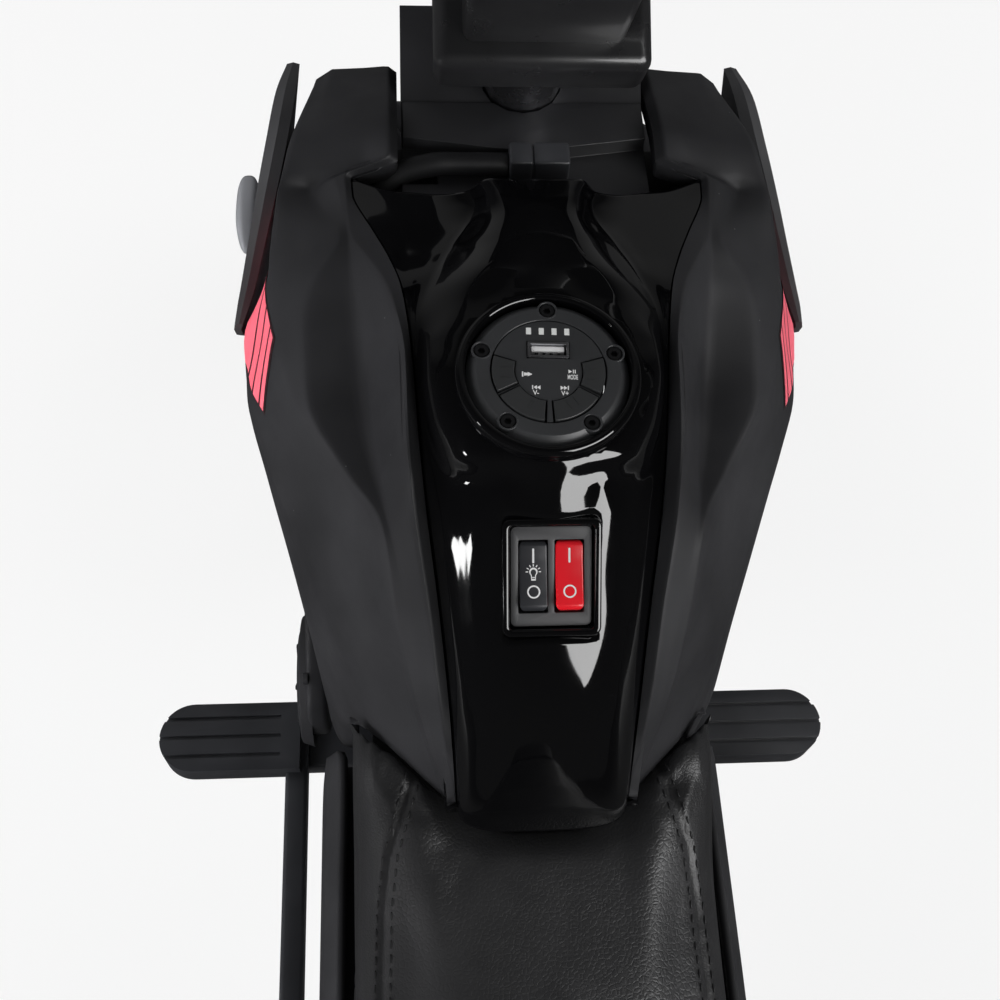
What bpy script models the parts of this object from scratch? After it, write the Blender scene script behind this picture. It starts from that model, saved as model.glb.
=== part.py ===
"""Kids ride-on motorcycle, in metres: +Y is forward, +Z is up, X = 0 is the middle plane."""

import math

import bmesh
import bpy
from mathutils import Matrix, Vector

# Clearances: between pieces that rest on each other, and round a piece that turns
FIT = 0.0003
RUN = 0.0006

# Driving dimensions: wheels, axles and steering
WHEEL_RADIUS = 0.145
WHEEL_SIDES = 24
TYRE_WIDTH = 0.060
RIM_RADIUS = 0.098
RIM_WALL = 0.010
RIM_WEB = 0.012
HUB_RADIUS = 0.017
FRONT_AXLE_Y = 0.400
REAR_AXLE_Y = -0.330
AXLE_RADIUS = 0.005
AXLE_HEAD_RADIUS = 0.009
AXLE_HEAD = 0.005
RAKE = math.radians(26)
STEM_RADIUS = 0.015
STEM_LENGTH = 0.175
LEG_RADIUS = 0.014
LEG_LENGTH = 0.296
CROWN_THICKNESS = 0.018
CROWN_DEPTH = 0.046
HEAD_BLOCK_WIDTH = 0.091
HEAD_BLOCK_DEPTH = 0.052
HEAD_BLOCK_HEIGHT = 0.074
FENDER_GAP = 0.011
FENDER_WALL = 0.003

# Handlebar and headlight
BAR_RADIUS = 0.011
GRIP_RADIUS = 0.0155
GRIP_LENGTH = 0.095
BAR_HALF_WIDTH = 0.252
BAR_RISE = 0.046
BAR_SWEEP = 0.062
YOKE_WIDTH = 0.070
YOKE_DEPTH = 0.050
YOKE_HEIGHT = 0.022
RISER_HEIGHT = 0.050
LAMP_HALF_WIDTH = 0.064
LAMP_HALF_DEPTH = 0.050
LAMP_HALF_HEIGHT = 0.044
LAMP_REACH = 0.092
LENS_RADIUS = 0.036
LENS_DEPTH = 0.010

# Chassis, battery and drive
SPINE_WIDTH = 0.044
SPINE_TOP = 0.337
SPINE_DEPTH = 0.026
TRAY_TOP = 0.203
TRAY_THICKNESS = 0.008
HANGER_THICKNESS = 0.008
BATTERY_WIDTH = 0.065
BATTERY_LENGTH = 0.151
BATTERY_HEIGHT = 0.094
BATTERY_Y = 0.055
CONTROL_BOX_WIDTH = 0.060
CONTROL_BOX_LENGTH = 0.085
CONTROL_BOX_HEIGHT = 0.026
SWINGARM_WALL = 0.010
SWINGARM_DEPTH = 0.034
GEARBOX_WIDTH = 0.0135
GEARBOX_WALL = 0.003
TOOTH_MODULE = 0.0023
GEAR_TEETH = 35
PINION_TEETH = 7
GEAR_WIDTH = 0.008
MOTOR_RADIUS = 0.018
MOTOR_LENGTH = 0.050
MOTOR_ANGLE = math.radians(85)
MOTOR_SHAFT_RADIUS = 0.0025

# Stabilisers and footrests
STABILISER_RADIUS = 0.065
STABILISER_WIDTH = 0.026
STABILISER_X = 0.186
STABILISER_Y = -0.300
STABILISER_TUBE_RADIUS = 0.009
STABILISER_BEND = 0.022
PEG_TOP = 0.210
PEG_THICKNESS = 0.016
PEG_Y = 0.060
PEG_DEPTH = 0.0355
PEG_REACH = 0.174
PEG_INNER_X = 0.106
PEG_GROOVES = 3
RAIL_WIDTH = 0.0115
RAIL_HEIGHT = 0.014
RAIL_LENGTH = 0.210
FOOTREST_ARM_THICKNESS = 0.014

# Skins
SKIN = 0.003
SEAM_LIP = 0.007
SEAM_GAP = 0.0006
DECK_TOP = 0.497
DIAL_Y = 0.083
DIAL_TOP = 0.520
DIAL_SLOPE = math.radians(3)
DIAL_TURN = math.radians(-2)
SIDE_PLATE_THICKNESS = 0.010
CLUTCH_RADIUS = 0.034
CLUTCH_HEIGHT = 0.0055
CLUTCH_Y = 0.078
CLUTCH_Z = 0.245
ENGINE_PLATE_X = 0.0940
SHROUD_THICKNESS = 0.008
POD_LENGTH = 0.039
POD_HEIGHT = 0.016
POD_DEPTH = 0.010

# Dial
RING_RADIUS = 0.0264
RING_CHAMFER = 0.0032
FACE_RADIUS = 0.0184
BUTTON_INNER_RADIUS = 0.0110
DIAL_DEPTH = 0.0072
CUP_WALL = 0.003
BUTTON_PROUD = 0.0004
BUTTON_TRAVEL = 0.0012
RING_SCREWS = 5
SCREW_CIRCLE_RADIUS = 0.0225
SCREW_HEAD_RADIUS = 0.0023
SCREW_HEAD = 0.0022
SCREW_SHANK_RADIUS = 0.0012
USB_WIDTH = 0.0134
USB_HEIGHT = 0.0058
USB_WALL = 0.0009
USB_OFFSET = 0.0076
USB_DEPTH = 0.0052

# Switch recess
SWITCH_Y = 0.0242
SWITCH_Z = 0.4903
SWITCH_SLOPE = math.radians(35)
BEZEL_WIDTH = 0.0266
BEZEL_LENGTH = 0.0330
BEZEL_FLANGE = 0.002
BEZEL_DEPTH = 0.016
SWITCH_FRAME_WALL = 0.0023
SWITCH_FRAME_PROUD = 0.0012
SWITCH_SINK = 0.0042
ROCKER_WIDTH = 0.0090
ROCKER_LENGTH = 0.0226
ROCKER_SPACING = 0.0116
ROCKER_TILT = math.radians(9)

# Seat, tail and harness
SEAT_BASE = 0.350
SEAT_HALF_WIDTH = 0.069
SEAT_REAR_Y = -0.322
SEAT_DRAW_IN = 0.0055
SEAT_CHANNEL_X = 0.0487
SEAT_CHANNEL_DEPTH = 0.0024
SEAT_CHANNEL_WIDTH = 0.0030
SEAT_GAP = 0.0020
HARNESS_RADIUS = 0.0043
CLAMP_WIDTH = 0.022
CLAMP_DEPTH = 0.0102
CLAMP_HEIGHT = 0.0112
CLAMP_Y = 0.1840
CLAMP_X = 0.0044
CLAMP_SEAM_X = 0.0021
TAIL_LAMP_WIDTH = 0.054
TAIL_LAMP_DEPTH = 0.00907

MM = 0.001
SIDES = ((1, "right"), (-1, "left"))


def clear_scene():
    for item in list(bpy.data.objects):
        bpy.data.objects.remove(item, do_unlink=True)


def new_collection(name):
    made = bpy.data.collections.new(name)
    bpy.context.scene.collection.children.link(made)
    return made


clear_scene()
PARTS = new_collection("kids_ride_on_motorcycle")
CUTTERS = new_collection("cutters")


def material(name, colour, roughness, metallic=0.0):
    made = bpy.data.materials.new(name)
    made.use_nodes = True
    shader = made.node_tree.nodes["Principled BSDF"]
    shader.inputs["Base Color"].default_value = (*colour, 1.0)
    shader.inputs["Roughness"].default_value = roughness
    shader.inputs["Metallic"].default_value = metallic
    return made


MATT_BLACK = material("matt_black_plastic", (0.018, 0.018, 0.019), 0.55)
GLOSS_BLACK = material("gloss_black_plastic", (0.004, 0.004, 0.005), 0.06)
DARK_GREY = material("dark_grey_plastic", (0.045, 0.046, 0.050), 0.45)
SILVER = material("satin_silver_plastic", (0.55, 0.56, 0.58), 0.35, 0.7)
STEEL = material("plated_steel", (0.60, 0.60, 0.60), 0.30, 1.0)
BLACK_STEEL = material("painted_steel", (0.020, 0.020, 0.022), 0.40, 0.3)
RUBBER = material("tyre_rubber", (0.015, 0.015, 0.015), 0.80)
LEATHER = material("black_leatherette", (0.020, 0.020, 0.021), 0.50)
RED = material("red_plastic", (0.72, 0.02, 0.03), 0.35)
CLEAR = material("clear_lens", (0.80, 0.85, 0.90), 0.08)
NYLON = material("white_nylon", (0.80, 0.79, 0.74), 0.45)


def finish(name, mesh, finish_material, matrix=None, cutter=False):
    made = bpy.data.objects.new(name, mesh)
    if matrix is not None:
        made.matrix_world = matrix
    if cutter:
        CUTTERS.objects.link(made)
        made.hide_render = True
        made.display_type = "WIRE"
    else:
        PARTS.objects.link(made)
        mesh.materials.append(finish_material)
    return made


def mesh_from(bm, name, smooth=True):
    mesh = bpy.data.meshes.new(name)
    bm.to_mesh(mesh)
    bm.free()
    if smooth:
        mesh.shade_smooth()
        mesh.set_sharp_from_angle(angle=math.radians(35))
    return mesh


def box_mesh(name, low, high, bevel=0.0):
    bm = bmesh.new()
    bmesh.ops.create_cube(bm, size=1.0)
    size = Vector(high) - Vector(low)
    bmesh.ops.scale(bm, vec=size, verts=bm.verts)
    bmesh.ops.translate(bm, vec=(Vector(low) + Vector(high)) / 2, verts=bm.verts)
    if bevel:
        bmesh.ops.bevel(bm, geom=bm.edges[:], offset=bevel, segments=1, profile=0.5,
                        affect="EDGES", material=-1)
    return mesh_from(bm, name)


def rod_mesh(name, start, end, radius, sides=20, end_radius=None):
    """A straight round bar between two points, tapered when end_radius is given."""
    start, end = Vector(start), Vector(end)
    bm = bmesh.new()
    bmesh.ops.create_cone(bm, cap_ends=True, segments=sides, radius1=radius,
                          radius2=radius if end_radius is None else end_radius,
                          depth=(end - start).length)
    turn = (end - start).to_track_quat("Z", "Y").to_matrix().to_4x4()
    bmesh.ops.transform(bm, matrix=Matrix.Translation((start + end) / 2) @ turn, verts=bm.verts)
    return mesh_from(bm, name)


def applied(guide):
    """The mesh that a guide object's curve or modifiers make, welded, with the guide removed."""
    CUTTERS.objects.link(guide)
    bpy.context.view_layer.update()
    seen = guide.evaluated_get(bpy.context.evaluated_depsgraph_get())
    bm = bmesh.new()
    bm.from_mesh(bpy.data.meshes.new_from_object(seen))
    bpy.data.objects.remove(guide, do_unlink=True)
    bmesh.ops.remove_doubles(bm, verts=bm.verts, dist=1e-6)
    bmesh.ops.recalc_face_normals(bm, faces=bm.faces)
    return bm


def poly_curve(name, points, cyclic):
    curve = bpy.data.curves.new(name, "CURVE")
    spline = curve.splines.new("POLY")
    spline.points.add(len(points) - 1)
    for point, place in zip(spline.points, points):
        point.co = (*place, 1.0)
    spline.use_cyclic_u = cyclic
    return curve


def plate_mesh(name, outline, low, high, axis="X", bevel=0.0):
    """A filled flat curve extruded along one axis. The outline is (y, z) along X, (x, y) along Z."""
    curve = poly_curve(name, [(a, b, 0) for a, b in outline], True)
    curve.dimensions = "2D"
    curve.fill_mode = "BOTH"
    curve.extrude = (high - low) / 2
    bm = applied(bpy.data.objects.new(name, curve))
    if bevel:
        rims = [edge for edge in bm.edges
                if abs(edge.verts[0].co.z - edge.verts[1].co.z) < 1e-6 and edge.calc_face_angle(0) > 1]
        bmesh.ops.bevel(bm, geom=rims, offset=bevel, segments=1, profile=0.5,
                        affect="EDGES", material=-1)
    place = Matrix.Translation((0, 0, (low + high) / 2))
    if axis == "X":
        place = Matrix(((0, 0, 1, 0), (1, 0, 0, 0), (0, 1, 0, 0), (0, 0, 0, 1))) @ place
    bmesh.ops.transform(bm, matrix=place, verts=bm.verts)
    return mesh_from(bm, name)


def loft_mesh(name, rows, ring=False, caps=False):
    """Quads between rows of points. A ring closes each row, and caps close the first and last row."""
    bm = bmesh.new()
    made = [[bm.verts.new(point) for point in row] for row in rows]
    count = len(rows[0])
    for first, second in zip(made, made[1:]):
        for i in range(count if ring else count - 1):
            j = (i + 1) % count
            bm.faces.new((first[i], first[j], second[j], second[i]))
    if caps:
        ends = [bm.faces.new(made[0][::-1]), bm.faces.new(made[-1])]
        bmesh.ops.triangulate(bm, faces=ends, ngon_method="EAR_CLIP")
        bmesh.ops.recalc_face_normals(bm, faces=bm.faces)
    return mesh_from(bm, name)


def turned_mesh(name, profile, sides, axis="Z"):
    """A profile of (radius, height) turned by a Screw modifier. Ends on the axis make a solid piece."""
    mesh = bpy.data.meshes.new(name + "_profile")
    count = len(profile)
    edges = [(i, (i + 1) % count) for i in range(count if profile[0][0] > 0 else count - 1)]
    mesh.from_pydata([(radius, 0, height) for radius, height in profile], edges, [])
    guide = bpy.data.objects.new(name + "_profile", mesh)
    screw = guide.modifiers.new("Turn", "SCREW")
    screw.steps = screw.render_steps = sides
    screw.use_merge_vertices = True
    screw.merge_threshold = 1e-6
    bm = applied(guide)
    if axis == "X":
        bmesh.ops.rotate(bm, matrix=Matrix.Rotation(math.pi / 2, 3, "Y"), verts=bm.verts)
    return mesh_from(bm, name)


def tube_mesh(name, path, radius, bevel_resolution=2):
    """A bent tube along a path of points, as a welded mesh."""
    curve = poly_curve(name, path, False)
    curve.dimensions = "3D"
    curve.bevel_depth = radius
    curve.bevel_resolution = bevel_resolution
    curve.use_fill_caps = True
    return mesh_from(applied(bpy.data.objects.new(name, curve)), name)


def combine(target, mesh, operation="UNION", matrix=None):
    """Adds a Boolean with a new wire cutter, in the target's world placement unless matrix is given."""
    cutter = finish(f"{target.name}_{operation.lower()}_{len(target.modifiers)}", mesh, None,
                    target.matrix_world.copy() if matrix is None else matrix, cutter=True)
    step = target.modifiers.new(operation.title(), "BOOLEAN")
    step.operation = operation
    step.solver = "EXACT"
    step.object = cutter
    return cutter


def cut(target, mesh, matrix=None):
    return combine(target, mesh, "DIFFERENCE", matrix)


def thicken(target, thickness):
    step = target.modifiers.new("Wall", "SOLIDIFY")
    step.thickness = thickness
    step.offset = -1.0


def mirror(target):
    """Completes a half that is open at X = 0."""
    step = target.modifiers.new("Mirror", "MIRROR")
    step.merge_threshold = 1e-5


def smooth_path(points, steps):
    """Points on a Catmull-Rom curve, with this many steps from each given point to the next."""
    given = [Vector(point) for point in points]
    padded = [2 * given[0] - given[1], *given, 2 * given[-1] - given[-2]]
    path = []
    for a, b, c, d in zip(padded, padded[1:], padded[2:], padded[3:]):
        for step in range(steps):
            t = step / steps
            path.append(0.5 * (2 * b + (c - a) * t + (2 * a - 5 * b + 4 * c - d) * t * t
                               + (3 * b - a - 3 * c + d) * t ** 3))
    return [*path, given[-1]]


def rounded_path(corners, radius, steps=4):
    """A path of straight runs between corners, each corner rounded by an arc."""
    corners = [Vector(corner) for corner in corners]
    path = [corners[0]]
    for before, corner, after in zip(corners, corners[1:], corners[2:]):
        back, ahead = (before - corner).normalized(), (after - corner).normalized()
        half = back.angle(ahead) / 2
        middle = corner + (back + ahead).normalized() * radius / math.sin(half)
        start = corner + back * radius / math.tan(half) - middle
        end = corner + ahead * radius / math.tan(half) - middle
        turn = start.angle(end)
        for i in range(steps + 1):
            share = i / steps
            path.append(middle + (start * math.sin((1 - share) * turn) + end * math.sin(share * turn))
                        / math.sin(turn))
    return [*path, corners[-1]]


def between(values, place):
    """The value at a place between whole stations, on a curve that never overshoots."""
    index = min(int(place), len(values) - 2)
    t = place - index
    steps = [b - a for a, b in zip(values, values[1:])]

    def slope(i):
        if i in (0, len(values) - 1):
            return steps[0] if i == 0 else steps[-1]
        before, after = steps[i - 1], steps[i]
        return 0.0 if before * after <= 0 else 2 * before * after / (before + after)

    low, high = values[index], values[index + 1]
    return (low * (1 + 2 * t) * (1 - t) ** 2 + slope(index) * t * (1 - t) ** 2
            + high * t * t * (3 - 2 * t) + slope(index + 1) * t * t * (t - 1))


def rail_point(rail, place):
    return Vector([between([point[i] for point in rail], place) * MM for i in range(3)])


def table_value(table, at):
    """Linear value of a table of (position, value) pairs whose positions rise."""
    if at <= table[0][0]:
        return table[0][1]
    for (x0, y0), (x1, y1) in zip(table, table[1:]):
        if at <= x1:
            return y0 + (y1 - y0) * (at - x0) / (x1 - x0)
    return table[-1][1]


def ease(value):
    value = min(max(value, 0.0), 1.0)
    return value * value * (3 - 2 * value)


def mirrored(mesh, side):
    """The mesh itself on the right, and its mirror image on the left."""
    if side > 0:
        return mesh
    bm = bmesh.new()
    bm.from_mesh(mesh)
    bmesh.ops.scale(bm, vec=(-1, 1, 1), verts=bm.verts)
    bmesh.ops.reverse_faces(bm, faces=bm.faces)
    return mesh_from(bm, mesh.name + "_mirrored")


# Places that follow from the driving dimensions
FRONT_AXLE = Vector((0, FRONT_AXLE_Y, WHEEL_RADIUS))
REAR_AXLE = Vector((0, REAR_AXLE_Y, WHEEL_RADIUS))
STEERING = Matrix.Translation(FRONT_AXLE) @ Matrix.Rotation(RAKE, 4, "X")
LEG_X = TYRE_WIDTH / 2 + LEG_RADIUS + 0.0135
HUB_HALF = LEG_X - LEG_RADIUS - RUN
CROWN_BASE = LEG_LENGTH - CROWN_THICKNESS / 2
CROWN_TOP = CROWN_BASE + CROWN_THICKNESS
HEAD_BASE = CROWN_TOP + 0.023
HEAD_TOP = HEAD_BASE + HEAD_BLOCK_HEIGHT
YOKE_BASE = CROWN_TOP + STEM_LENGTH - YOKE_HEIGHT
DIAL = Matrix.Translation((0, DIAL_Y, DIAL_TOP)) @ Matrix.Rotation(DIAL_SLOPE, 4, "X") \
    @ Matrix.Rotation(DIAL_TURN, 4, "Z")
SWITCH = Matrix.Translation((0, SWITCH_Y, SWITCH_Z)) @ Matrix.Rotation(SWITCH_SLOPE, 4, "X")


def empty(name, matrix):
    made = bpy.data.objects.new(name, None)
    PARTS.objects.link(made)
    made.matrix_world = matrix
    return made


def ride(child, parent):
    child.parent = parent
    child.matrix_parent_inverse = parent.matrix_world.inverted()


bpy.context.view_layer.update()
STEERING_AXIS = empty("steering_axis", STEERING)
FRONT_WHEEL_AXIS = empty("front_wheel_axis", Matrix.Translation(FRONT_AXLE))
REAR_WHEEL_AXIS = empty("rear_wheel_axis", Matrix.Translation(REAR_AXLE))
DIAL_AXIS = empty("dial_axis", DIAL)


# Wheels: a dished rim with five round openings, and a grooved tyre
def rim_profile(right_hub_end):
    barrel = RIM_RADIUS - RIM_WALL
    half = TYRE_WIDTH / 2 - 0.002
    bore = AXLE_RADIUS + FIT
    return [(bore, right_hub_end), (HUB_RADIUS, right_hub_end), (HUB_RADIUS, RIM_WEB / 2),
            (barrel, RIM_WEB / 2), (barrel, half), (RIM_RADIUS, half), (RIM_RADIUS, -half), (barrel, -half),
            (barrel, -RIM_WEB / 2), (HUB_RADIUS, -RIM_WEB / 2), (HUB_RADIUS, -HUB_HALF), (bore, -HUB_HALF)]


def tyre_profile():
    half = TYRE_WIDTH / 2
    inner = RIM_RADIUS + FIT
    outer = WHEEL_RADIUS
    groove = 0.0025
    right = [(outer, half * 0.16), (outer - groove, half * 0.24), (outer - 0.0005, half * 0.34),
             (outer - 0.005, half * 0.80), (outer - 0.018, half), (inner, half * 0.86)]
    return [(radius, -height) for radius, height in reversed(right)] + right


def wheel(prefix, axle, right_hub_end):
    place = Matrix.Translation(axle)
    rim = finish(f"{prefix}_wheel_rim", turned_mesh("rim", rim_profile(right_hub_end), WHEEL_SIDES, "X"),
                 SILVER, place)
    middle = (HUB_RADIUS + RIM_RADIUS - RIM_WALL) / 2
    hole = (RIM_RADIUS - RIM_WALL - HUB_RADIUS) * 0.36
    for i in range(5):
        turn = math.tau * i / 5
        y, z = middle * math.sin(turn), middle * math.cos(turn)
        cut(rim, rod_mesh("rim_hole", (-RIM_WEB, y, z), (RIM_WEB, y, z), hole, 10))
    tyre = finish(f"{prefix}_tyre", turned_mesh("tyre", tyre_profile(), WHEEL_SIDES, "X"), RUBBER, place)
    return rim, tyre


def axle(name, centre, half_length):
    """A plated rod with a domed head on each end."""
    head = half_length + AXLE_HEAD
    profile = [(0, head), (AXLE_HEAD_RADIUS * 0.7, head), (AXLE_HEAD_RADIUS, half_length + AXLE_HEAD * 0.4),
               (AXLE_HEAD_RADIUS, half_length), (AXLE_RADIUS, half_length)]
    profile += [(radius, -height) for radius, height in reversed(profile)]
    return finish(name, turned_mesh(name, profile, 14, "X"), STEEL, Matrix.Translation(centre))


GEARBOX_INNER_X = TYRE_WIDTH / 2 + 0.0025
GEARBOX_OUTER_X = GEARBOX_INNER_X + GEARBOX_WIDTH
SWINGARM_X = GEARBOX_OUTER_X + FIT
REAR_HUB_END = GEARBOX_INNER_X


def front_end():
    front_rim, front_tyre = wheel("front", FRONT_AXLE, HUB_HALF)
    ride(front_rim, FRONT_WHEEL_AXIS)
    ride(front_tyre, FRONT_WHEEL_AXIS)
    ride(axle("front_axle", FRONT_AXLE, LEG_X + LEG_RADIUS + FIT), STEERING_AXIS)

    fork = finish("front_fork", box_mesh("crown", (-LEG_X, -CROWN_DEPTH / 2, CROWN_BASE),
                                         (LEG_X, CROWN_DEPTH / 2, CROWN_TOP), 0.003),
                  DARK_GREY, STEERING)
    for side, _ in SIDES:
        combine(fork, turned_mesh("leg", [
            (0, CROWN_TOP + 0.004), (LEG_RADIUS, CROWN_TOP + 0.002),
            (LEG_RADIUS + 0.003, CROWN_BASE - 0.02), (LEG_RADIUS + 0.003, LEG_LENGTH * 0.46),
            (LEG_RADIUS, LEG_LENGTH * 0.44), (LEG_RADIUS, -LEG_RADIUS),
            (0, -LEG_RADIUS - 0.003)], 12), matrix=STEERING @ Matrix.Translation((side * LEG_X, 0, 0)))
    cut(fork, rod_mesh("axle_bore", (-LEG_X * 2, 0, 0), (LEG_X * 2, 0, 0), AXLE_RADIUS + FIT, 14))
    cut(fork, box_mesh("wheel_room", (-HUB_HALF - RUN, -LEG_RADIUS * 2, -LEG_RADIUS * 2),
                       (HUB_HALF + RUN, LEG_RADIUS * 2, LEG_LENGTH * 0.43)))
    cut(fork, rod_mesh("stem_bore", (0, 0, CROWN_BASE - 0.01), (0, 0, CROWN_TOP + 0.02),
                       STEM_RADIUS + FIT, 16))
    ride(fork, STEERING_AXIS)

    stem = finish("steering_stem", rod_mesh("stem", (0, 0, CROWN_BASE + 0.002),
                                            (0, 0, CROWN_TOP + STEM_LENGTH), STEM_RADIUS, 16),
                  STEEL, STEERING)
    ride(stem, STEERING_AXIS)
    fender = finish("front_fender", loft_mesh("fender", FENDER_ROWS), MATT_BLACK, STEERING)
    thicken(fender, FENDER_WALL)
    ride(fender, STEERING_AXIS)
    ride(handlebar(), STEERING_AXIS)
    for piece in (*grips(), *headlight()):
        ride(piece, STEERING_AXIS)


def fender_rows():
    """A crowned arc over the tyre, from ahead of the wheel round to behind the legs."""
    radius = WHEEL_RADIUS + FENDER_GAP
    half = LEG_X - LEG_RADIUS - 0.003 - FIT
    rows = []
    steps = 13
    for i in range(steps, -1, -1):
        turn = math.radians(-8 + 148 * i / steps)
        taper = 1.0 - 0.22 * ease(abs(i / steps - 0.62) / 0.62 - 0.25)
        row = []
        for side, drop in ((-1, 0.016), (-0.93, 0.004), (-0.55, -0.001), (0, -0.003),
                           (0.55, -0.001), (0.93, 0.004), (1, 0.016)):
            reach = radius + FENDER_WALL - drop
            row.append((side * half * taper, reach * math.cos(turn), reach * math.sin(turn)))
        rows.append(row)
    return rows


FENDER_ROWS = fender_rows()


def grip_line(side):
    """The straight outer run of the handlebar: its inner and its outer end."""
    inner = Vector((side * (BAR_HALF_WIDTH - GRIP_LENGTH - 0.012), -0.030, BAR_RISE))
    outer = Vector((side * BAR_HALF_WIDTH, -BAR_SWEEP, BAR_RISE + 0.002))
    return inner, outer


BAR = STEERING @ Matrix.Translation((0, 0, YOKE_BASE + YOKE_HEIGHT + RISER_HEIGHT / 2)) \
    @ Matrix.Rotation(-RAKE, 4, "X")


def handlebar():
    inner, outer = grip_line(1)
    route = [(0, 0, 0), (0.040, 0, 0.001), (0.075, -0.006, BAR_RISE * 0.45),
             (0.110, -0.018, BAR_RISE * 0.93)]
    right = [Vector(point) for point in route] + [inner, (inner + outer) / 2, outer]
    left = [Vector((-point.x, point.y, point.z)) for point in reversed(right[1:])]
    bar = finish("handlebar", tube_mesh("bar", smooth_path(left + right, 2), BAR_RADIUS), BLACK_STEEL, BAR)
    clamp_low = YOKE_BASE
    clamp_high = YOKE_BASE + YOKE_HEIGHT
    combine(bar, box_mesh("yoke", (-YOKE_WIDTH / 2, -YOKE_DEPTH / 2, clamp_low),
                          (YOKE_WIDTH / 2, YOKE_DEPTH / 2, clamp_high), 0.004), matrix=STEERING)
    combine(bar, box_mesh("riser", (-0.026, -0.017, clamp_high - 0.004),
                          (0.026, 0.017, clamp_high + RISER_HEIGHT), 0.003), matrix=STEERING)
    cut(bar, rod_mesh("stem_bore", (0, 0, clamp_low - 0.01), (0, 0, CROWN_TOP + STEM_LENGTH + FIT),
                      STEM_RADIUS + FIT, 16), matrix=STEERING)
    return bar


def grips():
    """Hollow rubber grips with a flange at the inner end."""
    made = []
    for side, word in SIDES:
        inner, outer = grip_line(side)
        along = (outer - inner).normalized()
        start = outer - along * GRIP_LENGTH
        bore = BAR_RADIUS + RUN
        wall = [(bore, 0), (GRIP_RADIUS + 0.004, 0), (GRIP_RADIUS + 0.004, 0.004), (GRIP_RADIUS, 0.006),
                (GRIP_RADIUS - 0.001, GRIP_LENGTH * 0.5), (GRIP_RADIUS, GRIP_LENGTH - 0.004),
                (GRIP_RADIUS - 0.002, GRIP_LENGTH + 0.004), (0, GRIP_LENGTH + 0.004),
                (0, GRIP_LENGTH + RUN), (bore, GRIP_LENGTH + RUN)]
        turn = along.to_track_quat("Z", "Y").to_matrix().to_4x4()
        name = "throttle_grip" if side > 0 else "left_grip"
        mesh = turned_mesh(name, wall, 14)
        made.append(finish(name, mesh, RUBBER, BAR @ Matrix.Translation(start) @ turn))
    return made


def headlight():
    """A rounded lamp housing on an arm from the yoke, with a lens set in its face."""
    level = STEERING @ Matrix.Translation((0, LAMP_REACH, YOKE_BASE - 0.022)) @ Matrix.Rotation(-RAKE, 4, "X")
    bm = bmesh.new()
    bmesh.ops.create_uvsphere(bm, u_segments=20, v_segments=10, radius=1.0)
    bmesh.ops.rotate(bm, matrix=Matrix.Rotation(math.pi / 2, 3, "X"), verts=bm.verts)
    bmesh.ops.scale(bm, vec=(LAMP_HALF_WIDTH, LAMP_HALF_DEPTH, LAMP_HALF_HEIGHT), verts=bm.verts)
    shell = finish("headlight_shell", mesh_from(bm, "lamp"), MATT_BLACK, level)
    face = LAMP_HALF_DEPTH * 0.62
    cut(shell, box_mesh("lamp_face", (-0.1, face, -0.1), (0.1, 0.1, 0.1)))
    cut(shell, rod_mesh("lens_pocket", (0, face - LENS_DEPTH, 0), (0, face + 0.01, 0),
                        LENS_RADIUS + FIT, 20))
    combine(shell, box_mesh("lamp_arm", (-0.014, YOKE_DEPTH / 2 + FIT, YOKE_BASE + 0.002),
                            (0.014, LAMP_REACH - LAMP_HALF_DEPTH * 0.35, YOKE_BASE + 0.015)),
            matrix=STEERING)
    lens = finish("headlight_lens", turned_mesh("lens", [
        (0, 0.004), (LENS_RADIUS * 0.5, 0.003), (LENS_RADIUS * 0.85, 0.001), (LENS_RADIUS, -0.002),
        (LENS_RADIUS, FIT - LENS_DEPTH), (0, FIT - LENS_DEPTH)], 20), CLEAR,
        level @ Matrix.Translation((0, face, 0)) @ Matrix.Rotation(-math.pi / 2, 4, "X"))
    return shell, lens


# Chassis: head block, spine, battery tray with its hangers, and the visible deck behind the steering head
HANGER_X = ENGINE_PLATE_X - SIDE_PLATE_THICKNESS - FIT
SPINE_BASE = SPINE_TOP - SPINE_DEPTH
TRAY_FRONT = BATTERY_Y + BATTERY_LENGTH / 2 + FIT
TRAY_REAR = BATTERY_Y - BATTERY_LENGTH / 2 - FIT
TAIL_MOUNT_Y = REAR_AXLE_Y - 0.090
TAIL_MOUNT_Z = SPINE_TOP + 0.055
SWINGARM_MOUNT_Y = REAR_AXLE_Y + WHEEL_RADIUS + 0.080


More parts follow.
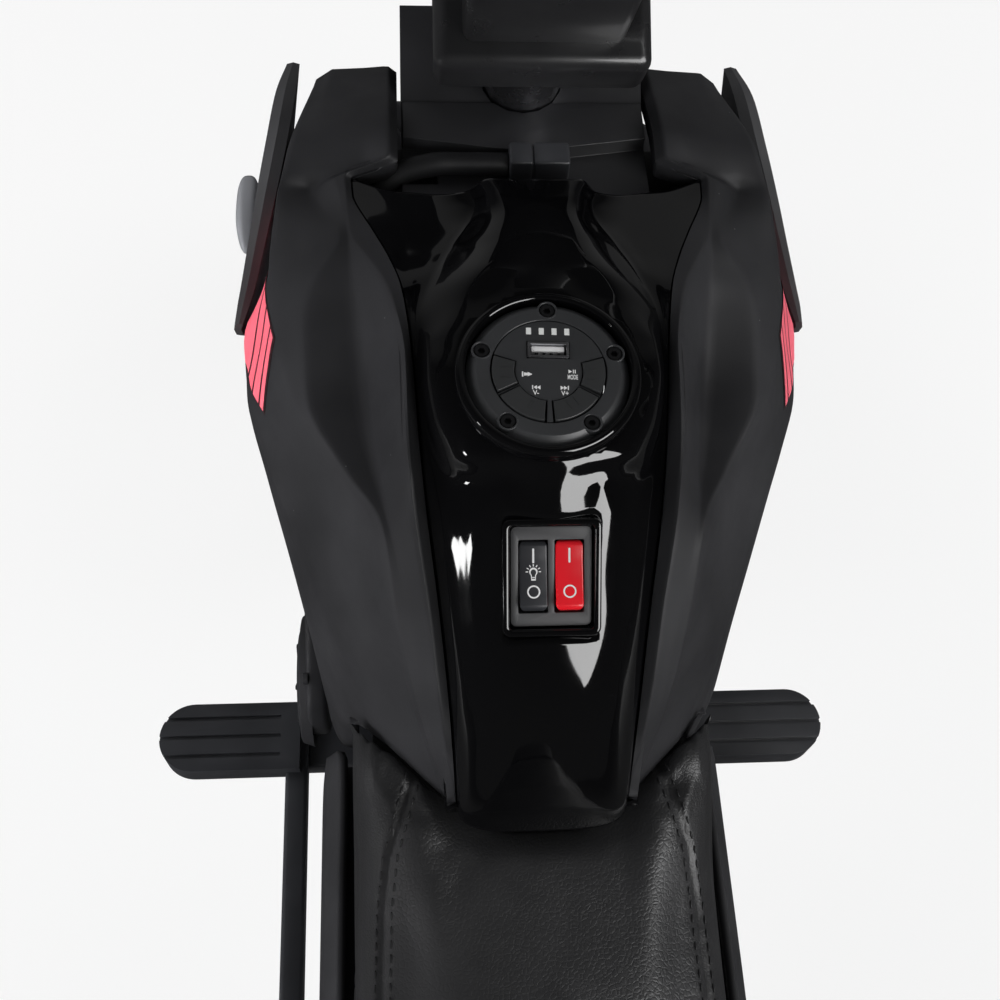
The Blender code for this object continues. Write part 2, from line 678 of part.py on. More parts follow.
def chassis():
    half = HEAD_BLOCK_WIDTH / 2
    frame = finish("chassis", box_mesh("head_block", (-half, -HEAD_BLOCK_DEPTH / 2, HEAD_BASE),
                                       (half, HEAD_BLOCK_DEPTH / 2, HEAD_TOP)), DARK_GREY, STEERING)
    world = Matrix.Identity(4)
    deck = 0.152, 0.214
    combine(frame, box_mesh("deck", (-half, deck[0], DECK_TOP - 0.022), (half, deck[1], DECK_TOP)),
            matrix=world)
    apex, arm = CLAMP_Y + CLAMP_DEPTH / 2 + FIT, 0.0065
    combine(frame, plate_mesh("collar", [(0, apex), (half - 0.0005, apex + arm), (half - 0.0005, 0.213),
                                         (-half + 0.0005, 0.213), (-half + 0.0005, apex + arm)],
                              DECK_TOP - 0.004, DECK_TOP + 0.006, "Z"), matrix=world)
    combine(frame, plate_mesh("spine", [
        (0.236, 0.470), (0.172, 0.486), (0.165, 0.478), (0.105, SPINE_TOP), (SEAT_REAR_Y - 0.006, SPINE_TOP),
        (TAIL_MOUNT_Y + 0.036, TAIL_MOUNT_Z), (TAIL_MOUNT_Y, TAIL_MOUNT_Z), (TAIL_MOUNT_Y, TAIL_MOUNT_Z - 0.022),
        (SEAT_REAR_Y - 0.012, SPINE_BASE), (0.128, SPINE_BASE), (0.176, 0.395), (0.226, 0.452)],
        -SPINE_WIDTH / 2, SPINE_WIDTH / 2), matrix=world)
    tray_half = BATTERY_WIDTH / 2 + 0.005
    tray_base = TRAY_TOP - TRAY_THICKNESS
    hanger_base = TRAY_TOP - TRAY_THICKNESS * 0.75
    hanger_top = SPINE_TOP - 0.004
    combine(frame, box_mesh("tray", (-tray_half, TRAY_REAR - HANGER_THICKNESS / 2, tray_base),
                            (tray_half, TRAY_FRONT + HANGER_THICKNESS / 2, TRAY_TOP)), matrix=world)
    combine(frame, box_mesh("front_hanger", (-HANGER_X, TRAY_FRONT, hanger_base),
                            (HANGER_X, TRAY_FRONT + HANGER_THICKNESS, hanger_top)), matrix=world)
    combine(frame, box_mesh("rear_hanger", (-SIDE_COVER_SEAT_X, TRAY_REAR - HANGER_THICKNESS, hanger_base),
                            (SIDE_COVER_SEAT_X, TRAY_REAR, hanger_top)), matrix=world)
    cover_bar = rail_point(TANK_LINES["waist"], 1.0)
    combine(frame, box_mesh("cover_bar", (SKIN * 1.1 - cover_bar.x, cover_bar.y - 0.009, 0.455),
                            (cover_bar.x - SKIN * 1.1, cover_bar.y - 0.001, 0.469)), matrix=world)
    combine(frame, box_mesh("swingarm_mount", (-0.040, SWINGARM_MOUNT_Y, 0.205),
                            (0.040, TRAY_REAR - HANGER_THICKNESS / 2, 0.250)), matrix=world)
    cut(frame, box_mesh("sleeve_notch", (-0.06, CLAMP_Y - CLAMP_DEPTH / 2, DECK_TOP - 0.0080),
                        (-0.0325, CLAMP_Y + CLAMP_DEPTH / 2, DECK_TOP + 0.02)), matrix=world)
    cut(frame, rod_mesh("stem_bore", (0, 0, HEAD_BASE - 0.03), (0, 0, HEAD_TOP + 0.03),
                        STEM_RADIUS + RUN, 16))
    return frame


def inside_pieces():
    half = BATTERY_WIDTH / 2
    base = TRAY_TOP + FIT
    battery = finish("battery", box_mesh("case", (-half, BATTERY_Y - BATTERY_LENGTH / 2 + FIT, base),
                                         (half, BATTERY_Y + BATTERY_LENGTH / 2 - FIT, base + BATTERY_HEIGHT),
                                         0.002), DARK_GREY)
    for side, _ in SIDES:
        combine(battery, box_mesh("terminal", (side * 0.020 - 0.003, BATTERY_Y + 0.060, base + 0.080),
                                  (side * 0.020 + 0.003, BATTERY_Y + 0.067, base + BATTERY_HEIGHT + 0.006)))
    low = Vector((-CONTROL_BOX_WIDTH / 2, 0.015, SPINE_TOP + FIT))
    size = Vector((CONTROL_BOX_WIDTH, CONTROL_BOX_LENGTH, CONTROL_BOX_HEIGHT))
    finish("control_box", box_mesh("control_box", low, low + size, 0.002), MATT_BLACK)


def swingarm():
    """Two arms on a cross bar that bolts to the chassis, with the rear axle at their ends."""
    pivot = Vector((SWINGARM_MOUNT_Y - FIT - 0.014, 0.226))
    rear = Vector((REAR_AXLE_Y, WHEEL_RADIUS))
    along = (rear - pivot).normalized()
    across = Vector((-along.y, along.x))
    half = SWINGARM_DEPTH / 2
    outline = [pivot + across * -half, pivot + across * half]
    steps = 8
    for i in range(steps + 1):
        turn = math.pi / 2 - math.pi * i / steps
        outline.append(rear + (along * math.cos(turn) + across * math.sin(turn)) * half * 0.9)
    arm = finish("swingarm", box_mesh("cross_bar", (-SWINGARM_X - SWINGARM_WALL / 2, pivot.x - 0.014, 0.204),
                                      (SWINGARM_X + SWINGARM_WALL / 2, pivot.x + 0.014, 0.248)),
                 BLACK_STEEL)
    for side, _ in SIDES:
        low, high = sorted((side * SWINGARM_X, side * (SWINGARM_X + SWINGARM_WALL)))
        combine(arm, plate_mesh("arm", outline, low, high))
    cut(arm, rod_mesh("axle_bore", (-0.1, *rear), (0.1, *rear), AXLE_RADIUS + FIT, 14))
    return arm


def toothed_outline(teeth, phase):
    """A gear's outline: straight-flanked teeth about the pitch circle."""
    pitch = TOOTH_MODULE * teeth / 2
    outline = []
    for i in range(teeth):
        for part, radius in ((-0.30, pitch - TOOTH_MODULE * 1.1), (-0.11, pitch + TOOTH_MODULE * 0.75),
                             (0.11, pitch + TOOTH_MODULE * 0.75), (0.30, pitch - TOOTH_MODULE * 1.1)):
            turn = math.tau * (i + part + phase) / teeth
            outline.append((radius * math.cos(turn), radius * math.sin(turn)))
    return outline


PINION_DISTANCE = TOOTH_MODULE * (GEAR_TEETH + PINION_TEETH) / 2
PINION = REAR_AXLE + PINION_DISTANCE * Vector((0, math.cos(MOTOR_ANGLE), math.sin(MOTOR_ANGLE)))
GEAR_X = GEARBOX_INNER_X + FIT


def drive():
    rear_rim, rear_tyre = wheel("rear", REAR_AXLE, REAR_HUB_END)
    toothed = toothed_outline(GEAR_TEETH, GEAR_TEETH * MOTOR_ANGLE / math.tau)
    gear = finish("drive_gear", plate_mesh("gear", toothed, GEAR_X, GEAR_X + GEAR_WIDTH), NYLON,
                  Matrix.Translation(REAR_AXLE))
    cut(gear, rod_mesh("gear_bore", (GEAR_X - 0.01, 0, 0), (GEAR_X + 0.02, 0, 0), AXLE_RADIUS + FIT, 14))
    for piece in (rear_rim, rear_tyre, gear):
        ride(piece, REAR_WHEEL_AXIS)

    phase = PINION_TEETH * (MOTOR_ANGLE + math.pi) / math.tau + 0.5
    pinion_axis = empty("pinion_axis", Matrix.Translation(PINION))
    pinion = finish("motor_pinion", plate_mesh("pinion", toothed_outline(PINION_TEETH, phase),
                                               GEAR_X, GEAR_X + GEAR_WIDTH), STEEL,
                    Matrix.Translation(PINION))
    shaft_end = GEARBOX_OUTER_X + 0.006
    combine(pinion, rod_mesh("shaft", (GEAR_X + 0.002, 0, 0), (shaft_end, 0, 0), MOTOR_SHAFT_RADIUS, 14))
    ride(pinion, pinion_axis)

    inner = TOOTH_MODULE * GEAR_TEETH / 2 + TOOTH_MODULE + 0.003
    small = TOOTH_MODULE * PINION_TEETH / 2 + TOOTH_MODULE + 0.003
    housing = finish("gearbox_housing", gearbox_form(inner + GEARBOX_WALL, small + GEARBOX_WALL,
                                                     GEARBOX_INNER_X, GEARBOX_OUTER_X), DARK_GREY)
    cut(housing, gearbox_form(inner, small, GEARBOX_INNER_X - 0.01, GEARBOX_OUTER_X - GEARBOX_WALL))
    cut(housing, rod_mesh("axle_bore", (0, *REAR_AXLE.yz), (0.1, *REAR_AXLE.yz), AXLE_RADIUS + FIT, 14))
    cut(housing, rod_mesh("shaft_bore", (0, *PINION.yz), (0.1, *PINION.yz), MOTOR_SHAFT_RADIUS + RUN, 14))

    mount = GEARBOX_OUTER_X + FIT
    motor = finish("motor", turned_mesh("motor", [
        (0, mount), (MOTOR_RADIUS * 0.75, mount), (MOTOR_RADIUS * 0.75, mount + 0.003),
        (MOTOR_RADIUS, mount + 0.004), (MOTOR_RADIUS, mount + MOTOR_LENGTH),
        (MOTOR_RADIUS * 0.35, mount + MOTOR_LENGTH + 0.001),
        (MOTOR_RADIUS * 0.35, mount + MOTOR_LENGTH + 0.004), (0, mount + MOTOR_LENGTH + 0.004)],
        18, "X"), STEEL, Matrix.Translation((0, *PINION.yz)))
    cut(motor, rod_mesh("shaft_bore", (mount - 0.01, 0, 0), (shaft_end + RUN, 0, 0),
                        MOTOR_SHAFT_RADIUS + RUN, 14))
    axle("rear_axle", REAR_AXLE, SWINGARM_X + SWINGARM_WALL + FIT)


def gearbox_form(large, small, low, high):
    """The rounded form round the gear and its pinion, as the outline of two circles and their tangents."""
    gap = (PINION - REAR_AXLE).yz
    lean = math.acos((large - small) / gap.length)
    outline = []
    steps = 16
    start = MOTOR_ANGLE + lean
    for i in range(steps + 1):
        turn = start + (math.tau - 2 * lean) * i / steps
        outline.append(REAR_AXLE.yz + large * Vector((math.cos(turn), math.sin(turn))))
    for i in range(9):
        turn = MOTOR_ANGLE - lean + 2 * lean * i / 8
        outline.append(PINION.yz + small * Vector((math.cos(turn), math.sin(turn))))
    return plate_mesh("gearbox", outline, low, high)


# Stabilisers: a bent tube from each swingarm with a free wheel on its stub
def stabilisers():
    flange_x = SWINGARM_X + SWINGARM_WALL + FIT
    arm_z = WHEEL_RADIUS + 0.010
    hub_in = STABILISER_X - STABILISER_WIDTH / 2
    hub_out = STABILISER_X + STABILISER_WIDTH / 2
    collar = STABILISER_TUBE_RADIUS + 0.006
    bend = [(flange_x + 0.001, arm_z), (0.140, arm_z), (0.144, STABILISER_RADIUS),
            (hub_out + 0.003, STABILISER_RADIUS)]
    route = rounded_path([(x, STABILISER_Y, z) for x, z in bend], STABILISER_BEND)
    for side, word in SIDES:
        mesh = tube_mesh("stabiliser_tube", route, STABILISER_TUBE_RADIUS)
        bracket = finish(f"stabiliser_bracket_{word}", mirrored(mesh, side), BLACK_STEEL)
        combine(bracket, mirrored(box_mesh("flange", (flange_x, STABILISER_Y - 0.018, arm_z - 0.014),
                                           (flange_x + 0.005, STABILISER_Y + 0.026, arm_z + 0.014), 0.001), side))
        for low, high in ((hub_in - RUN - 0.004, hub_in - RUN), (hub_out + RUN, hub_out + RUN + 0.005)):
            combine(bracket, mirrored(rod_mesh("collar", (low, STABILISER_Y, STABILISER_RADIUS),
                                               (high, STABILISER_Y, STABILISER_RADIUS), collar, 14), side))
        bore = STABILISER_TUBE_RADIUS + RUN
        half = STABILISER_WIDTH / 2
        right = [(STABILISER_RADIUS, half * 0.6), (STABILISER_RADIUS - 0.004, half), (0.053, half),
                 (0.048, half * 0.35), (0.026, half * 0.35), (0.022, half), (bore, half)]
        profile = [(radius, -height) for radius, height in reversed(right)] + right
        axis = empty(f"stabiliser_axis_{word}",
                     Matrix.Translation((side * STABILISER_X, STABILISER_Y, STABILISER_RADIUS)))
        wheel_piece = finish(f"stabiliser_wheel_{word}", turned_mesh("stabiliser_wheel", profile, 20, "X"),
                             RUBBER, axis.matrix_world.copy())
        ride(wheel_piece, axis)


# Footrests: a grooved peg with a round end, a rail that runs back from it and an arm under the tray
def footrests():
    top, base = PEG_TOP, PEG_TOP - PEG_THICKNESS
    arm_top = TRAY_TOP - TRAY_THICKNESS - FIT
    reach = PEG_REACH - PEG_DEPTH / 2
    outline = [(PEG_INNER_X - 0.004, PEG_Y + PEG_DEPTH / 2), (PEG_INNER_X - 0.004, PEG_Y - PEG_DEPTH / 2)]
    for i in range(9):
        turn = -math.pi / 2 + math.pi * i / 8
        outline.append((reach + PEG_DEPTH / 2 * math.cos(turn), PEG_Y + PEG_DEPTH / 2 * math.sin(turn)))
    for side, word in SIDES:
        rest = finish(f"footrest_{word}", mirrored(plate_mesh("peg", outline, base, top, "Z", 0.0015), side),
                      DARK_GREY)
        rail_low = PEG_INNER_X + 0.0039 - RAIL_WIDTH
        rail = box_mesh("rail", (rail_low, PEG_Y + 0.012 - RAIL_LENGTH, base - 0.006),
                        (rail_low + RAIL_WIDTH, PEG_Y + 0.012, base - 0.006 + RAIL_HEIGHT), 0.002)
        combine(rest, mirrored(rail, side))
        arm = box_mesh("arm", (0.002, PEG_Y - 0.013, arm_top - FOOTREST_ARM_THICKNESS),
                       (PEG_INNER_X + 0.012, PEG_Y + 0.013, arm_top))
        combine(rest, mirrored(arm, side))
        for i in range(PEG_GROOVES):
            y = PEG_Y + PEG_DEPTH * (i + 1 - (PEG_GROOVES + 1) / 2) / (PEG_GROOVES + 0.6)
            groove = box_mesh("groove", (PEG_INNER_X + 0.006, y - 0.0011, top - 0.0018),
                              (PEG_REACH + 0.01, y + 0.0011, top + 0.01))
            cut(rest, mirrored(groove, side))


# Tank covers: the right-hand cover's lines, front to rear, in millimetres
TANK_LINES = {
    "seam": [(47, 235, 496), (47, 195, 507), (47, 182, 506), (64, 177, 502), (63.4, 168.5, 502.6), (55.8, 150, 505.5),
             (50.8, 138, 507.3), (46.5, 124, 508.5), (43.2, 98, 505), (41.4, 72, 496.5), (39, 48, 485),
             (35.2, 20, 466), (32.4, -5, 447), (30.2, -29.5, 420)],
    "ridge": [(50, 235, 499), (50, 195, 510), (50, 182, 509), (66, 177, 504), (65.6, 169, 503.6), (63.8, 152.5, 503),
              (57.5, 138, 505.5), (51.5, 125, 507.5), (45.8, 98, 509.3), (45.3, 72, 503.5), (43.2, 48, 491.5),
              (38.6, 20, 471), (35.4, -5, 450), (31.5, -27.5, 417)],
    "groove": [(58, 235, 498), (59, 195, 508), (60, 182, 503.5), (70, 177, 502.5), (68, 168.5, 502.6), (65, 152, 502.3),
               (63.5, 138, 498), (62.3, 125, 490.5), (59.6, 98, 478.3), (56.1, 72, 476.8), (52, 49, 483),
               (45, 20, 466.5), (40, -5, 444), (32.5, -26, 413)],
    "facet": [(72, 235, 497), (76, 195, 505), (79, 182, 500.5), (79, 177, 495.5), (75.5, 168, 497.5), (68, 150.5, 501.8),
              (77, 138, 495.5), (80.7, 125, 489.4), (79.5, 98, 479.8), (66.5, 72, 476), (54, 48, 482.5),
              (49, 20, 463), (42, -5, 440), (33, -25.5, 411)],
    "shoulder": [(78, 235, 492), (86, 195, 503.5), (89, 182, 500), (90.5, 176, 498), (91.8, 168, 494.6), (94, 152, 486.5),
                 (93.6, 140, 482.5), (92, 127, 479.5), (84.5, 99, 475), (69.5, 72.5, 472.5),
                 (57, 48.5, 478.5), (50.5, 20, 459.5), (42.3, -5, 436.5), (33.5, -25, 410.5)],
    "crease": [(79, 235, 480), (86.5, 195, 492), (89.2, 182, 488), (90.6, 176, 486), (92, 168.5, 483.4), (94.4, 153, 477),
               (101.5, 141, 465), (103.5, 123, 452), (94.5, 98, 452), (80.5, 73, 448), (67, 49.5, 455),
               (53, 21, 454), (43, -4, 432), (34, -24.5, 409)],
    "flank": [(79.5, 235, 465), (86.5, 195, 475), (89, 182, 472), (90.4, 176, 470), (91.7, 168.5, 468.8), (94, 153, 466),
              (104.8, 141, 459), (104.8, 120, 448), (98, 96.5, 441), (88, 71, 431), (78.5, 47, 428),
              (67, 21.5, 422), (58, 4, 415), (52.4, -6.8, 410.4)],
    "waist": [(79.5, 235, 450), (86, 195, 452), (88.5, 182, 450), (90, 176, 449), (91.2, 168.5, 448.4), (93.5, 153, 447),
              (106.2, 141, 451), (104.5, 118, 442), (98.5, 95, 428), (91, 70, 410), (84, 46, 387),
              (77.5, 24, 371), (71, 14, 378), (66.3, 10.8, 388.5)],
    "hem": [(78, 230, 432), (84, 195, 424), (86, 182, 420), (88, 176, 417), (89.4, 168.5, 415.8), (92, 153, 413),
            (101, 141, 411), (98.5, 118, 403), (93.5, 95, 391), (87.5, 70, 373), (82, 46, 355),
            (77.5, 24, 341), (72.5, 14, 346), (68, 10.5, 353)],
}
TANK_STATIONS = len(TANK_LINES["seam"])


def tank_row(place):
    """Points across the right tank cover at a place along its stations, from the seam lip to the hem."""
    row = [rail_point(TANK_LINES[name], place) for name in TANK_LINES]
    lip = SEAM_LIP if place > 2.6 else SEAM_LIP * 0.15
    return [row[0] + Vector((0.0002, 0, -lip)), *row]


def tank_covers():
    places = sorted({*range(TANK_STATIONS), *(i + 0.5 for i in range(7, TANK_STATIONS - 1))})
    rows = [tank_row(place) for place in places]
    nose = sum(rows[0], Vector()) / len(rows[0])
    cap = [nose + (point - nose) * 0.35 + Vector((0, 0.010, -0.004)) for point in rows[0]]
    mesh = loft_mesh("tank_cover", [*reversed(rows), cap])
    for side, word in SIDES:
        cover = finish(f"tank_cover_{word}", mirrored(mesh.copy(), side), MATT_BLACK)
        thicken(cover, SKIN)


# Console panel: the right half's lines, front to rear; its edge follows the covers' seam
PANEL_LINES = {
    "centre": [(0, 160, 521.5), (0, 154, 521.9), (0, 147, 522.3), (0, 136, 522.5), (0, 124, 521.8),
               (0, 112, 521), (0, 99, 520), (0, 86, 519.6), (0, 71, 518.6), (0, 56.5, 514.3),
               (0, 46, 504.8), (0, 19, 486.5), (0, -7, 466.5), (0, -36, 425), (0, -39.3, 416.5)],
    "top": [(15.5, 161.5, 520), (12.2, 154.5, 520.9), (10.8, 147, 521.4), (12.3, 134.5, 522.3),
            (16.6, 123.5, 522.4), (25.5, 110.5, 518.5), (34, 98.5, 514.8), (37, 88, 516.6),
            (34.3, 73.4, 506.4), (25, 59.5, 504.2), (14, 48.5, 504), (12, 19.2, 485.4),
            (11, -6.8, 465.4), (11, -35.8, 424.6), (11, -39.1, 416.3)],
    "foot": [(24, 165.3, 508.6), (22.9, 160, 507.9), (24.5, 152.5, 506.8), (30.5, 141.5, 507.2),
             (36.2, 128.5, 508.3), (40.4, 113.5, 508.4), (41.3, 99.5, 506.8), (40.2, 87.5, 505.8),
             (37.2, 74, 502.2), (30.5, 61.5, 500.6), (23, 48, 499.5), (21.5, 19.5, 481.6),
             (20, -6.5, 461.6), (20, -35.2, 424), (20, -38.3, 416.2)],
    "dip": [(36.5, 169.2, 503), (35.6, 162, 503.8), (35, 152, 505), (37.5, 140.2, 506.5),
            (40, 127, 508.2), (42, 112.7, 507.8), (42.2, 99, 506.2), (41.1, 86.8, 504.4),
            (38.7, 73.2, 500.4), (34.6, 60.8, 497), (29.5, 48, 495.2), (27.5, 19.8, 476.4),
            (25.6, -6, 456.8), (26.2, -33.4, 423.4), (26.4, -36.2, 416.6)],
    "crest": [(50, 170.8, 502.8), (49, 165, 503.5), (45.6, 151, 505.1), (44.4, 139, 506.6),
              (43.4, 125.3, 508.4), (43.4, 112, 507.8), (42.7, 98.6, 505.8), (41.7, 86, 502.8),
              (40.2, 72.5, 498.4), (37.7, 60.2, 493.8), (34.8, 47.9, 490.2), (31.8, 19.9, 471.4),
              (29.6, -5.4, 452), (29.4, -30.4, 422.5), (29.4, -32.8, 417.8)],
}
PANEL_STATIONS = (3, 4, 5, 6, 7, 7.5, 8, 8.5, 9, 9.5, 10, 11, 12, 12.75, 13)


def panel_row(place):
    """Points across the panel's right half at a place along its stations, from its lip to the middle."""
    seam = rail_point(TANK_LINES["seam"], between(PANEL_STATIONS, place))
    edge = seam - Vector((SEAM_GAP, 0, 0))
    right = [rail_point(PANEL_LINES[name], place) for name in PANEL_LINES] + [edge]
    return [edge - Vector((0, 0, SEAM_LIP * 0.7)), *reversed(right)]


def console_panel():
    rows = [panel_row(place) for place in sorted({*range(len(PANEL_STATIONS)), 9.5, 12.5})]
    panel = finish("console_panel", loft_mesh("panel", rows), GLOSS_BLACK)
    mirror(panel)
    thicken(panel, SKIN * 0.8)
    bore = RING_RADIUS + FIT
    combine(panel, rod_mesh("dial_cup", (0, 0, -DIAL_DEPTH - FIT - CUP_WALL), (0, 0, 0.0004),
                            bore + CUP_WALL, 36), matrix=DIAL)
    cut(panel, rod_mesh("dial_recess", (0, 0, -DIAL_DEPTH - FIT), (0, 0, 0.02), bore, 36), matrix=DIAL)
    half_x = BEZEL_WIDTH / 2 + FIT
    half_y = BEZEL_LENGTH / 2 + FIT
    wall = SWITCH_FRAME_WALL
    combine(panel, box_mesh("switch_frame", (-half_x - wall, -half_y - wall, -SWITCH_SINK - 0.004),
                            (half_x + wall, half_y + wall, SWITCH_FRAME_PROUD), 0.001), matrix=SWITCH)
    cut(panel, box_mesh("switch_recess", (-half_x, -half_y, -SWITCH_SINK), (half_x, half_y, 0.02)),
        matrix=SWITCH)
    cut(panel, box_mesh("switch_hole", (-half_x + 0.002, -half_y + 0.002, -0.03),
                        (half_x - 0.002, half_y - 0.002, 0.02)), matrix=SWITCH)


# Dial: ring, face with its USB port, four buttons and five screws
BUTTONS = (("horn_button", 163, 207), ("mode_button", -27, 17), ("volume_down_button", 210, 265.7),
           ("volume_up_button", 274.3, 330))


def sector_outline(inner, outer, start, end):
    turns = [math.radians(start + (end - start) * i / 6) for i in range(7)]
    outline = [(outer * math.cos(turn), outer * math.sin(turn)) for turn in turns]
    outline += [(inner * math.cos(turn), inner * math.sin(turn)) for turn in reversed(turns)]
    return outline


def dial():
    inner = FACE_RADIUS + FIT
    floor = -DIAL_DEPTH
    ring = finish("control_ring", turned_mesh("ring", [
        (inner, floor), (RING_RADIUS, floor), (RING_RADIUS, -RING_CHAMFER * 1.1),
        (RING_RADIUS - RING_CHAMFER, 0), (inner, 0)], 32), DARK_GREY, DIAL)
    for i in range(RING_SCREWS):
        turn = math.pi / 2 + math.tau * i / RING_SCREWS
        x, y = SCREW_CIRCLE_RADIUS * math.cos(turn), SCREW_CIRCLE_RADIUS * math.sin(turn)
        seat = -SCREW_HEAD - 0.0006
        cut(ring, rod_mesh("screw_pocket", (x, y, seat), (x, y, 0.01), SCREW_HEAD_RADIUS + FIT, 11))
        cut(ring, rod_mesh("screw_hole", (x, y, -0.02), (x, y, 0.01), SCREW_SHANK_RADIUS + FIT, 9))
        head = seat + FIT
        screw = finish(f"ring_screw_{i + 1}", turned_mesh("screw", [
            (0, head + SCREW_HEAD), (SCREW_HEAD_RADIUS - 0.0003, head + SCREW_HEAD),
            (SCREW_HEAD_RADIUS, head + SCREW_HEAD - 0.0004), (SCREW_HEAD_RADIUS, head),
            (SCREW_SHANK_RADIUS, head), (SCREW_SHANK_RADIUS, floor + FIT), (0, floor + FIT)], 10),
            BLACK_STEEL, DIAL @ Matrix.Translation((x, y, 0)))
        cut(screw, rod_mesh("socket", (0, 0, head + SCREW_HEAD - 0.0010), (0, 0, 0.01),
                            SCREW_HEAD_RADIUS * 0.5, 6), matrix=screw.matrix_world.copy())
    face = finish("control_face", rod_mesh("face", (0, 0, floor), (0, 0, -0.0002), FACE_RADIUS, 32),
                  DARK_GREY, DIAL)
    for name, start, end in BUTTONS:
        margin = math.degrees(FIT / FACE_RADIUS) * 1.3
        cut(face, plate_mesh("button_pocket", sector_outline(
            BUTTON_INNER_RADIUS - FIT, FACE_RADIUS + 0.003, start - margin, end + margin),
            -0.02, 0.02, "Z"))
        button = finish(name, plate_mesh(name, sector_outline(
            BUTTON_INNER_RADIUS, FACE_RADIUS - FIT, start, end),
            floor + BUTTON_TRAVEL + FIT, BUTTON_PROUD, "Z", 0.0003), DARK_GREY, DIAL)
        ride(button, DIAL_AXIS)
    half_x, half_y = USB_WIDTH / 2, USB_HEIGHT / 2
    cut(face, box_mesh("usb_hole", (-half_x - FIT, USB_OFFSET - half_y - FIT, -0.02),
                       (half_x + FIT, USB_OFFSET + half_y + FIT, 0.02)))
    port = finish("usb_port", box_mesh("usb", (-half_x, USB_OFFSET - half_y, floor),
                                       (half_x, USB_OFFSET + half_y, 0.0003), 0.0003), STEEL, DIAL)
    cut(port, box_mesh("usb_mouth", (-half_x + USB_WALL, USB_OFFSET - half_y + USB_WALL, -USB_DEPTH),
                       (half_x - USB_WALL, USB_OFFSET + half_y - USB_WALL, 0.01)))
    combine(port, box_mesh("usb_tongue", (-half_x + USB_WALL + 0.0006, USB_OFFSET + 0.0001, -USB_DEPTH - 0.0003),
                           (half_x - USB_WALL - 0.0006, USB_OFFSET + 0.0016, -0.0008)))


def switches():
    """The bezel in its recess and two rockers, each pressed at its upper end."""
    half_x, half_y = BEZEL_WIDTH / 2, BEZEL_LENGTH / 2
    floor = -SWITCH_SINK + FIT
    bezel = finish("switch_bezel", box_mesh("flange", (-half_x + FIT, -half_y + FIT, floor),
                                            (half_x - FIT, half_y - FIT, floor + BEZEL_FLANGE), 0.0006),
                   DARK_GREY, SWITCH)
    combine(bezel, box_mesh("bezel_body", (-half_x + 0.0024, -half_y + 0.0024, floor - BEZEL_DEPTH),
                            (half_x - 0.0024, half_y - 0.0024, floor + 0.0005)))
    pivot_z = floor + BEZEL_FLANGE - 0.0025
    room_x, room_y = ROCKER_WIDTH / 2 + FIT, ROCKER_LENGTH / 2 + 0.0006
    tip, top, foot = ROCKER_LENGTH / 2, 0.0038, -0.0060
    profile = [(-tip, top - 0.0008), (-tip + 0.0008, top), (-tip * 0.35, top - 0.0005),
               (tip * 0.35, top - 0.0005), (tip - 0.0008, top), (tip, top - 0.0008),
               (tip * 0.72, foot), (-tip * 0.72, foot)]
    for side, name, colour in ((-1, "light_rocker", DARK_GREY), (1, "power_rocker", RED)):
        x = side * ROCKER_SPACING / 2
        cut(bezel, box_mesh("rocker_room", (x - room_x, -room_y, floor - BEZEL_DEPTH + 0.003),
                            (x + room_x, room_y, 0.02)))
        pivot = SWITCH @ Matrix.Translation((x, 0, pivot_z))
        axis = empty(f"{name}_axis", pivot)
        rocker = finish(name, plate_mesh(name, profile, -ROCKER_WIDTH / 2, ROCKER_WIDTH / 2, "X", 0.0005),
                        colour, pivot @ Matrix.Rotation(-ROCKER_TILT, 4, "X"))
        ride(rocker, axis)


# Shrouds beside the steering head: (y, top z, outer top x, bottom z, outer bottom x, thickness), in millimetres
SHROUD_SECTIONS = [(143.4, 458.5, 106.8, 452.0, 107.2, 0.8), (149, 461.5, 106.2, 444.0, 107.8, 4.0),
                   (156, 465.2, 105.4, 436, 108, 7.6), (170.6, 472, 103.6, 421, 108.5, 9),
                   (190, 480, 100.4, 408, 108.5, 9), (208.8, 486.7, 97.2, 402, 107.5, 8.5),
                   (230, 492, 93.4, 402, 103, 7.5), (248, 488, 90.0, 412, 98, 5)]
SHROUD_BULGE = 0.0012
SHROUD_BOSS_PLACE = 0.55
SHROUD_BOSS_RADIUS = 0.006


def shroud_x(y, z):
    """The shroud's outer face at a height: straight from its top edge to its bottom edge."""
    def column(index):
        return table_value([(row[0] * MM, row[index] * MM) for row in SHROUD_SECTIONS], y)
    top_z, top_x, low_z, low_x = (column(i) for i in range(1, 5))
    return top_x + (low_x - top_x) * (top_z - z) / (top_z - low_z)


def shroud_ring(section):
    y, top_z, top_x, low_z, low_x, thickness = (value * MM for value in section)
    middle = ((top_x + low_x) / 2 + SHROUD_BULGE * min(1, thickness / 0.004), (top_z + low_z) / 2)
    edge = thickness * 0.18
    outer = [(top_x, top_z - edge), middle, (low_x, low_z + edge)]
    inner = [(x - thickness, z) for x, z in reversed(outer)]
    rim_low = (low_x - thickness / 2, low_z)
    rim_top = (top_x - thickness / 2, top_z)
    return [Vector((x, y, z)) for x, z in (rim_top, *outer, rim_low, *inner)]


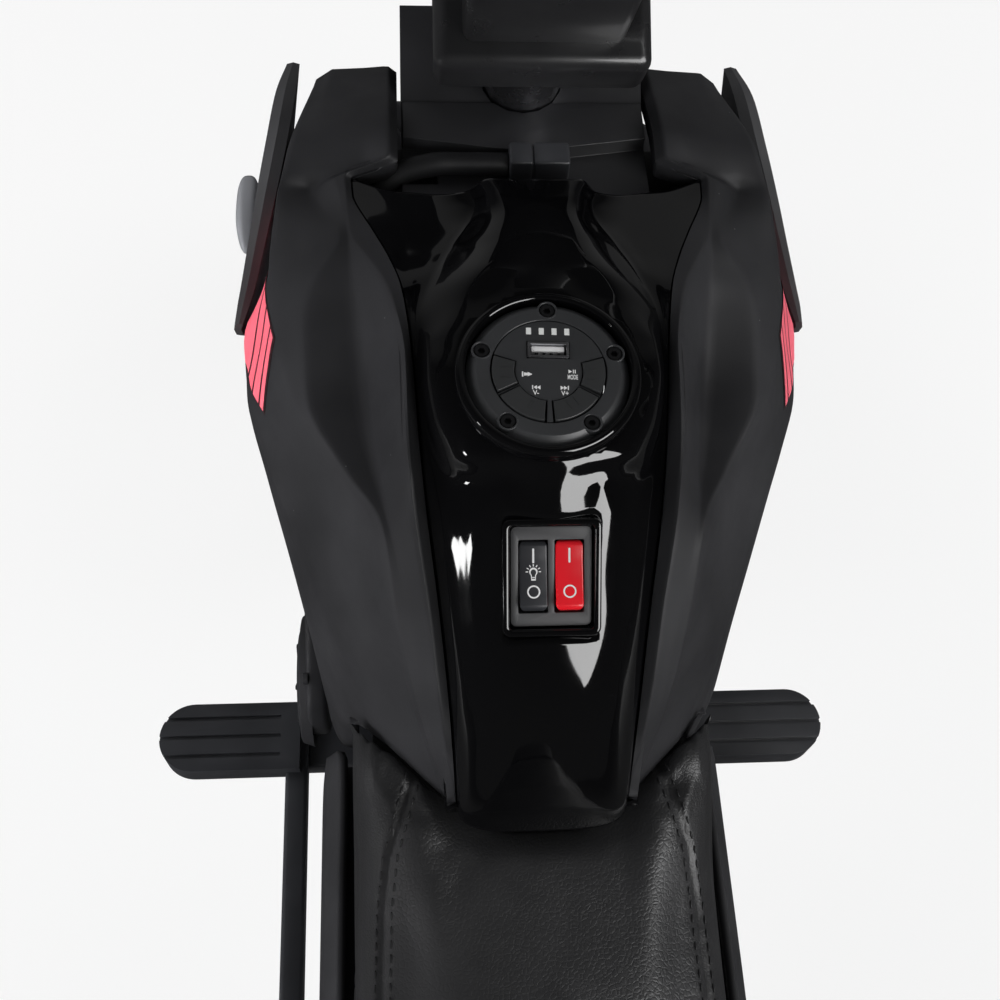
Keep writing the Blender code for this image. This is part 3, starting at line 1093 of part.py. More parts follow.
def shrouds():
    rings = [shroud_ring(section) for section in SHROUD_SECTIONS]
    spot = rail_point(TANK_LINES["flank"], SHROUD_BOSS_PLACE)
    wide = rail_point(TANK_LINES["flank"], 1.0)
    slope = (wide.x - spot.x) / (spot.y - wide.y)
    start = spot.x + SHROUD_BOSS_RADIUS * slope + FIT
    for side, word in SIDES:
        shroud = finish(f"shroud_{word}", mirrored(loft_mesh("shroud", rings, True, True), side), DARK_GREY)
        end = shroud_x(spot.y, spot.z) - SHROUD_SECTIONS[4][5] * MM / 2
        combine(shroud, mirrored(rod_mesh("boss", (start, spot.y, spot.z), (end, spot.y, spot.z),
                                          SHROUD_BOSS_RADIUS, 16), side))
        signal_pod(side, word)


def signal_pod(side, word):
    """A teardrop lamp pod on a short foot against the shroud's outer face."""
    centre = Vector((0.112, 0.2245, 0.424))
    bm = bmesh.new()
    bmesh.ops.create_uvsphere(bm, u_segments=12, v_segments=8, radius=1.0)
    for vert in bm.verts:
        rear = max(0.0, -vert.co.y)
        vert.co.x *= POD_DEPTH / 2 * (1 - 0.45 * rear)
        vert.co.z *= POD_HEIGHT / 2 * (1 - 0.45 * rear)
        vert.co.y *= POD_LENGTH / 2
    bmesh.ops.translate(bm, vec=centre, verts=bm.verts)
    pod = finish(f"signal_pod_{word}", mirrored(mesh_from(bm, "pod"), side), SILVER)
    foot_y = centre.y + 0.004
    face = max(shroud_x(foot_y - 0.004, centre.z), shroud_x(foot_y + 0.004, centre.z)) + 0.0015
    combine(pod, mirrored(rod_mesh("foot", (face, foot_y, centre.z), (centre.x, foot_y, centre.z), 0.004, 14), side))


# Side covers beside the seat: (y, top x, top z, edge x, edge z, middle x, middle z, low x, low z), in millimetres
SIDE_COVER_SECTIONS = [(7.5, 74, 361, 79.4, 350, 82, 290, 80, 250), (2, 72.7, 365.5, 79.6, 352, 82.8, 290, 80.5, 240),
                       (-14, 72.5, 366, 79.8, 352, 83, 290, 80.5, 230), (-80, 73, 366, 79.8, 353, 83, 292, 79, 232),
                       (-160, 73, 367, 78.5, 355, 82, 300, 77, 246), (-230, 70.5, 369, 74.5, 357, 76, 312, 71, 272),
                       (-262, 69, 370, 71.5, 359, 71.5, 320, 67, 292)]
SIDE_COVER_SEAT_X = 0.0768


def side_covers():
    rows = []
    for section in SIDE_COVER_SECTIONS:
        y, *values = (value * MM for value in section)
        row = [Vector((x, y, z)) for x, z in zip(values[::2], values[1::2])]
        row.insert(2, (row[1] + row[2]) / 2 + Vector((0.0012, 0, 0)))
        row.insert(4, (row[3] + row[4]) / 2 + Vector((0.0012, 0, 0)))
        rows.append(row)
    for side, word in SIDES:
        cover = finish(f"side_cover_{word}", mirrored(loft_mesh("side_cover", rows[::-1]), side), MATT_BLACK)
        thicken(cover, SKIN)


# Engine side plates, whose rounded rear end shows beside each footrest
ENGINE_OUTLINE = [(48, 258), (51, 240), (61, 224), (86, 212), (128, 205), (165, 206), (186, 222), (196, 262),
                  (199, 310), (196, 352), (182, 374), (156, 372), (128, 345), (104, 312), (80, 290), (56, 276)]


def engine_plates():
    outline = [(y * MM, z * MM) for y, z in ENGINE_OUTLINE]
    for side, word in SIDES:
        low, high = ENGINE_PLATE_X - SIDE_PLATE_THICKNESS, ENGINE_PLATE_X
        plate = finish(f"engine_cover_{word}", mirrored(plate_mesh("engine", outline, low, high, "X", 0.003),
                                                        side), MATT_BLACK)
        dome = rod_mesh("clutch", (high - 0.004, CLUTCH_Y, CLUTCH_Z), (high + CLUTCH_HEIGHT, CLUTCH_Y, CLUTCH_Z),
                        CLUTCH_RADIUS, 18, CLUTCH_RADIUS * 0.92)
        combine(plate, mirrored(dome, side))
        dish = rod_mesh("dish", (high - 0.0015, 0.148, 0.300), (high + 0.01, 0.148, 0.300), 0.027, 18)
        cut(plate, mirrored(dish, side))


# Seat: its front edge follows the rear edge of the tank covers and of the panel (x, y)
SEAT_FRONT = [(0, -33), (26, -32.6), (30, -31.5), (34, -27), (40, -21.3), (46.6, -15.3), (52.4, -8),
              (58.3, -0.5), (64.6, 6.5), (69, 9)]
SEAT_TOP = [(0, 406), (0.10, 404), (0.30, 400), (0.55, 404), (0.80, 418), (0.93, 429), (1, 430)]
SEAT_WIDTH = [(0, 1.0), (0.15, 1.0), (0.40, 1.03), (0.70, 1.0), (0.92, 0.90), (1, 0.84)]
SEAT_STEPS = 16


def seat_section(along):
    """The right half of the section, from the middle of the crown round to the middle of the base."""
    half = SEAT_HALF_WIDTH * table_value(SEAT_WIDTH, along)
    top = table_value(SEAT_TOP, along) * MM
    channel = SEAT_CHANNEL_X + (half - SEAT_HALF_WIDTH) * 0.75
    crown = [(share * channel, top - 0.0030 * share ** 2) for share in (0, 0.3, 0.6, 0.85)]
    rest = half - channel - SEAT_CHANNEL_WIDTH
    edge = channel + SEAT_CHANNEL_WIDTH
    return [*crown, (channel - SEAT_CHANNEL_WIDTH, top - 0.0028), (channel, top - 0.0030 - SEAT_CHANNEL_DEPTH),
            (edge, top - 0.0034), (edge + rest * 0.45, top - 0.0078), (edge + rest * 0.83, top - 0.0155),
            (half, top - 0.0250), (half - SEAT_DRAW_IN * 0.7, top - 0.0370), (half - SEAT_DRAW_IN, SEAT_BASE + 0.008),
            (half - SEAT_DRAW_IN - 0.003, SEAT_BASE), (0, SEAT_BASE)]


def seat_cushion():
    """A crowned cushion whose sides are drawn in, with a sewn channel along each side of its middle."""
    nose = SEAT_FRONT[0][1] * MM
    front = [(x * MM, y * MM) for x, y in SEAT_FRONT]
    rows = []
    for step in range(SEAT_STEPS + 1):
        along = (step / SEAT_STEPS) ** 1.25
        straight = nose + (SEAT_REAR_Y - nose) * along
        shaped = 1 - ease(along * 3.2)
        fall = 0.016 * ease((step - SEAT_STEPS + 1.5) / 1.5)
        rows.append([Vector((x, straight + (table_value(front, x) - SEAT_GAP - nose) * shaped,
                             max(SEAT_BASE, z - fall))) for x, z in seat_section(along)])
    cushion = finish("seat_cushion", loft_mesh("seat", rows, caps=True), LEATHER)
    mirror(cushion)


def seat_pan():
    half = SEAT_HALF_WIDTH * 0.82
    top = SEAT_BASE - FIT
    outline = [(half, -0.010), (-half, -0.010), (-half * 0.95, SEAT_REAR_Y + 0.040),
               (-half * 0.70, SEAT_REAR_Y + 0.012), (half * 0.70, SEAT_REAR_Y + 0.012),
               (half * 0.95, SEAT_REAR_Y + 0.040)]
    finish("seat_pan", plate_mesh("pan", outline, SPINE_TOP + FIT, top, "Z"), MATT_BLACK)


# Tail: a hollow cowl behind the seat (y, half width, top z, hem z), in millimetres
TAIL_SECTIONS = [(-327, 55, 425, 352), (-365, 55.5, 434, 356), (-410, 54, 439, 366), (-460, 49, 441, 384),
                 (-505, 42, 440, 402), (-545, 35, 436, 412)]
TAIL_LAMP_MARGIN = 0.003


def tail_row(place):
    y, half, top, hem = (between([row[i] for row in TAIL_SECTIONS], place) * MM for i in range(4))
    right = [(half * 0.96, hem), (half, hem + (top - hem) * 0.35), (half * 0.97, hem + (top - hem) * 0.70),
             (half * 0.80, top - 0.006), (half * 0.45, top - 0.001)]
    return [Vector((x, y, z)) for x, z in [*right, (0, top)]]


def tail():
    rows = [tail_row(place) for place in range(len(TAIL_SECTIONS))]
    y, half, top, hem = (value * MM for value in TAIL_SECTIONS[-1])
    foot = Vector((0, y, hem))
    wall = [foot + (point - foot) * 0.04 for point in rows[-1]]
    cowl = finish("tail_cover", loft_mesh("tail", [*rows, wall]), MATT_BLACK)
    mirror(cowl)
    thicken(cowl, SKIN)
    reach = TAIL_SECTIONS[2][1] * MM - SKIN / 2
    combine(cowl, box_mesh("tail_bridge", (-reach, TAIL_MOUNT_Y + 0.004, TAIL_MOUNT_Z + FIT),
                           (reach, TAIL_MOUNT_Y + 0.034, TAIL_MOUNT_Z + 0.006)))
    finish("tail_lamp", box_mesh("tail_lamp", (-TAIL_LAMP_WIDTH / 2, y - TAIL_LAMP_DEPTH, hem + TAIL_LAMP_MARGIN),
                                 (TAIL_LAMP_WIDTH / 2, y - FIT, top - 3 * TAIL_LAMP_MARGIN), 0.003), RED)


# Harness: a clip on the deck and the sleeve that runs from it under the left ridge to the control box
def harness():
    low = DECK_TOP + FIT
    left = CLAMP_X - CLAMP_WIDTH / 2
    clip = finish("harness_clamp", box_mesh("clip", (left, CLAMP_Y - CLAMP_DEPTH / 2, low),
                                            (left + CLAMP_WIDTH, CLAMP_Y + CLAMP_DEPTH / 2, low + CLAMP_HEIGHT),
                                            0.0012), DARK_GREY)
    cut(clip, box_mesh("clip_seam", (CLAMP_SEAM_X - 0.0004, CLAMP_Y - 0.02, low + CLAMP_HEIGHT - 0.0012),
                       (CLAMP_SEAM_X + 0.0004, CLAMP_Y + 0.02, low + CLAMP_HEIGHT + 0.01)))
    height = DECK_TOP + RUN + HARNESS_RADIUS
    box_top = SPINE_TOP + 2 * FIT + CONTROL_BOX_HEIGHT
    route = [(left - FIT, CLAMP_Y, height), (-0.024, CLAMP_Y, height),
             (-0.034, CLAMP_Y, height - 0.0003), (-0.0465, CLAMP_Y - 0.0005, height - 0.0050),
             (-0.0552, CLAMP_Y - 0.005, height - 0.0140), (-0.0575, 0.164, 0.477), (-0.054, 0.140, 0.450),
             (-0.038, 0.112, 0.415),
             (-0.022, 0.088, 0.394), (-0.018, 0.078, box_top + 0.009), (-0.018, 0.077, box_top)]
    finish("harness_sleeve", tube_mesh("sleeve", smooth_path(route, 2), HARNESS_RADIUS), MATT_BLACK)


def main():
    front_end()
    chassis()
    inside_pieces()
    swingarm()
    drive()
    stabilisers()
    footrests()
    tank_covers()
    console_panel()
    dial()
    switches()
    shrouds()
    side_covers()
    engine_plates()
    seat_cushion()
    seat_pan()
    tail()
    harness()


main()
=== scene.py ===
"""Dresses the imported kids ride-on motorcycle: covers, console, dial, switches, seat and running gear."""

from __future__ import annotations

import logging
import math
from dataclasses import dataclass
from enum import Enum
from typing import Callable, Sequence

import bmesh
import bpy
from mathutils import Matrix, Vector, noise
from mathutils.bvhtree import BVHTree


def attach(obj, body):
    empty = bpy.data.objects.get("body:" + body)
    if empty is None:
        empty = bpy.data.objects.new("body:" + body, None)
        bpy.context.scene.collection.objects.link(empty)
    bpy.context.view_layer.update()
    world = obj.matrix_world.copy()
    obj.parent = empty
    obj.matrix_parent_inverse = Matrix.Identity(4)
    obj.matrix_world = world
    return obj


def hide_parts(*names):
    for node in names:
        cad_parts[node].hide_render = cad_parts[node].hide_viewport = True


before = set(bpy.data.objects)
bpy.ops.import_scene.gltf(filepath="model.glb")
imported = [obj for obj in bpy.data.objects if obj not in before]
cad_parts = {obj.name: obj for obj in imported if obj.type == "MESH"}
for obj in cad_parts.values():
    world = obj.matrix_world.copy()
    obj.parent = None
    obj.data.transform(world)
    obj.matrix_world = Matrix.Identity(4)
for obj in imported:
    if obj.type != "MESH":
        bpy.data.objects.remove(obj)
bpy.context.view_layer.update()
LOG = logging.getLogger("motorcycle")
MM = 0.001
SIDES = ((1, "right"), (-1, "left"))
CORNERS = ((1, 1), (-1, 1), (-1, -1), (1, -1))

Mesh = bmesh.types.BMesh
Thing = bpy.types.Object
Tree = bpy.types.NodeTree
Node = bpy.types.Node
Socket = bpy.types.NodeSocket
Flat = list[tuple[float, float]]
Line = list[tuple[float, float, float]]
Table = tuple[tuple[float, ...], ...]


# Finishes

def feed(tree: Tree, node: Node, inputs: dict[str | int, object]) -> Node:
    """Gives a node's inputs their values, or links them to other nodes' sockets.

    Args:
        tree: The tree that holds the node.
        node: The node.
        inputs: A value or a socket for each input, by its name or its place.

    Returns:
        The same node.
    """
    for key, value in inputs.items():
        if isinstance(value, Socket):
            tree.links.new(value, node.inputs[key])
        else:
            node.inputs[key].default_value = value
    return node


def add_node(tree: Tree, kind: str, inputs: dict[str | int, object], **options: str) -> Node:
    """Adds a shader node.

    Args:
        tree: The tree to add it to.
        kind: Its type, without the ShaderNode in front.
        inputs: A value or a socket for each input.
        options: Its own options, such as its operation.

    Returns:
        The node.
    """
    node = tree.nodes.new(f"ShaderNode{kind}")
    for name, value in options.items():
        setattr(node, name, value)
    return feed(tree, node, inputs)


class Surface(Enum):
    """The kinds of surface that the object's finishes have."""

    GRAIN = "fine moulded grain"
    GLOSS = "polished plastic"
    LEATHER = "pebbled leatherette"
    RUBBER = "moulded rubber"
    METAL = "drawn or plated metal"
    CLEAR = "clear plastic"
    INK = "printed ink"
    LIT = "small indicator window"


@dataclass(frozen=True)
class Finish:
    """One finish: its colour and how rough, bumpy and worn it is.

    The colour goes lighter and darker by tint in soft clouds. The relief has grains of a size in millimetres
    and a depth in millimetres. Dust is how much of a pale speck's colour shows.
    """

    name: str
    slot: str
    colour: tuple[float, float, float]
    roughness: float
    surface: Surface
    metallic: float = 0.0
    coat: float = 0.0
    grain: float = 0.6
    depth: float = 0.02
    tint: float = 0.25
    dust: float = 0.0
    matt: float = 0.0

    CLOUDS = 22
    PATCHES = 70
    SPECKS = 95
    SPECK_COLOUR = (0.30, 0.30, 0.30, 1)
    DRAWN = (0.06, 1, 1)

    def material(self) -> bpy.types.Material:
        """Finds or builds the node material.

        Returns:
            The material, shared by every piece in this finish.
        """
        made = bpy.data.materials.get(self.name)
        if made is None:
            made = bpy.data.materials.new(self.name)
            made.use_nodes = True
            self.dress(made.node_tree)
        return made

    def dress(self, tree: Tree) -> None:
        """Fills a node tree with this finish.

        Args:
            tree: The material's tree, with its Principled shader.
        """
        place = add_node(tree, "TexCoord", {}).outputs["Object"]
        cloud = self.noise(tree, place, self.CLOUDS, 3)
        colour = self.ramp(tree, cloud.outputs["Fac"], self.shade(1 - self.tint), self.shade(1 + self.tint))
        if self.dust:
            colour = self.specks(tree, place, colour)
        spread = 0.10 * self.roughness + 0.01
        rough = self.span(tree, self.noise(tree, place, self.PATCHES, 4).outputs["Fac"],
                          self.roughness - spread, self.roughness + spread)
        bump = add_node(tree, "Bump", {"Strength": 0.6, "Distance": self.depth * MM,
                                       "Height": self.height(tree, place)})
        shader = feed(tree, tree.nodes["Principled BSDF"], {
            "Metallic": self.metallic, "Coat Weight": self.coat, "Coat Roughness": 0.04,
            "Specular IOR Level": 0.5 * (1 - self.matt), "Base Color": colour, "Roughness": rough,
            "Normal": bump.outputs["Normal"]})
        if self.surface is Surface.CLEAR:
            feed(tree, shader, {"Transmission Weight": 0.85})
        if self.surface is Surface.LIT:
            feed(tree, shader, {"Emission Color": (*self.colour, 1), "Emission Strength": 0.25})

    def shade(self, share: float) -> tuple[float, float, float, float]:
        """Gives the colour made lighter or darker by a share."""
        return (*(min(1.0, part * share) for part in self.colour), 1.0)

    def height(self, tree: Tree, place: Socket) -> Socket:
        """Builds the surface's relief.

        Args:
            tree: The tree to add nodes to.
            place: The socket of the coordinates.

        Returns:
            The socket of the height.
        """
        scale = 1 / (self.grain * MM)
        if self.surface is Surface.LEATHER:
            wander = self.noise(tree, place, scale * 0.35, 3).outputs["Color"]
            shifted = add_node(tree, "VectorMath", {0: wander, 1: (0.9 * self.grain * MM,) * 3, 2: place},
                               operation="MULTIPLY_ADD")
            cells = add_node(tree, "TexVoronoi", {"Scale": scale * 0.5, "Vector": shifted.outputs["Vector"]},
                             feature="DISTANCE_TO_EDGE")
            return self.span(tree, cells.outputs["Distance"], 0, 1, 0.0, 0.22)
        if self.surface is Surface.METAL:
            drawn = add_node(tree, "Mapping", {"Scale": self.DRAWN, "Vector": place})
            return self.noise(tree, drawn.outputs["Vector"], scale, 3).outputs["Fac"]
        return self.noise(tree, place, scale, 4).outputs["Fac"]

    def specks(self, tree: Tree, place: Socket, colour: Socket) -> Socket:
        """Scatters a few specks of pale dust over a colour.

        Args:
            tree: The tree to add nodes to.
            place: The socket of the coordinates.
            colour: The socket of the clean colour.

        Returns:
            The socket of the dusty colour.
        """
        cells = add_node(tree, "TexVoronoi", {"Scale": self.SPECKS, "Vector": place})
        speck = self.span(tree, cells.outputs["Distance"], self.dust, 0, 0.012, 0.03)
        mix = add_node(tree, "Mix", {"Factor": speck, "A": colour, "B": self.SPECK_COLOUR}, data_type="RGBA")
        return mix.outputs["Result"]

    @staticmethod
    def noise(tree: Tree, place: Socket, scale: float, detail: float) -> Node:
        """Adds a noise texture read at a place, with a scale in cells in a metre."""
        return add_node(tree, "TexNoise", {"Scale": scale, "Detail": detail, "Vector": place})

    @staticmethod
    def ramp(tree: Tree, factor: Socket, low: tuple[float, ...], high: tuple[float, ...]) -> Socket:
        """Blends two colours by a factor.

        Args:
            tree: The tree to add the node to.
            factor: The socket that blends.
            low: The colour at low values.
            high: The colour at high values.

        Returns:
            The socket of the colour.
        """
        made = add_node(tree, "ValToRGB", {"Fac": factor})
        for stop, position, colour in zip(made.color_ramp.elements, (0.3, 0.7), (low, high)):
            stop.position = position
            stop.color = colour
        return made.outputs["Color"]

    @staticmethod
    def span(tree: Tree, value: Socket, low: float, high: float, start: float = 0.3,
             end: float = 0.7) -> Socket:
        """Maps a value from between start and end to between low and high, and keeps it there."""
        made = add_node(tree, "MapRange", {"From Min": start, "From Max": end, "To Min": low, "To Max": high,
                                           "Value": value})
        return made.outputs["Result"]


COVER = Finish("cover_plastic", "matt_black_plastic", (0.021, 0.021, 0.023), 0.54, Surface.GRAIN,
               grain=0.45, depth=0.012, dust=0.5, matt=0.55)
SLEEVE = Finish("sleeve_plastic", "matt_black_plastic", (0.006, 0.006, 0.007), 0.55, Surface.GRAIN,
                depth=0.01)
MATT = Finish("matt_plastic", "matt_black_plastic", (0.016, 0.016, 0.018), 0.55, Surface.GRAIN, depth=0.015)
GLOSS = Finish("console_gloss", "gloss_black_plastic", (0.0015, 0.0015, 0.0018), 0.05, Surface.GLOSS,
               coat=0.3, grain=9, depth=0.008, tint=0.1)
SATIN = Finish("dial_plastic", "dark_grey_plastic", (0.030, 0.031, 0.033), 0.38, Surface.GRAIN, grain=0.3,
               depth=0.006)
BUTTON = Finish("button_plastic", "dark_grey_plastic", (0.026, 0.027, 0.028), 0.42, Surface.GRAIN, grain=0.3,
                depth=0.006)
BEZEL = Finish("bezel_plastic", "dark_grey_plastic", (0.060, 0.060, 0.063), 0.45, Surface.GRAIN, grain=0.3,
               depth=0.012)
ROCKER = Finish("rocker_plastic", "dark_grey_plastic", (0.024, 0.025, 0.029), 0.34, Surface.GRAIN, grain=0.3,
                depth=0.004)
RED = Finish("red_rocker_plastic", "red_plastic", (0.78, 0.008, 0.018), 0.25, Surface.GLOSS, coat=0.2,
             tint=0.06, grain=2, depth=0.004)
FRAME_PLASTIC = Finish("frame_plastic", "dark_grey_plastic", (0.018, 0.018, 0.020), 0.48, Surface.GRAIN,
                       depth=0.02)
SHELL = Finish("shroud_plastic", "dark_grey_plastic", (0.055, 0.055, 0.058), 0.50, Surface.GRAIN, depth=0.02,
               matt=0.6)
PEG = Finish("footrest_plastic", "dark_grey_plastic", (0.030, 0.031, 0.035), 0.42, Surface.GRAIN, depth=0.02)
SILVER = Finish("silver_paint", "satin_silver_plastic", (0.42, 0.43, 0.46), 0.34, Surface.GLOSS, metallic=0.5,
                coat=0.2, tint=0.05, grain=0.5, depth=0.003)
STEEL = Finish("plated_metal", "plated_steel", (0.48, 0.48, 0.50), 0.26, Surface.METAL, metallic=1.0,
               tint=0.05, grain=0.4, depth=0.004)
TUBE = Finish("painted_tube", "painted_steel", (0.014, 0.014, 0.015), 0.30, Surface.GLOSS, coat=0.3, grain=3,
              depth=0.01)
SCREW = Finish("blackened_screw", "painted_steel", (0.012, 0.012, 0.013), 0.32, Surface.METAL, metallic=0.4,
               grain=0.4, depth=0.004)
TYRE = Finish("tyre_rubber_black", "tyre_rubber", (0.013, 0.013, 0.013), 0.72, Surface.RUBBER, grain=0.9,
              depth=0.03)
LEATHER = Finish("seat_leather", "black_leatherette", (0.019, 0.019, 0.020), 0.42, Surface.LEATHER,
                 grain=0.9, depth=0.10)
LEATHER_SIDE = Finish("seat_side_leather", "black_leatherette", (0.015, 0.015, 0.016), 0.42, Surface.LEATHER,
                      grain=0.7, depth=0.07)
THREAD = Finish("black_thread", "black_leatherette", (0.008, 0.008, 0.009), 0.60, Surface.RUBBER, grain=0.3,
                depth=0.03)
LENS = Finish("clear_lamp_lens", "clear_lens", (0.85, 0.88, 0.92), 0.06, Surface.CLEAR, tint=0.03, grain=4,
              depth=0.01)
RED_LENS = Finish("red_lamp_lens", "red_plastic", (0.55, 0.01, 0.015), 0.12, Surface.GLOSS, coat=0.5,
                  tint=0.08, grain=4, depth=0.01)
NYLON = Finish("white_nylon_gear", "white_nylon", (0.78, 0.76, 0.70), 0.42, Surface.GRAIN, tint=0.04)
INK = Finish("white_ink", "dark_grey_plastic", (0.80, 0.80, 0.80), 0.40, Surface.INK, tint=0.04, depth=0.002)
STRIPE = Finish("stripe_film", "red_plastic", (0.80, 0.13, 0.18), 0.36, Surface.INK, tint=0.06, grain=1.2,
                depth=0.003)
STRIPE_EDGE = Finish("stripe_dark_line", "matt_black_plastic", (0.030, 0.012, 0.014), 0.45, Surface.INK,
                     depth=0.002)
WINDOW = Finish("indicator_window", "dark_grey_plastic", (0.55, 0.56, 0.55), 0.30, Surface.LIT, tint=0.03)
# Near-black painted shade: sheets set behind openings and under panels, where only shade falls.
PAINTED_SHADE = Finish("shadowed_recess", "dark_grey_plastic", (0.004, 0.004, 0.004), 0.60, Surface.GRAIN)


# Making pieces

def mesh_of(bm: Mesh, name: str) -> bpy.types.Mesh:
    """Keeps a mesh as mesh data, and uses the mesh up."""
    data = bpy.data.meshes.new(name)
    bm.to_mesh(data)
    bm.free()
    return data


def placed(name: str, data: bpy.types.ID) -> Thing:
    """Puts a mesh or a curve in the scene as an object."""
    thing = bpy.data.objects.new(name, data)
    bpy.context.scene.collection.objects.link(thing)
    return thing


def evaluated(holder: Thing) -> Mesh:
    """Reads an object's mesh as its modifiers or its bevel leave it."""
    bpy.context.view_layer.update()
    seen = holder.evaluated_get(bpy.context.evaluated_depsgraph_get())
    bm = bmesh.new()
    bm.from_mesh(seen.to_mesh())
    seen.to_mesh_clear()
    return bm

def add_piece(name: str, bm: Mesh, finish: Finish, body: str, nodes: Sequence[str] = (), *,
              matrix: Matrix | None = None, sharp: float = 35.0, wall: float = 0.0,
              others: Sequence[Finish] = ()) -> Thing:
    """Turns a mesh into a piece at the origin that rides on a body.

    Args:
        name: The piece's name.
        bm: Its mesh, used up here.
        finish: Its finish.
        body: The body that it rides on.
        nodes: The CAD nodes that it stands for.
        matrix: Where the mesh goes, if it isn't in place yet.
        sharp: The angle in degrees past which an edge looks sharp.
        wall: The thickness of an open skin, grown inwards.
        others: Finishes for its further material slots.

    Returns:
        The piece.
    """
    if matrix is not None:
        bmesh.ops.transform(bm, matrix=matrix, verts=bm.verts)
    mesh = mesh_of(bm, name)
    mesh.shade_smooth()
    mesh.set_sharp_from_angle(angle=math.radians(sharp))
    for each in (finish, *others):
        mesh.materials.append(each.material())
    piece = placed(name, mesh)
    if wall:
        thickness = piece.modifiers.new("Wall", "SOLIDIFY")
        thickness.thickness = wall
        thickness.offset = -1.0
    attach(piece, body)
    if nodes:
        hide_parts(*nodes)
    LOG.info("%s: %d faces on %s", name, len(mesh.polygons), body)
    return piece


def join(*parts: Mesh) -> Mesh:
    """Puts several meshes in one.

    Args:
        parts: The meshes, used up here.

    Returns:
        The mesh that holds them all.
    """
    whole = bmesh.new()
    for part in parts:
        scratch = mesh_of(part, "scratch")
        whole.from_mesh(scratch)
        bpy.data.meshes.remove(scratch)
    return whole


def at(x: float, y: float, z: float = 0.0) -> Matrix:
    """Gives the place of a point in metres."""
    return Matrix.Translation((x, y, z))


def moved(bm: Mesh, matrix: Matrix) -> Mesh:
    """Moves a mesh and gives it back."""
    bmesh.ops.transform(bm, matrix=matrix, verts=bm.verts)
    return bm


def closed(bm: Mesh) -> Mesh:
    """Merges the points that meet and turns the faces outwards."""
    bmesh.ops.remove_doubles(bm, verts=bm.verts, dist=1e-6)
    bmesh.ops.recalc_face_normals(bm, faces=bm.faces)
    return bm


def bevelled(bm: Mesh, edges: Sequence[bmesh.types.BMEdge], radius: float, segments: int) -> Mesh:
    """Rounds some edges of a mesh.

    Args:
        bm: The mesh.
        edges: Its edges that are rounded.
        radius: The radius of the rounding.
        segments: Steps round each edge.

    Returns:
        The same mesh.
    """
    bmesh.ops.bevel(bm, geom=edges, offset=radius, segments=segments, profile=0.5, affect="EDGES",
                    material=-1, clamp_overlap=True)
    return bm


def mirrored(bm: Mesh, side: int) -> Mesh:
    """Gives a right-hand mesh, or its mirror image for the left.

    Args:
        bm: The right-hand mesh.
        side: 1 for the right, -1 for the left.

    Returns:
        The same mesh, mirrored where the side asks for it.
    """
    if side < 0:
        bmesh.ops.scale(bm, vec=(-1, 1, 1), verts=bm.verts)
        bmesh.ops.reverse_faces(bm, faces=bm.faces)
    return bm


def block(low: Sequence[float], high: Sequence[float], bevel: float = 0.0, segments: int = 3) -> Mesh:
    """Makes a box between two corners, with rounded edges.

    Args:
        low: Its lowest corner.
        high: Its highest corner.
        bevel: The radius of its edges.
        segments: Steps round each edge.

    Returns:
        The mesh.
    """
    bm = bmesh.new()
    bmesh.ops.create_cube(bm, size=1.0)
    bmesh.ops.scale(bm, vec=Vector(high) - Vector(low), verts=bm.verts)
    bmesh.ops.translate(bm, vec=(Vector(low) + Vector(high)) / 2, verts=bm.verts)
    if bevel:
        bevelled(bm, bm.edges[:], bevel, segments)
    return bm


def turned(profile: Flat, steps: int = 48, close: bool = False) -> Mesh:
    """Spins a profile of (radius, height) about Z.

    Args:
        profile: Its points in millimetres.
        steps: Steps in the turn.
        close: Whether the last point joins the first, as round a ring.

    Returns:
        The mesh, with its faces pointing out.
    """
    bm = bmesh.new()
    verts = [bm.verts.new((radius * MM, 0, height * MM)) for radius, height in profile]
    edges = [bm.edges.new(pair) for pair in zip(verts, verts[1:])]
    if close:
        edges.append(bm.edges.new((verts[-1], verts[0])))
    bmesh.ops.spin(bm, geom=verts + edges, cent=(0, 0, 0), axis=(0, 0, 1), angle=math.tau, steps=steps,
                   use_merge=True, use_duplicate=False)
    return closed(bm)


def rounded(profile: Flat, radius: float, steps: int = 3) -> Flat:
    """Rounds the inner corners of an open profile.

    Args:
        profile: Its points.
        radius: The radius of the corners.
        steps: Steps round each.

    Returns:
        The points of the rounded profile.
    """
    path = [profile[0]]
    for before, corner, after in zip(profile, profile[1:], profile[2:]):
        here = Vector(corner)
        back, ahead = Vector(before) - here, Vector(after) - here
        reach = min(radius, back.length * 0.45, ahead.length * 0.45)
        start, end = here + back.normalized() * reach, here + ahead.normalized() * reach
        for i in range(steps + 1):
            t = i / steps
            point = start * (1 - t) ** 2 + here * 2 * t * (1 - t) + end * t * t
            path.append((point.x, point.y))
    return [*path, profile[-1]]


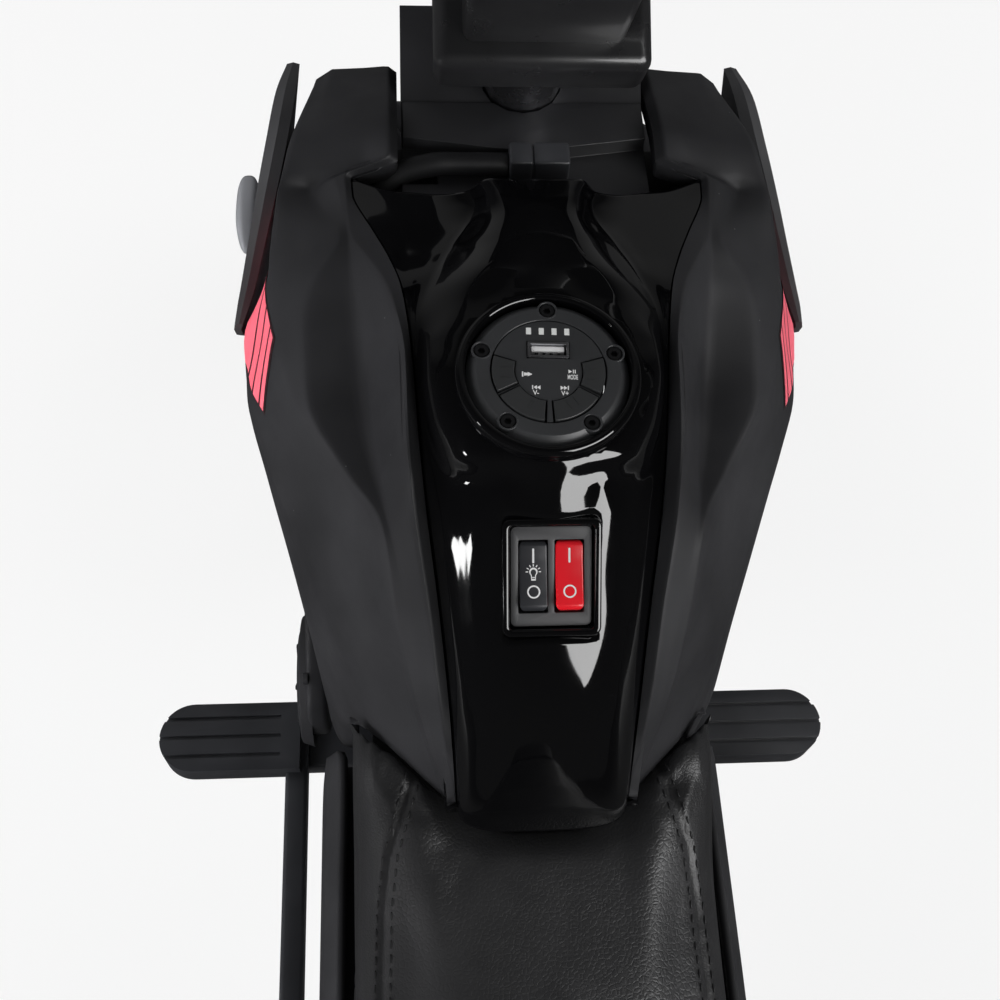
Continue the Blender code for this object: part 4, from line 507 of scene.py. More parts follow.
def plate(outline: Flat, low: float, high: float, bevel: float = 0.0, holes: Sequence[Flat] = (),
          segments: int = 2) -> Mesh:
    """Fills a flat outline, gives it a thickness along Z and rounds its rims.

    Args:
        outline: The outer corners.
        low: Its lowest height.
        high: Its highest height.
        bevel: The radius of its rims.
        holes: Outlines of the openings in it.
        segments: Steps round each rim.

    Returns:
        The mesh.
    """
    bm = bmesh.new()
    edges = []
    for loop in (outline, *holes):
        verts = [bm.verts.new((x, y, low)) for x, y in loop]
        edges += [bm.edges.new((a, b)) for a, b in zip(verts, [*verts[1:], verts[0]])]
    bmesh.ops.triangle_fill(bm, use_beauty=True, use_dissolve=False, edges=edges, normal=(0, 0, 1))
    grown = bmesh.ops.extrude_face_region(bm, geom=bm.faces[:])["geom"]
    top = [part for part in grown if isinstance(part, bmesh.types.BMVert)]
    bmesh.ops.translate(bm, vec=(0, 0, high - low), verts=top)
    bmesh.ops.recalc_face_normals(bm, faces=bm.faces)
    bmesh.ops.dissolve_limit(bm, angle_limit=0.001, verts=bm.verts, edges=bm.edges)
    if bevel:
        rims = [edge for edge in bm.edges if edge.is_manifold and edge.calc_face_angle(0) > 1.2
                and abs(edge.verts[0].co.z - edge.verts[1].co.z) < 1e-7]
        bevelled(bm, rims, bevel, segments)
    return bm


def metres(outline: Sequence[tuple[float, float]], x: float = 0.0, y: float = 0.0) -> Flat:
    """Gives an outline in metres, moved from its place in millimetres."""
    return [((x + a) * MM, (y + b) * MM) for a, b in outline]


def polar(radius: float, turn: float) -> tuple[float, float]:
    """Gives the point at a radius and a turn."""
    return radius * math.cos(turn), radius * math.sin(turn)


def bolt_head(radius: float, foot: float, height: float, steps: int = 20, edge: float = 0.5) -> Mesh:
    """Turns the rounded head of a bolt that stands on the origin, from its sizes in millimetres."""
    return turned(rounded([(0, height), (radius, height), (foot, 0)], edge), steps)


def disc(x: float, y: float, radius: float, steps: int = 24) -> Flat:
    """Gives the outline of a circle."""
    turns = [math.tau * i / steps for i in range(steps)]
    return [(x + radius * math.cos(turn), y + radius * math.sin(turn)) for turn in turns]


def tube(name: str, path: Sequence[Vector], radius: float, sides: int = 6) -> Mesh:
    """Makes a round tube along a path from a bevelled curve.

    Args:
        name: A name for the curve while it exists.
        path: The points that it runs through.
        radius: Its radius.
        sides: Steps in a quarter turn.

    Returns:
        The mesh, with closed ends.
    """
    curve = bpy.data.curves.new(name, "CURVE")
    curve.dimensions = "3D"
    curve.bevel_depth = radius
    curve.bevel_resolution = sides
    curve.use_fill_caps = True
    spline = curve.splines.new("POLY")
    spline.points.add(len(path) - 1)
    for point, place in zip(spline.points, path):
        point.co = (*place, 1.0)
    holder = placed(name, curve)
    bm = evaluated(holder)
    bpy.data.objects.remove(holder, do_unlink=True)
    return closed(bm)


def between(values: Sequence[float], place: float) -> float:
    """Reads a curve that never overshoots the values it runs through.

    Args:
        values: One value at each whole place.
        place: Where to read.

    Returns:
        The value there.
    """
    index = min(int(place), len(values) - 2)
    t = place - index
    steps = [b - a for a, b in zip(values, values[1:])]

    def slope(i: int) -> float:
        """Gives the slope at a value: none at a turn, and a mean of both sides elsewhere."""
        if i in (0, len(values) - 1):
            return steps[0] if i == 0 else steps[-1]
        before, after = steps[i - 1], steps[i]
        return 0.0 if before * after <= 0 else 2 * before * after / (before + after)

    low, high = values[index], values[index + 1]
    return (low * (1 + 2 * t) * (1 - t) ** 2 + slope(index) * t * (1 - t) ** 2
            + high * t * t * (3 - 2 * t) + slope(index + 1) * t * t * (t - 1))


def read_line(line: Sequence[Sequence[float]], place: float) -> Vector:
    """Reads a line of points at a place, in metres."""
    return Vector([between([point[i] for point in line], place) for i in range(3)]) * MM


def smooth_path(points: Sequence[Sequence[float]], steps: int) -> list[Vector]:
    """Runs a smooth curve through points.

    Args:
        points: The points that it passes.
        steps: Steps from each to the next.

    Returns:
        Points along the curve.
    """
    given = [Vector(point) for point in points]
    padded = [2 * given[0] - given[1], *given, 2 * given[-1] - given[-2]]
    path = []
    for a, b, c, d in zip(padded, padded[1:], padded[2:], padded[3:]):
        for step in range(steps):
            t = step / steps
            path.append(0.5 * (2 * b + (c - a) * t + (2 * a - 5 * b + 4 * c - d) * t * t
                               + (3 * b - a - 3 * c + d) * t ** 3))
    return [*path, given[-1]]


def softened(bm: Mesh, verts: Sequence[bmesh.types.BMVert]) -> None:
    """Smooths some points of a mesh once."""
    bmesh.ops.smooth_vert(bm, verts=verts, factor=0.5, use_axis_x=True, use_axis_y=True, use_axis_z=True)


def skin(lines: Sequence[Sequence[Sequence[float]]], fine_across: int, fine_along: int, outward: Vector,
         curved: bool = False, softening: int = 0) -> Mesh:
    """Lays a grid over a set of lines.

    Args:
        lines: The lines side by side, each with the same number of stations, in millimetres.
        fine_across: Faces between one line and the next.
        fine_along: Faces between one station and the next.
        outward: A direction that the faces point along on the whole.
        curved: Whether the surface is curved across the lines or creased at them.
        softening: Passes of smoothing that round the creases.

    Returns:
        The open skin.
    """
    bm = bmesh.new()
    across, along = len(lines) - 1, len(lines[0]) - 1
    bmesh.ops.create_grid(bm, x_segments=across * fine_across, y_segments=along * fine_along, size=0.5)
    at_across, at_along = bm.verts.layers.float.new("across"), bm.verts.layers.float.new("along")
    rows: dict[float, list[Vector]] = {}
    for vert in bm.verts:
        u = min(max((vert.co.x + 0.5) * across, 0.0), across)
        v = round(min(max((vert.co.y + 0.5) * along, 0.0), along), 5)
        vert[at_across], vert[at_along] = u, v
        if v not in rows:
            rows[v] = [read_line(line, v) for line in lines]
        row = rows[v]
        if curved:
            vert.co = [between([point[i] for point in row], u) for i in range(3)]
        else:
            index = min(int(u), across - 1)
            vert.co = row[index].lerp(row[index + 1], u - index)
    inner = [vert for vert in bm.verts if not vert.is_boundary]
    for _ in range(softening):
        softened(bm, inner)
    bm.normal_update()
    if sum(face.normal.dot(outward) * face.calc_area() for face in bm.faces) < 0:
        bmesh.ops.reverse_faces(bm, faces=bm.faces)
    return bm


def node_copy(node: str, bevel: float = 0.0005) -> Mesh:
    """Copies a CAD node's mesh, merges it and rounds its edges.

    Args:
        node: The node's name.
        bevel: The radius of its edges.

    Returns:
        The merged copy.
    """
    bm = bmesh.new()
    bm.from_mesh(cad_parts[node].data)
    bmesh.ops.remove_doubles(bm, verts=bm.verts, dist=2e-6)
    bmesh.ops.dissolve_limit(bm, angle_limit=math.radians(0.6), verts=bm.verts, edges=bm.edges)
    if bevel:
        hard = [edge for edge in bm.edges if edge.is_manifold and edge.calc_face_angle(0) > math.radians(33)]
        bevelled(bm, hard, bevel, 2)
    return bm


def carved(bm: Mesh, cutters: Sequence[Mesh]) -> Mesh:
    """Cuts closed meshes out of a closed mesh.

    Args:
        bm: The mesh that is cut, used up here.
        cutters: The meshes taken away from it, used up here.

    Returns:
        What is left.
    """
    holders = [placed("carving", mesh_of(part, "carving")) for part in (bm, *cutters)]
    for cutter in holders[1:]:
        step = holders[0].modifiers.new("Cut", "BOOLEAN")
        step.operation = "DIFFERENCE"
        step.solver = "EXACT"
        step.object = cutter
    left = evaluated(holders[0])
    for holder in holders:
        mesh = holder.data
        bpy.data.objects.remove(holder, do_unlink=True)
        bpy.data.meshes.remove(mesh)
    return left


def rim_edges(bm: Mesh, axis: str, value: float) -> list[bmesh.types.BMEdge]:
    """Finds the border edges of a skin along one of its sides.

    Args:
        bm: A skin with its grid coordinates in layers.
        axis: The layer, "across" or "along".
        value: The coordinate of the side.

    Returns:
        The edges.
    """
    layer = bm.verts.layers.float[axis]
    return [edge for edge in bm.edges if edge.is_boundary
            and all(abs(vert[layer] - value) < 1e-4 for vert in edge.verts)]


def fold(bm: Mesh, edges: Sequence[bmesh.types.BMEdge], step: Callable[[Vector], Vector]) -> Mesh:
    """Turns a border of a skin over into a lip.

    Args:
        bm: The skin.
        edges: The border's edges.
        step: Gives each new point from the point that it grew from.

    Returns:
        The skin.
    """
    grown = bmesh.ops.extrude_edge_only(bm, edges=edges)["geom"]
    for vert in grown:
        if isinstance(vert, bmesh.types.BMVert):
            vert.co = step(vert.co.copy())
    return bm


# Places: the turned steering, the dial, the switches, the handlebar and the ways that shapes stand

FRONT_AXLE = (0, 0.400, 0.145)
REAR_AXLE = (0, -0.330, 0.145)
STEERING = at(*FRONT_AXLE) @ Matrix.Rotation(math.radians(26), 4, "X")
DIAL = (at(0, 0.083, 0.520) @ Matrix.Rotation(math.radians(3), 4, "X")
        @ Matrix.Rotation(math.radians(-2), 4, "Z"))
SWITCH = at(0, 0.0242, 0.4903) @ Matrix.Rotation(math.radians(35), 4, "X")
BAR = STEERING @ at(0, 0, 0.505) @ Matrix.Rotation(math.radians(-26), 4, "X")
ALONG_X = Matrix(((0, 0, 1, 0), (1, 0, 0, 0), (0, 1, 0, 0), (0, 0, 0, 1)))
SPUN_X = Matrix.Rotation(math.pi / 2, 4, "Y")


# Body covers

@dataclass
class TankCover:
    """One matt half of the tank cover, with its soft facets and its striped film."""

    side: int
    word: str
    wall: float = 3 * MM
    lip: float = 7 * MM
    film_rise: float = 0.0004
    line_rise: float = 0.0002

    SEAM = [(47, 235, 496), (47, 195, 507), (47, 182, 506), (64, 177, 502), (63.4, 168.5, 502.6),
            (55.8, 150, 505.5), (50.8, 138, 507.3), (46.5, 124, 508.5), (43.2, 98, 505), (41.4, 72, 496.5),
            (39, 48, 485), (35.2, 20, 466), (32.4, -5, 447), (30.2, -29.5, 420)]
    RIDGE = [(50, 235, 499), (50, 195, 510), (50, 182, 509), (66, 177, 504), (65.6, 169, 503.6),
             (63.8, 152.5, 503), (57.5, 138, 505.5), (51.5, 125, 507.5), (45.8, 98, 509.3), (45.3, 72, 503.5),
             (43.2, 48, 491.5), (38.6, 20, 471), (35.4, -5, 450), (31.5, -27.5, 417)]
    GROOVE = [(58, 235, 498), (59, 195, 508), (60, 182, 503.5), (70, 177, 502.5), (68, 168.5, 502.6),
              (65, 152, 502.3), (63.5, 138, 498), (62.3, 125, 490.5), (59.6, 98, 478.3), (56.1, 72, 476.8),
              (52, 49, 483), (45, 20, 466.5), (40, -5, 444), (32.5, -26, 413)]
    FACET = [(72, 235, 497), (76, 195, 505), (79, 182, 500.5), (79, 177, 495.5), (75.5, 168, 497.5),
             (68, 150.5, 501.8), (77, 138, 495.5), (80.7, 125, 489.4), (79.5, 98, 479.8), (66.5, 72, 476),
             (54, 48, 482.5), (49, 20, 463), (42, -5, 440), (33, -25.5, 411)]
    SHOULDER = [(78, 235, 492), (86, 195, 503.5), (89, 182, 500), (90.5, 176, 498), (91.8, 168, 494.6),
                (94, 152, 486.5), (93.6, 140, 482.5), (92, 127, 479.5), (84.5, 99, 475), (69.5, 72.5, 472.5),
                (57, 48.5, 478.5), (50.5, 20, 459.5), (42.3, -5, 436.5), (33.5, -25, 410.5)]
    CREASE = [(79, 235, 480), (86.5, 195, 492), (89.2, 182, 488), (90.6, 176, 486), (92, 168.5, 483.4),
              (94.4, 153, 477), (101.5, 141, 465), (103.5, 123, 452), (94.5, 98, 452), (80.5, 73, 448),
              (67, 49.5, 455), (53, 21, 454), (43, -4, 432), (34, -24.5, 409)]
    FLANK = [(79.5, 235, 465), (86.5, 195, 475), (89, 182, 472), (90.4, 176, 470), (91.7, 168.5, 468.8),
             (94, 153, 466), (104.8, 141, 459), (104.8, 120, 448), (98, 96.5, 441), (88, 71, 431),
             (78.5, 47, 428), (67, 21.5, 422), (58, 4, 415), (52.4, -6.8, 410.4)]
    WAIST = [(79.5, 235, 450), (86, 195, 452), (88.5, 182, 450), (90, 176, 449), (91.2, 168.5, 448.4),
             (93.5, 153, 447), (106.2, 141, 451), (104.5, 118, 442), (98.5, 95, 428), (91, 70, 410),
             (84, 46, 387), (77.5, 24, 371), (71, 14, 378), (66.3, 10.8, 388.5)]
    HEM = [(78, 230, 432), (84, 195, 424), (86, 182, 420), (88, 176, 417), (89.4, 168.5, 415.8),
           (92, 153, 413), (101, 141, 411), (98.5, 118, 403), (93.5, 95, 391), (87.5, 70, 373), (82, 46, 355),
           (77.5, 24, 341), (72.5, 14, 346), (68, 10.5, 353)]

    def surface(self) -> Mesh:
        """Lays the cover's outer skin, with its seam lip and its closed nose, on the right."""
        lines = [self.SEAM, self.RIDGE, self.GROOVE, self.FACET, self.SHOULDER, self.CREASE, self.FLANK,
                 self.WAIST, self.HEM]
        bm = skin(lines, 8, 8, Vector((1, 0, 0.4)), softening=3)
        along = bm.verts.layers.float["along"]
        fold(bm, rim_edges(bm, "across", 0), lambda point: point + Vector(
            (0.0002, 0, -self.lip * min(1.0, max(0.12, (point.y + 0.028) / 0.03)))))
        nose = Vector((0.0705, 0.235, 0.471))
        fold(bm, rim_edges(bm, "along", 0), lambda point: nose + (point - nose) * 0.9
             + Vector((0, 0.004, -0.001)))
        for vert in bm.verts:
            vert[along] = vert[along] if vert.co.y < 0.2355 else -1.0
        fold(bm, rim_edges(bm, "along", -1), lambda point: nose + (point - nose) * 0.35
             + Vector((0, 0.006, -0.003)))
        return bm

    def patch(self, cover: BVHTree, corners: Flat, rise: float) -> Mesh:
        """Lays a flat piece of film on the flank.

        Args:
            cover: The right-hand cover's surface.
            corners: Its corners as (forward, height) in millimetres.
            rise: How far it stands out.

        Returns:
            The piece.
        """
        bm = bmesh.new()
        bmesh.ops.create_grid(bm, x_segments=40, y_segments=8, size=0.5)
        a, b, c, d = (Vector(corner) * MM for corner in corners)
        for vert in bm.verts:
            t, s = vert.co.x + 0.5, vert.co.y + 0.5
            flat = a.lerp(b, t).lerp(d.lerp(c, t), s)
            hit, normal, _, _ = cover.ray_cast(Vector((0.16, flat.x, flat.y)), Vector((-1, 0, 0)))
            vert.co = hit + normal.normalized() * rise if hit else Vector((0.09, flat.x, flat.y))
        return bm

    def stripes(self, cover: BVHTree) -> None:
        """Lays the striped film and its dark lines on the flank.

        Args:
            cover: The right-hand cover's surface.
        """
        ground = [(186.0, 481.8), (124.0, 478.5), (106.6, 455.3), (118.0, 452.6), (126.0, 451.8),
                  (186.0, 458.2)]
        lines = [[ground[i] for i in corners] for corners in ((0, 1, 4, 5), (1, 2, 3, 4))]
        bands = [[(186.0, 481.0), (145.5, 480.0), (126.0, 452.6), (186.0, 459.0)],
                 [(144.5, 480.0), (137.9, 479.0), (117.7, 453.6), (124.3, 453.0)],
                 [(136.5, 478.9), (129.8, 478.1), (111.6, 454.9), (116.4, 453.8)],
                 [(128.6, 478.0), (124.9, 477.7), (107.8, 455.6), (110.4, 455.1)]]
        for name, finish, patches, rise in (("stripe_film", STRIPE, bands, self.film_rise),
                                            ("stripe_lines", STRIPE_EDGE, lines, self.line_rise)):
            bm = join(*(self.patch(cover, corners, rise) for corners in patches))
            bm.normal_update()
            if sum(face.normal.x for face in bm.faces) < 0:
                bmesh.ops.reverse_faces(bm, faces=bm.faces)
            add_piece(f"{name}_{self.word}", mirrored(bm, self.side), finish, "frame", sharp=60)

    def build(self) -> None:
        """Builds the cover and its film."""
        bm = self.surface()
        tree = BVHTree.FromBMesh(bm)
        add_piece(f"tank_cover_{self.word}_skin", mirrored(bm, self.side), COVER, "frame",
                  [f"tank_cover_{self.word}"], wall=self.wall, sharp=40)
        self.stripes(tree)


@dataclass
class ConsolePanel:
    """The high-gloss panel in the middle, with its ears, the collar round the dial and the switch frame."""

    seam_gap: float = 0.6
    lip: float = 8 * MM
    flange: float = 4 * MM
    wall: float = 2.4 * MM
    collar_inner: float = 26.7
    collar_outer: float = 29.8
    slope_foot: float = -0.9 * MM
    frame_x: float = 13.6
    frame_y: float = 16.8
    frame_wall: float = 2.3
    stations: tuple[float, ...] = (3, 4, 5, 6, 7, 7.5, 8, 8.5, 9, 9.5, 10, 11, 12, 12.75, 13)

    CENTRE = [(0, 160, 521.5), (0, 154, 521.9), (0, 147, 522.3), (0, 136, 522.5), (0, 124, 521.8),
              (0, 112, 521), (0, 99, 520), (0, 86, 519.6), (0, 71, 518.6), (0, 56.5, 516.4), (0, 46, 507.2),
              (0, 19, 486.5), (0, -7, 466.5), (0, -36, 425), (0, -39.3, 416.5)]
    TOP = [(15.5, 161.5, 520), (12.2, 154.5, 520.9), (10.8, 147, 521.4), (12.3, 134.5, 522.3),
           (16.6, 123.5, 522.4), (25.5, 110.5, 518.5), (34, 98.5, 515.6), (36.8, 87, 513.6),
           (33.6, 73.0, 511.0), (24, 58.5, 510.6), (14, 48.0, 506.6), (12, 19.2, 485.4),
           (11, -6.8, 465.4), (11, -35.8, 424.6), (11, -39.1, 416.3)]
    FOOT = [(24, 165.3, 508.6), (22.9, 160, 507.9), (24.5, 152.5, 506.8), (30.5, 141.5, 507.2),
            (36.2, 128.5, 508.3), (40.4, 113.5, 508.4), (41.3, 99.5, 506.8), (40.4, 87.5, 506.0),
            (38.0, 74, 503.6), (32.0, 60.5, 502.4), (23, 47.5, 501.0), (21.5, 19.5, 481.6), (20, -6.5, 461.6),
            (20, -35.2, 424), (20, -38.3, 416.2)]
    DIP = [(36.5, 169.2, 503), (35.6, 162, 503.8), (35, 152, 505), (37.5, 140.2, 506.5), (40, 127, 508.2),
           (42, 112.7, 507.8), (42.2, 99, 506.2), (41.1, 86.8, 504.4), (38.7, 73.2, 500.4), (34.6, 60.8, 497),
           (29.5, 48, 495.2), (27.5, 19.8, 476.4), (25.6, -6, 456.8), (26.2, -33.4, 423.4),
           (26.4, -36.2, 416.6)]
    CREST = [(50, 170.8, 502.8), (49, 165, 503.5), (45.6, 151, 505.1), (44.4, 139, 506.6),
             (43.4, 125.3, 508.4), (43.4, 112, 507.8), (42.7, 98.6, 505.8), (41.7, 86, 502.8),
             (40.2, 72.5, 498.4), (37.7, 60.2, 493.8),
             (34.8, 47.9, 490.2), (31.8, 19.9, 471.4), (29.6, -5.4, 452), (29.4, -30.4, 422.5),
             (29.4, -32.8, 417.8)]

    def edge(self) -> Line:
        """Gives the right-hand edge, which follows the tank cover's seam."""
        points = [read_line(TankCover.SEAM, place) / MM for place in self.stations]
        return [(point.x - self.seam_gap, point.y, point.z) for point in points]

    def covered(self, point: Vector) -> bool:
        """Says whether a point of the panel lies under the dial or under the switches."""
        at_dial, at_switch = DIAL.inverted() @ point, SWITCH.inverted() @ point
        if at_dial.xy.length < (self.collar_outer - 1.2) * MM:
            return True
        half_x, half_y = (half + self.frame_wall - 1.0 for half in (self.frame_x, self.frame_y))
        return abs(at_switch.x) < half_x * MM and abs(at_switch.y) < half_y * MM

    def surface(self) -> Mesh:
        """Lays the panel's skin over both halves, open under the dial and under the switches."""
        right = [self.TOP, self.FOOT, self.DIP, self.CREST, self.edge()]
        left = [[(-x, y, z) for x, y, z in line] for line in reversed(right)]
        bm = skin([*left, self.CENTRE, *right], 8, 8, Vector((0, 0, 1)), curved=True)
        under = [face for face in bm.faces if self.covered(face.calc_center_median())]
        bmesh.ops.delete(bm, geom=under, context="FACES")
        into_dial = DIAL.inverted()
        for vert in bm.verts:
            at_dial = into_dial @ vert.co
            if at_dial.xy.length < (self.collar_outer + 0.2) * MM and at_dial.z > self.slope_foot:
                vert.co = DIAL @ Vector((at_dial.x, at_dial.y, self.slope_foot))
        for value, side in ((0, -1), (10, 1)):
            fold(bm, rim_edges(bm, "across", value), lambda point: point + Vector((0, 0, -self.lip)))
            outer = [edge for edge in rim_edges(bm, "across", value)
                     if all(vert.co.x * side > 0 for vert in edge.verts)]
            fold(bm, outer, lambda point: point + Vector((side * self.flange, 0, -0.0006)))
        return bm

    def collar(self) -> Mesh:
        """Turns the raised gloss collar that stands round the dial."""
        inner, outer = self.collar_inner, self.collar_outer
        profile = rounded([(inner, -7.5), (inner, -0.3), (inner + 0.7, 0.4), (outer - 1.0, 0.4),
                           (outer + 0.1, -0.8), (outer + 0.5, -3.5), (outer + 0.5, -9)], 1.0, 5)
        return moved(turned([*profile, (inner, -9)], 96, close=True), DIAL)

    def switch_frame(self) -> Mesh:
        """Makes the rounded frame round the switches."""
        x, y, wall = self.frame_x, self.frame_y, self.frame_wall
        bm = plate(metres(rounded_box(x + wall, y + wall, 2.8)), -8.2 * MM, 1.2 * MM, 0.9 * MM,
                   [metres(rounded_box(x, y, 1.4))], 4)
        return moved(bm, SWITCH)

    def build(self) -> None:
        """Builds the panel and its raised rims."""
        add_piece("console_panel_skin", self.surface(), GLOSS, "frame", ["console_panel"], wall=self.wall,
                  sharp=50)
        add_piece("dial_collar", self.collar(), GLOSS, "frame", sharp=40)
        add_piece("switch_frame", self.switch_frame(), GLOSS, "frame", sharp=40)
        # Painted shade: a near-black sheet under the switches, seen through the gaps round the bezel.
        floor = plate(rectangle(14, 17.2), -22 * MM, -20 * MM)
        add_piece("switch_well_shade", moved(floor, SWITCH), PAINTED_SHADE, "frame")


def rectangle(half_x: float, half_y: float, x: float = 0.0, y: float = 0.0) -> Flat:
    """Gives the outline of a rectangle in metres, from its sizes and its middle in millimetres."""
    return [((x + a * half_x) * MM, (y + b * half_y) * MM) for a, b in CORNERS]


def rounded_box(half_x: float, half_y: float, radius: float, steps: int = 6) -> Flat:
    """Gives the outline of a rectangle with round corners.

    Args:
        half_x: Half its width.
        half_y: Half its height.
        radius: The radius of its corners.
        steps: Steps round each corner.

    Returns:
        Its points.
    """
    outline = []
    for quarter, (x, y) in enumerate(CORNERS):
        for i in range(steps + 1):
            a, b = polar(radius, math.pi / 2 * (quarter + i / steps))
            outline.append((x * (half_x - radius) + a, y * (half_y - radius) + b))
    return outline


# Dial

@dataclass(frozen=True)
class DialButton:
    """One button of the dial: its sector and the body that it is."""

    body: str
    node: str
    start: float
    end: float
    marks: tuple[float, ...]


class IconShape(Enum):
    """The white signs printed on the dial."""

    HORN = "horn"
    PLAY = "play and pause"
    BACK = "skip back"
    NEXT = "skip on"


@dataclass
class ControlDial:
    """The round control face: chamfered ring, screws, four buttons, indicator windows and a USB port."""

    ring_radius: float = 26.4
    chamfer: float = 3.2
    ring_inner: float = 18.75
    face_radius: float = 18.35
    button_inner: float = 11.0
    button_margin: float = 1.1
    depth: float = 7.2
    screw_circle: float = 22.5
    window_places: tuple[float, ...] = (-6.2, -2.07, 2.07, 6.2)
    window_y: float = 14.6
    usb_y: float = 7.6
    contacts: tuple[float, ...] = (-3.6, -1.2, 1.2, 3.6)
    buttons: tuple[DialButton, ...] = (
        DialButton("horn", "horn_button", 163, 207, (-1.8, 1.8)),
        DialButton("mode", "mode_button", -27, 17, (-1.8, 1.8)),
        DialButton("volume_down", "volume_down_button", 210, 265.7, (1.5,)),
        DialButton("volume_up", "volume_up_button", 274.3, 330, (-1.5, 1.2)))

    def screw_places(self) -> list[Matrix]:
        """Gives the place of each screw on the dial."""
        turns = [math.radians(90 + 72 * i) for i in range(5)]
        return [at(*(value * MM for value in polar(self.screw_circle, turn))) for turn in turns]

    def ring(self) -> None:
        """Builds the ring with a raised round seat at each screw."""
        inner, outer, depth = self.ring_inner, self.ring_radius, self.depth
        profile = rounded([(inner, -depth), (inner, 0), (outer - self.chamfer, 0),
                           (outer, -self.chamfer * 1.05), (outer, -depth)], 0.35, 3)
        bm = turned(profile, 128, close=True)
        cutters = [moved(turned([(0, 1), (2.75, 1), (2.75, -2.6), (0, -2.6)], 40), place)
                   for place in self.screw_places()]
        lip = rounded([(2.7, -2.6), (2.7, 0.12), (3.35, 0.05), (3.5, -2.8)], 0.25, 3)
        lips = [moved(turned(lip, 40), place) for place in self.screw_places()]
        add_piece("dial_ring", join(carved(bm, cutters), *lips), SATIN, "frame", ["control_ring"],
                  matrix=DIAL, sharp=30)

    def screws(self) -> None:
        """Builds the five socket screws."""
        for index, place in enumerate(self.screw_places()):
            head = plate(metres(disc(0, 0, 2.3, 40)), -2.5 * MM, -0.35 * MM, 0.35 * MM,
                         [metres(disc(0, 0, 1.25, 6))], 3)
            floor = plate(metres(disc(0, 0, 1.5, 24)), -2.4 * MM, -1.9 * MM)
            shank = turned([(0, -2.4), (1.2, -2.4), (1.2, -6.9), (0, -6.9)], 24)
            add_piece(f"dial_screw_{index + 1}", join(head, floor, shank), SCREW, "frame",
                      [f"ring_screw_{index + 1}"], matrix=DIAL @ place)

    def face_outline(self) -> Flat:
        """Gives the face's outline in metres, drawn in round each button."""
        outline = []
        rising = sorted(self.buttons, key=lambda button: button.start)
        for button, after in zip(rising, [*rising[1:], rising[0]]):
            start, end = button.start - self.button_margin, button.end + self.button_margin
            outline += [polar(self.button_inner - 0.3, math.radians(start + (end - start) * i / 16))
                        for i in range(17)]
            start, end = end, after.start - self.button_margin + (360 if after is rising[0] else 0)
            steps = max(2, int((end - start) / 3))
            outline += [polar(self.face_radius, math.radians(start + (end - start) * i / steps))
                        for i in range(steps + 1)]
        return metres(outline)

    def face(self) -> None:
        """Builds the face with its windows and the port's opening."""
        openings = [rectangle(6.95, 3.15, 0, self.usb_y),
                    *(rectangle(0.84, 1.27, x, self.window_y) for x in self.window_places)]
        top = plate(self.face_outline(), -self.depth * MM, -0.2 * MM, 0.16 * MM, openings, 2)
        add_piece("dial_face", top, SATIN, "frame", ["control_face"], matrix=DIAL, sharp=30)
        lights = [small_block((x, self.window_y, -0.91), (0.83, 1.26, 0.69), 0.1) for x in self.window_places]
        add_piece("dial_windows", join(*lights), WINDOW, "frame", matrix=DIAL)
        # Painted shade: a near-black disc under the face, seen through the windows and the port opening.
        floor = turned([(0, -7.0), (18.6, -7.0), (18.6, -7.25), (0, -7.25)], 48)
        add_piece("dial_floor_shade", floor, PAINTED_SHADE, "frame", matrix=DIAL)

    def port(self) -> None:
        """Builds the USB port: a plated sleeve with a white tongue."""
        shell = plate(metres(rounded_box(6.7, 2.9, 0.5, 3), 0, self.usb_y), -self.depth * MM, 0.35 * MM,
                      0.15 * MM, [metres(rounded_box(5.8, 2.05, 0.25, 3), 0, self.usb_y)])
        add_piece("usb_shell", shell, STEEL, "frame", ["usb_port"], matrix=DIAL)
        tongue = small_block((0, self.usb_y + 0.75, -3.05), (5.3, 0.95, 2.35), 0.2)
        add_piece("usb_tongue", tongue, INK, "frame", matrix=DIAL)
        contacts = [small_block((x, self.usb_y - 0.375, -2.9), (0.5, 0.175, 1.7), 0.05)
                    for x in self.contacts]
        add_piece("usb_contacts", join(*contacts), STEEL, "frame", matrix=DIAL)
        # Painted shade: a near-black sheet at the bottom of the port.
        floor = small_block((0, self.usb_y, -5.65), (5.8, 2.1, 0.35))
        add_piece("usb_floor_shade", floor, PAINTED_SHADE, "frame", matrix=DIAL)

    def button_outline(self, button: DialButton) -> Flat:
        """Gives a button's outline with small round corners.

        Args:
            button: The button.

        Returns:
            Its points in metres.
        """
        outline = []
        outer, inner = self.face_radius - 0.15, self.button_inner + 0.05
        for radius, turns in ((outer, range(25)), (inner, range(24, -1, -1))):
            trim = math.degrees(0.35 / radius)
            span = button.end - button.start - 2 * trim
            outline += [polar(radius, math.radians(button.start + trim + span * i / 24)) for i in turns]
        return metres(outline)

    def keys(self) -> None:
        """Builds the four buttons, each with its moulded lines."""
        for button in self.buttons:
            middle = Matrix.Rotation(math.radians((button.start + button.end) / 2), 4, "Z")
            low, high = Vector((12.0, -0.15, 0.30)) * MM, Vector((15.6, 0.15, 0.55)) * MM
            lines = [moved(block(low, high, 0.08 * MM, 2), middle @ at(0, mark * MM))
                     for mark in button.marks]
            cap = plate(self.button_outline(button), -5.7 * MM, 0.4 * MM, 0.45 * MM, segments=4)
            add_piece(f"{button.node}_cap", join(cap, *lines), BUTTON, button.body, [button.node],
                      matrix=DIAL, sharp=30)

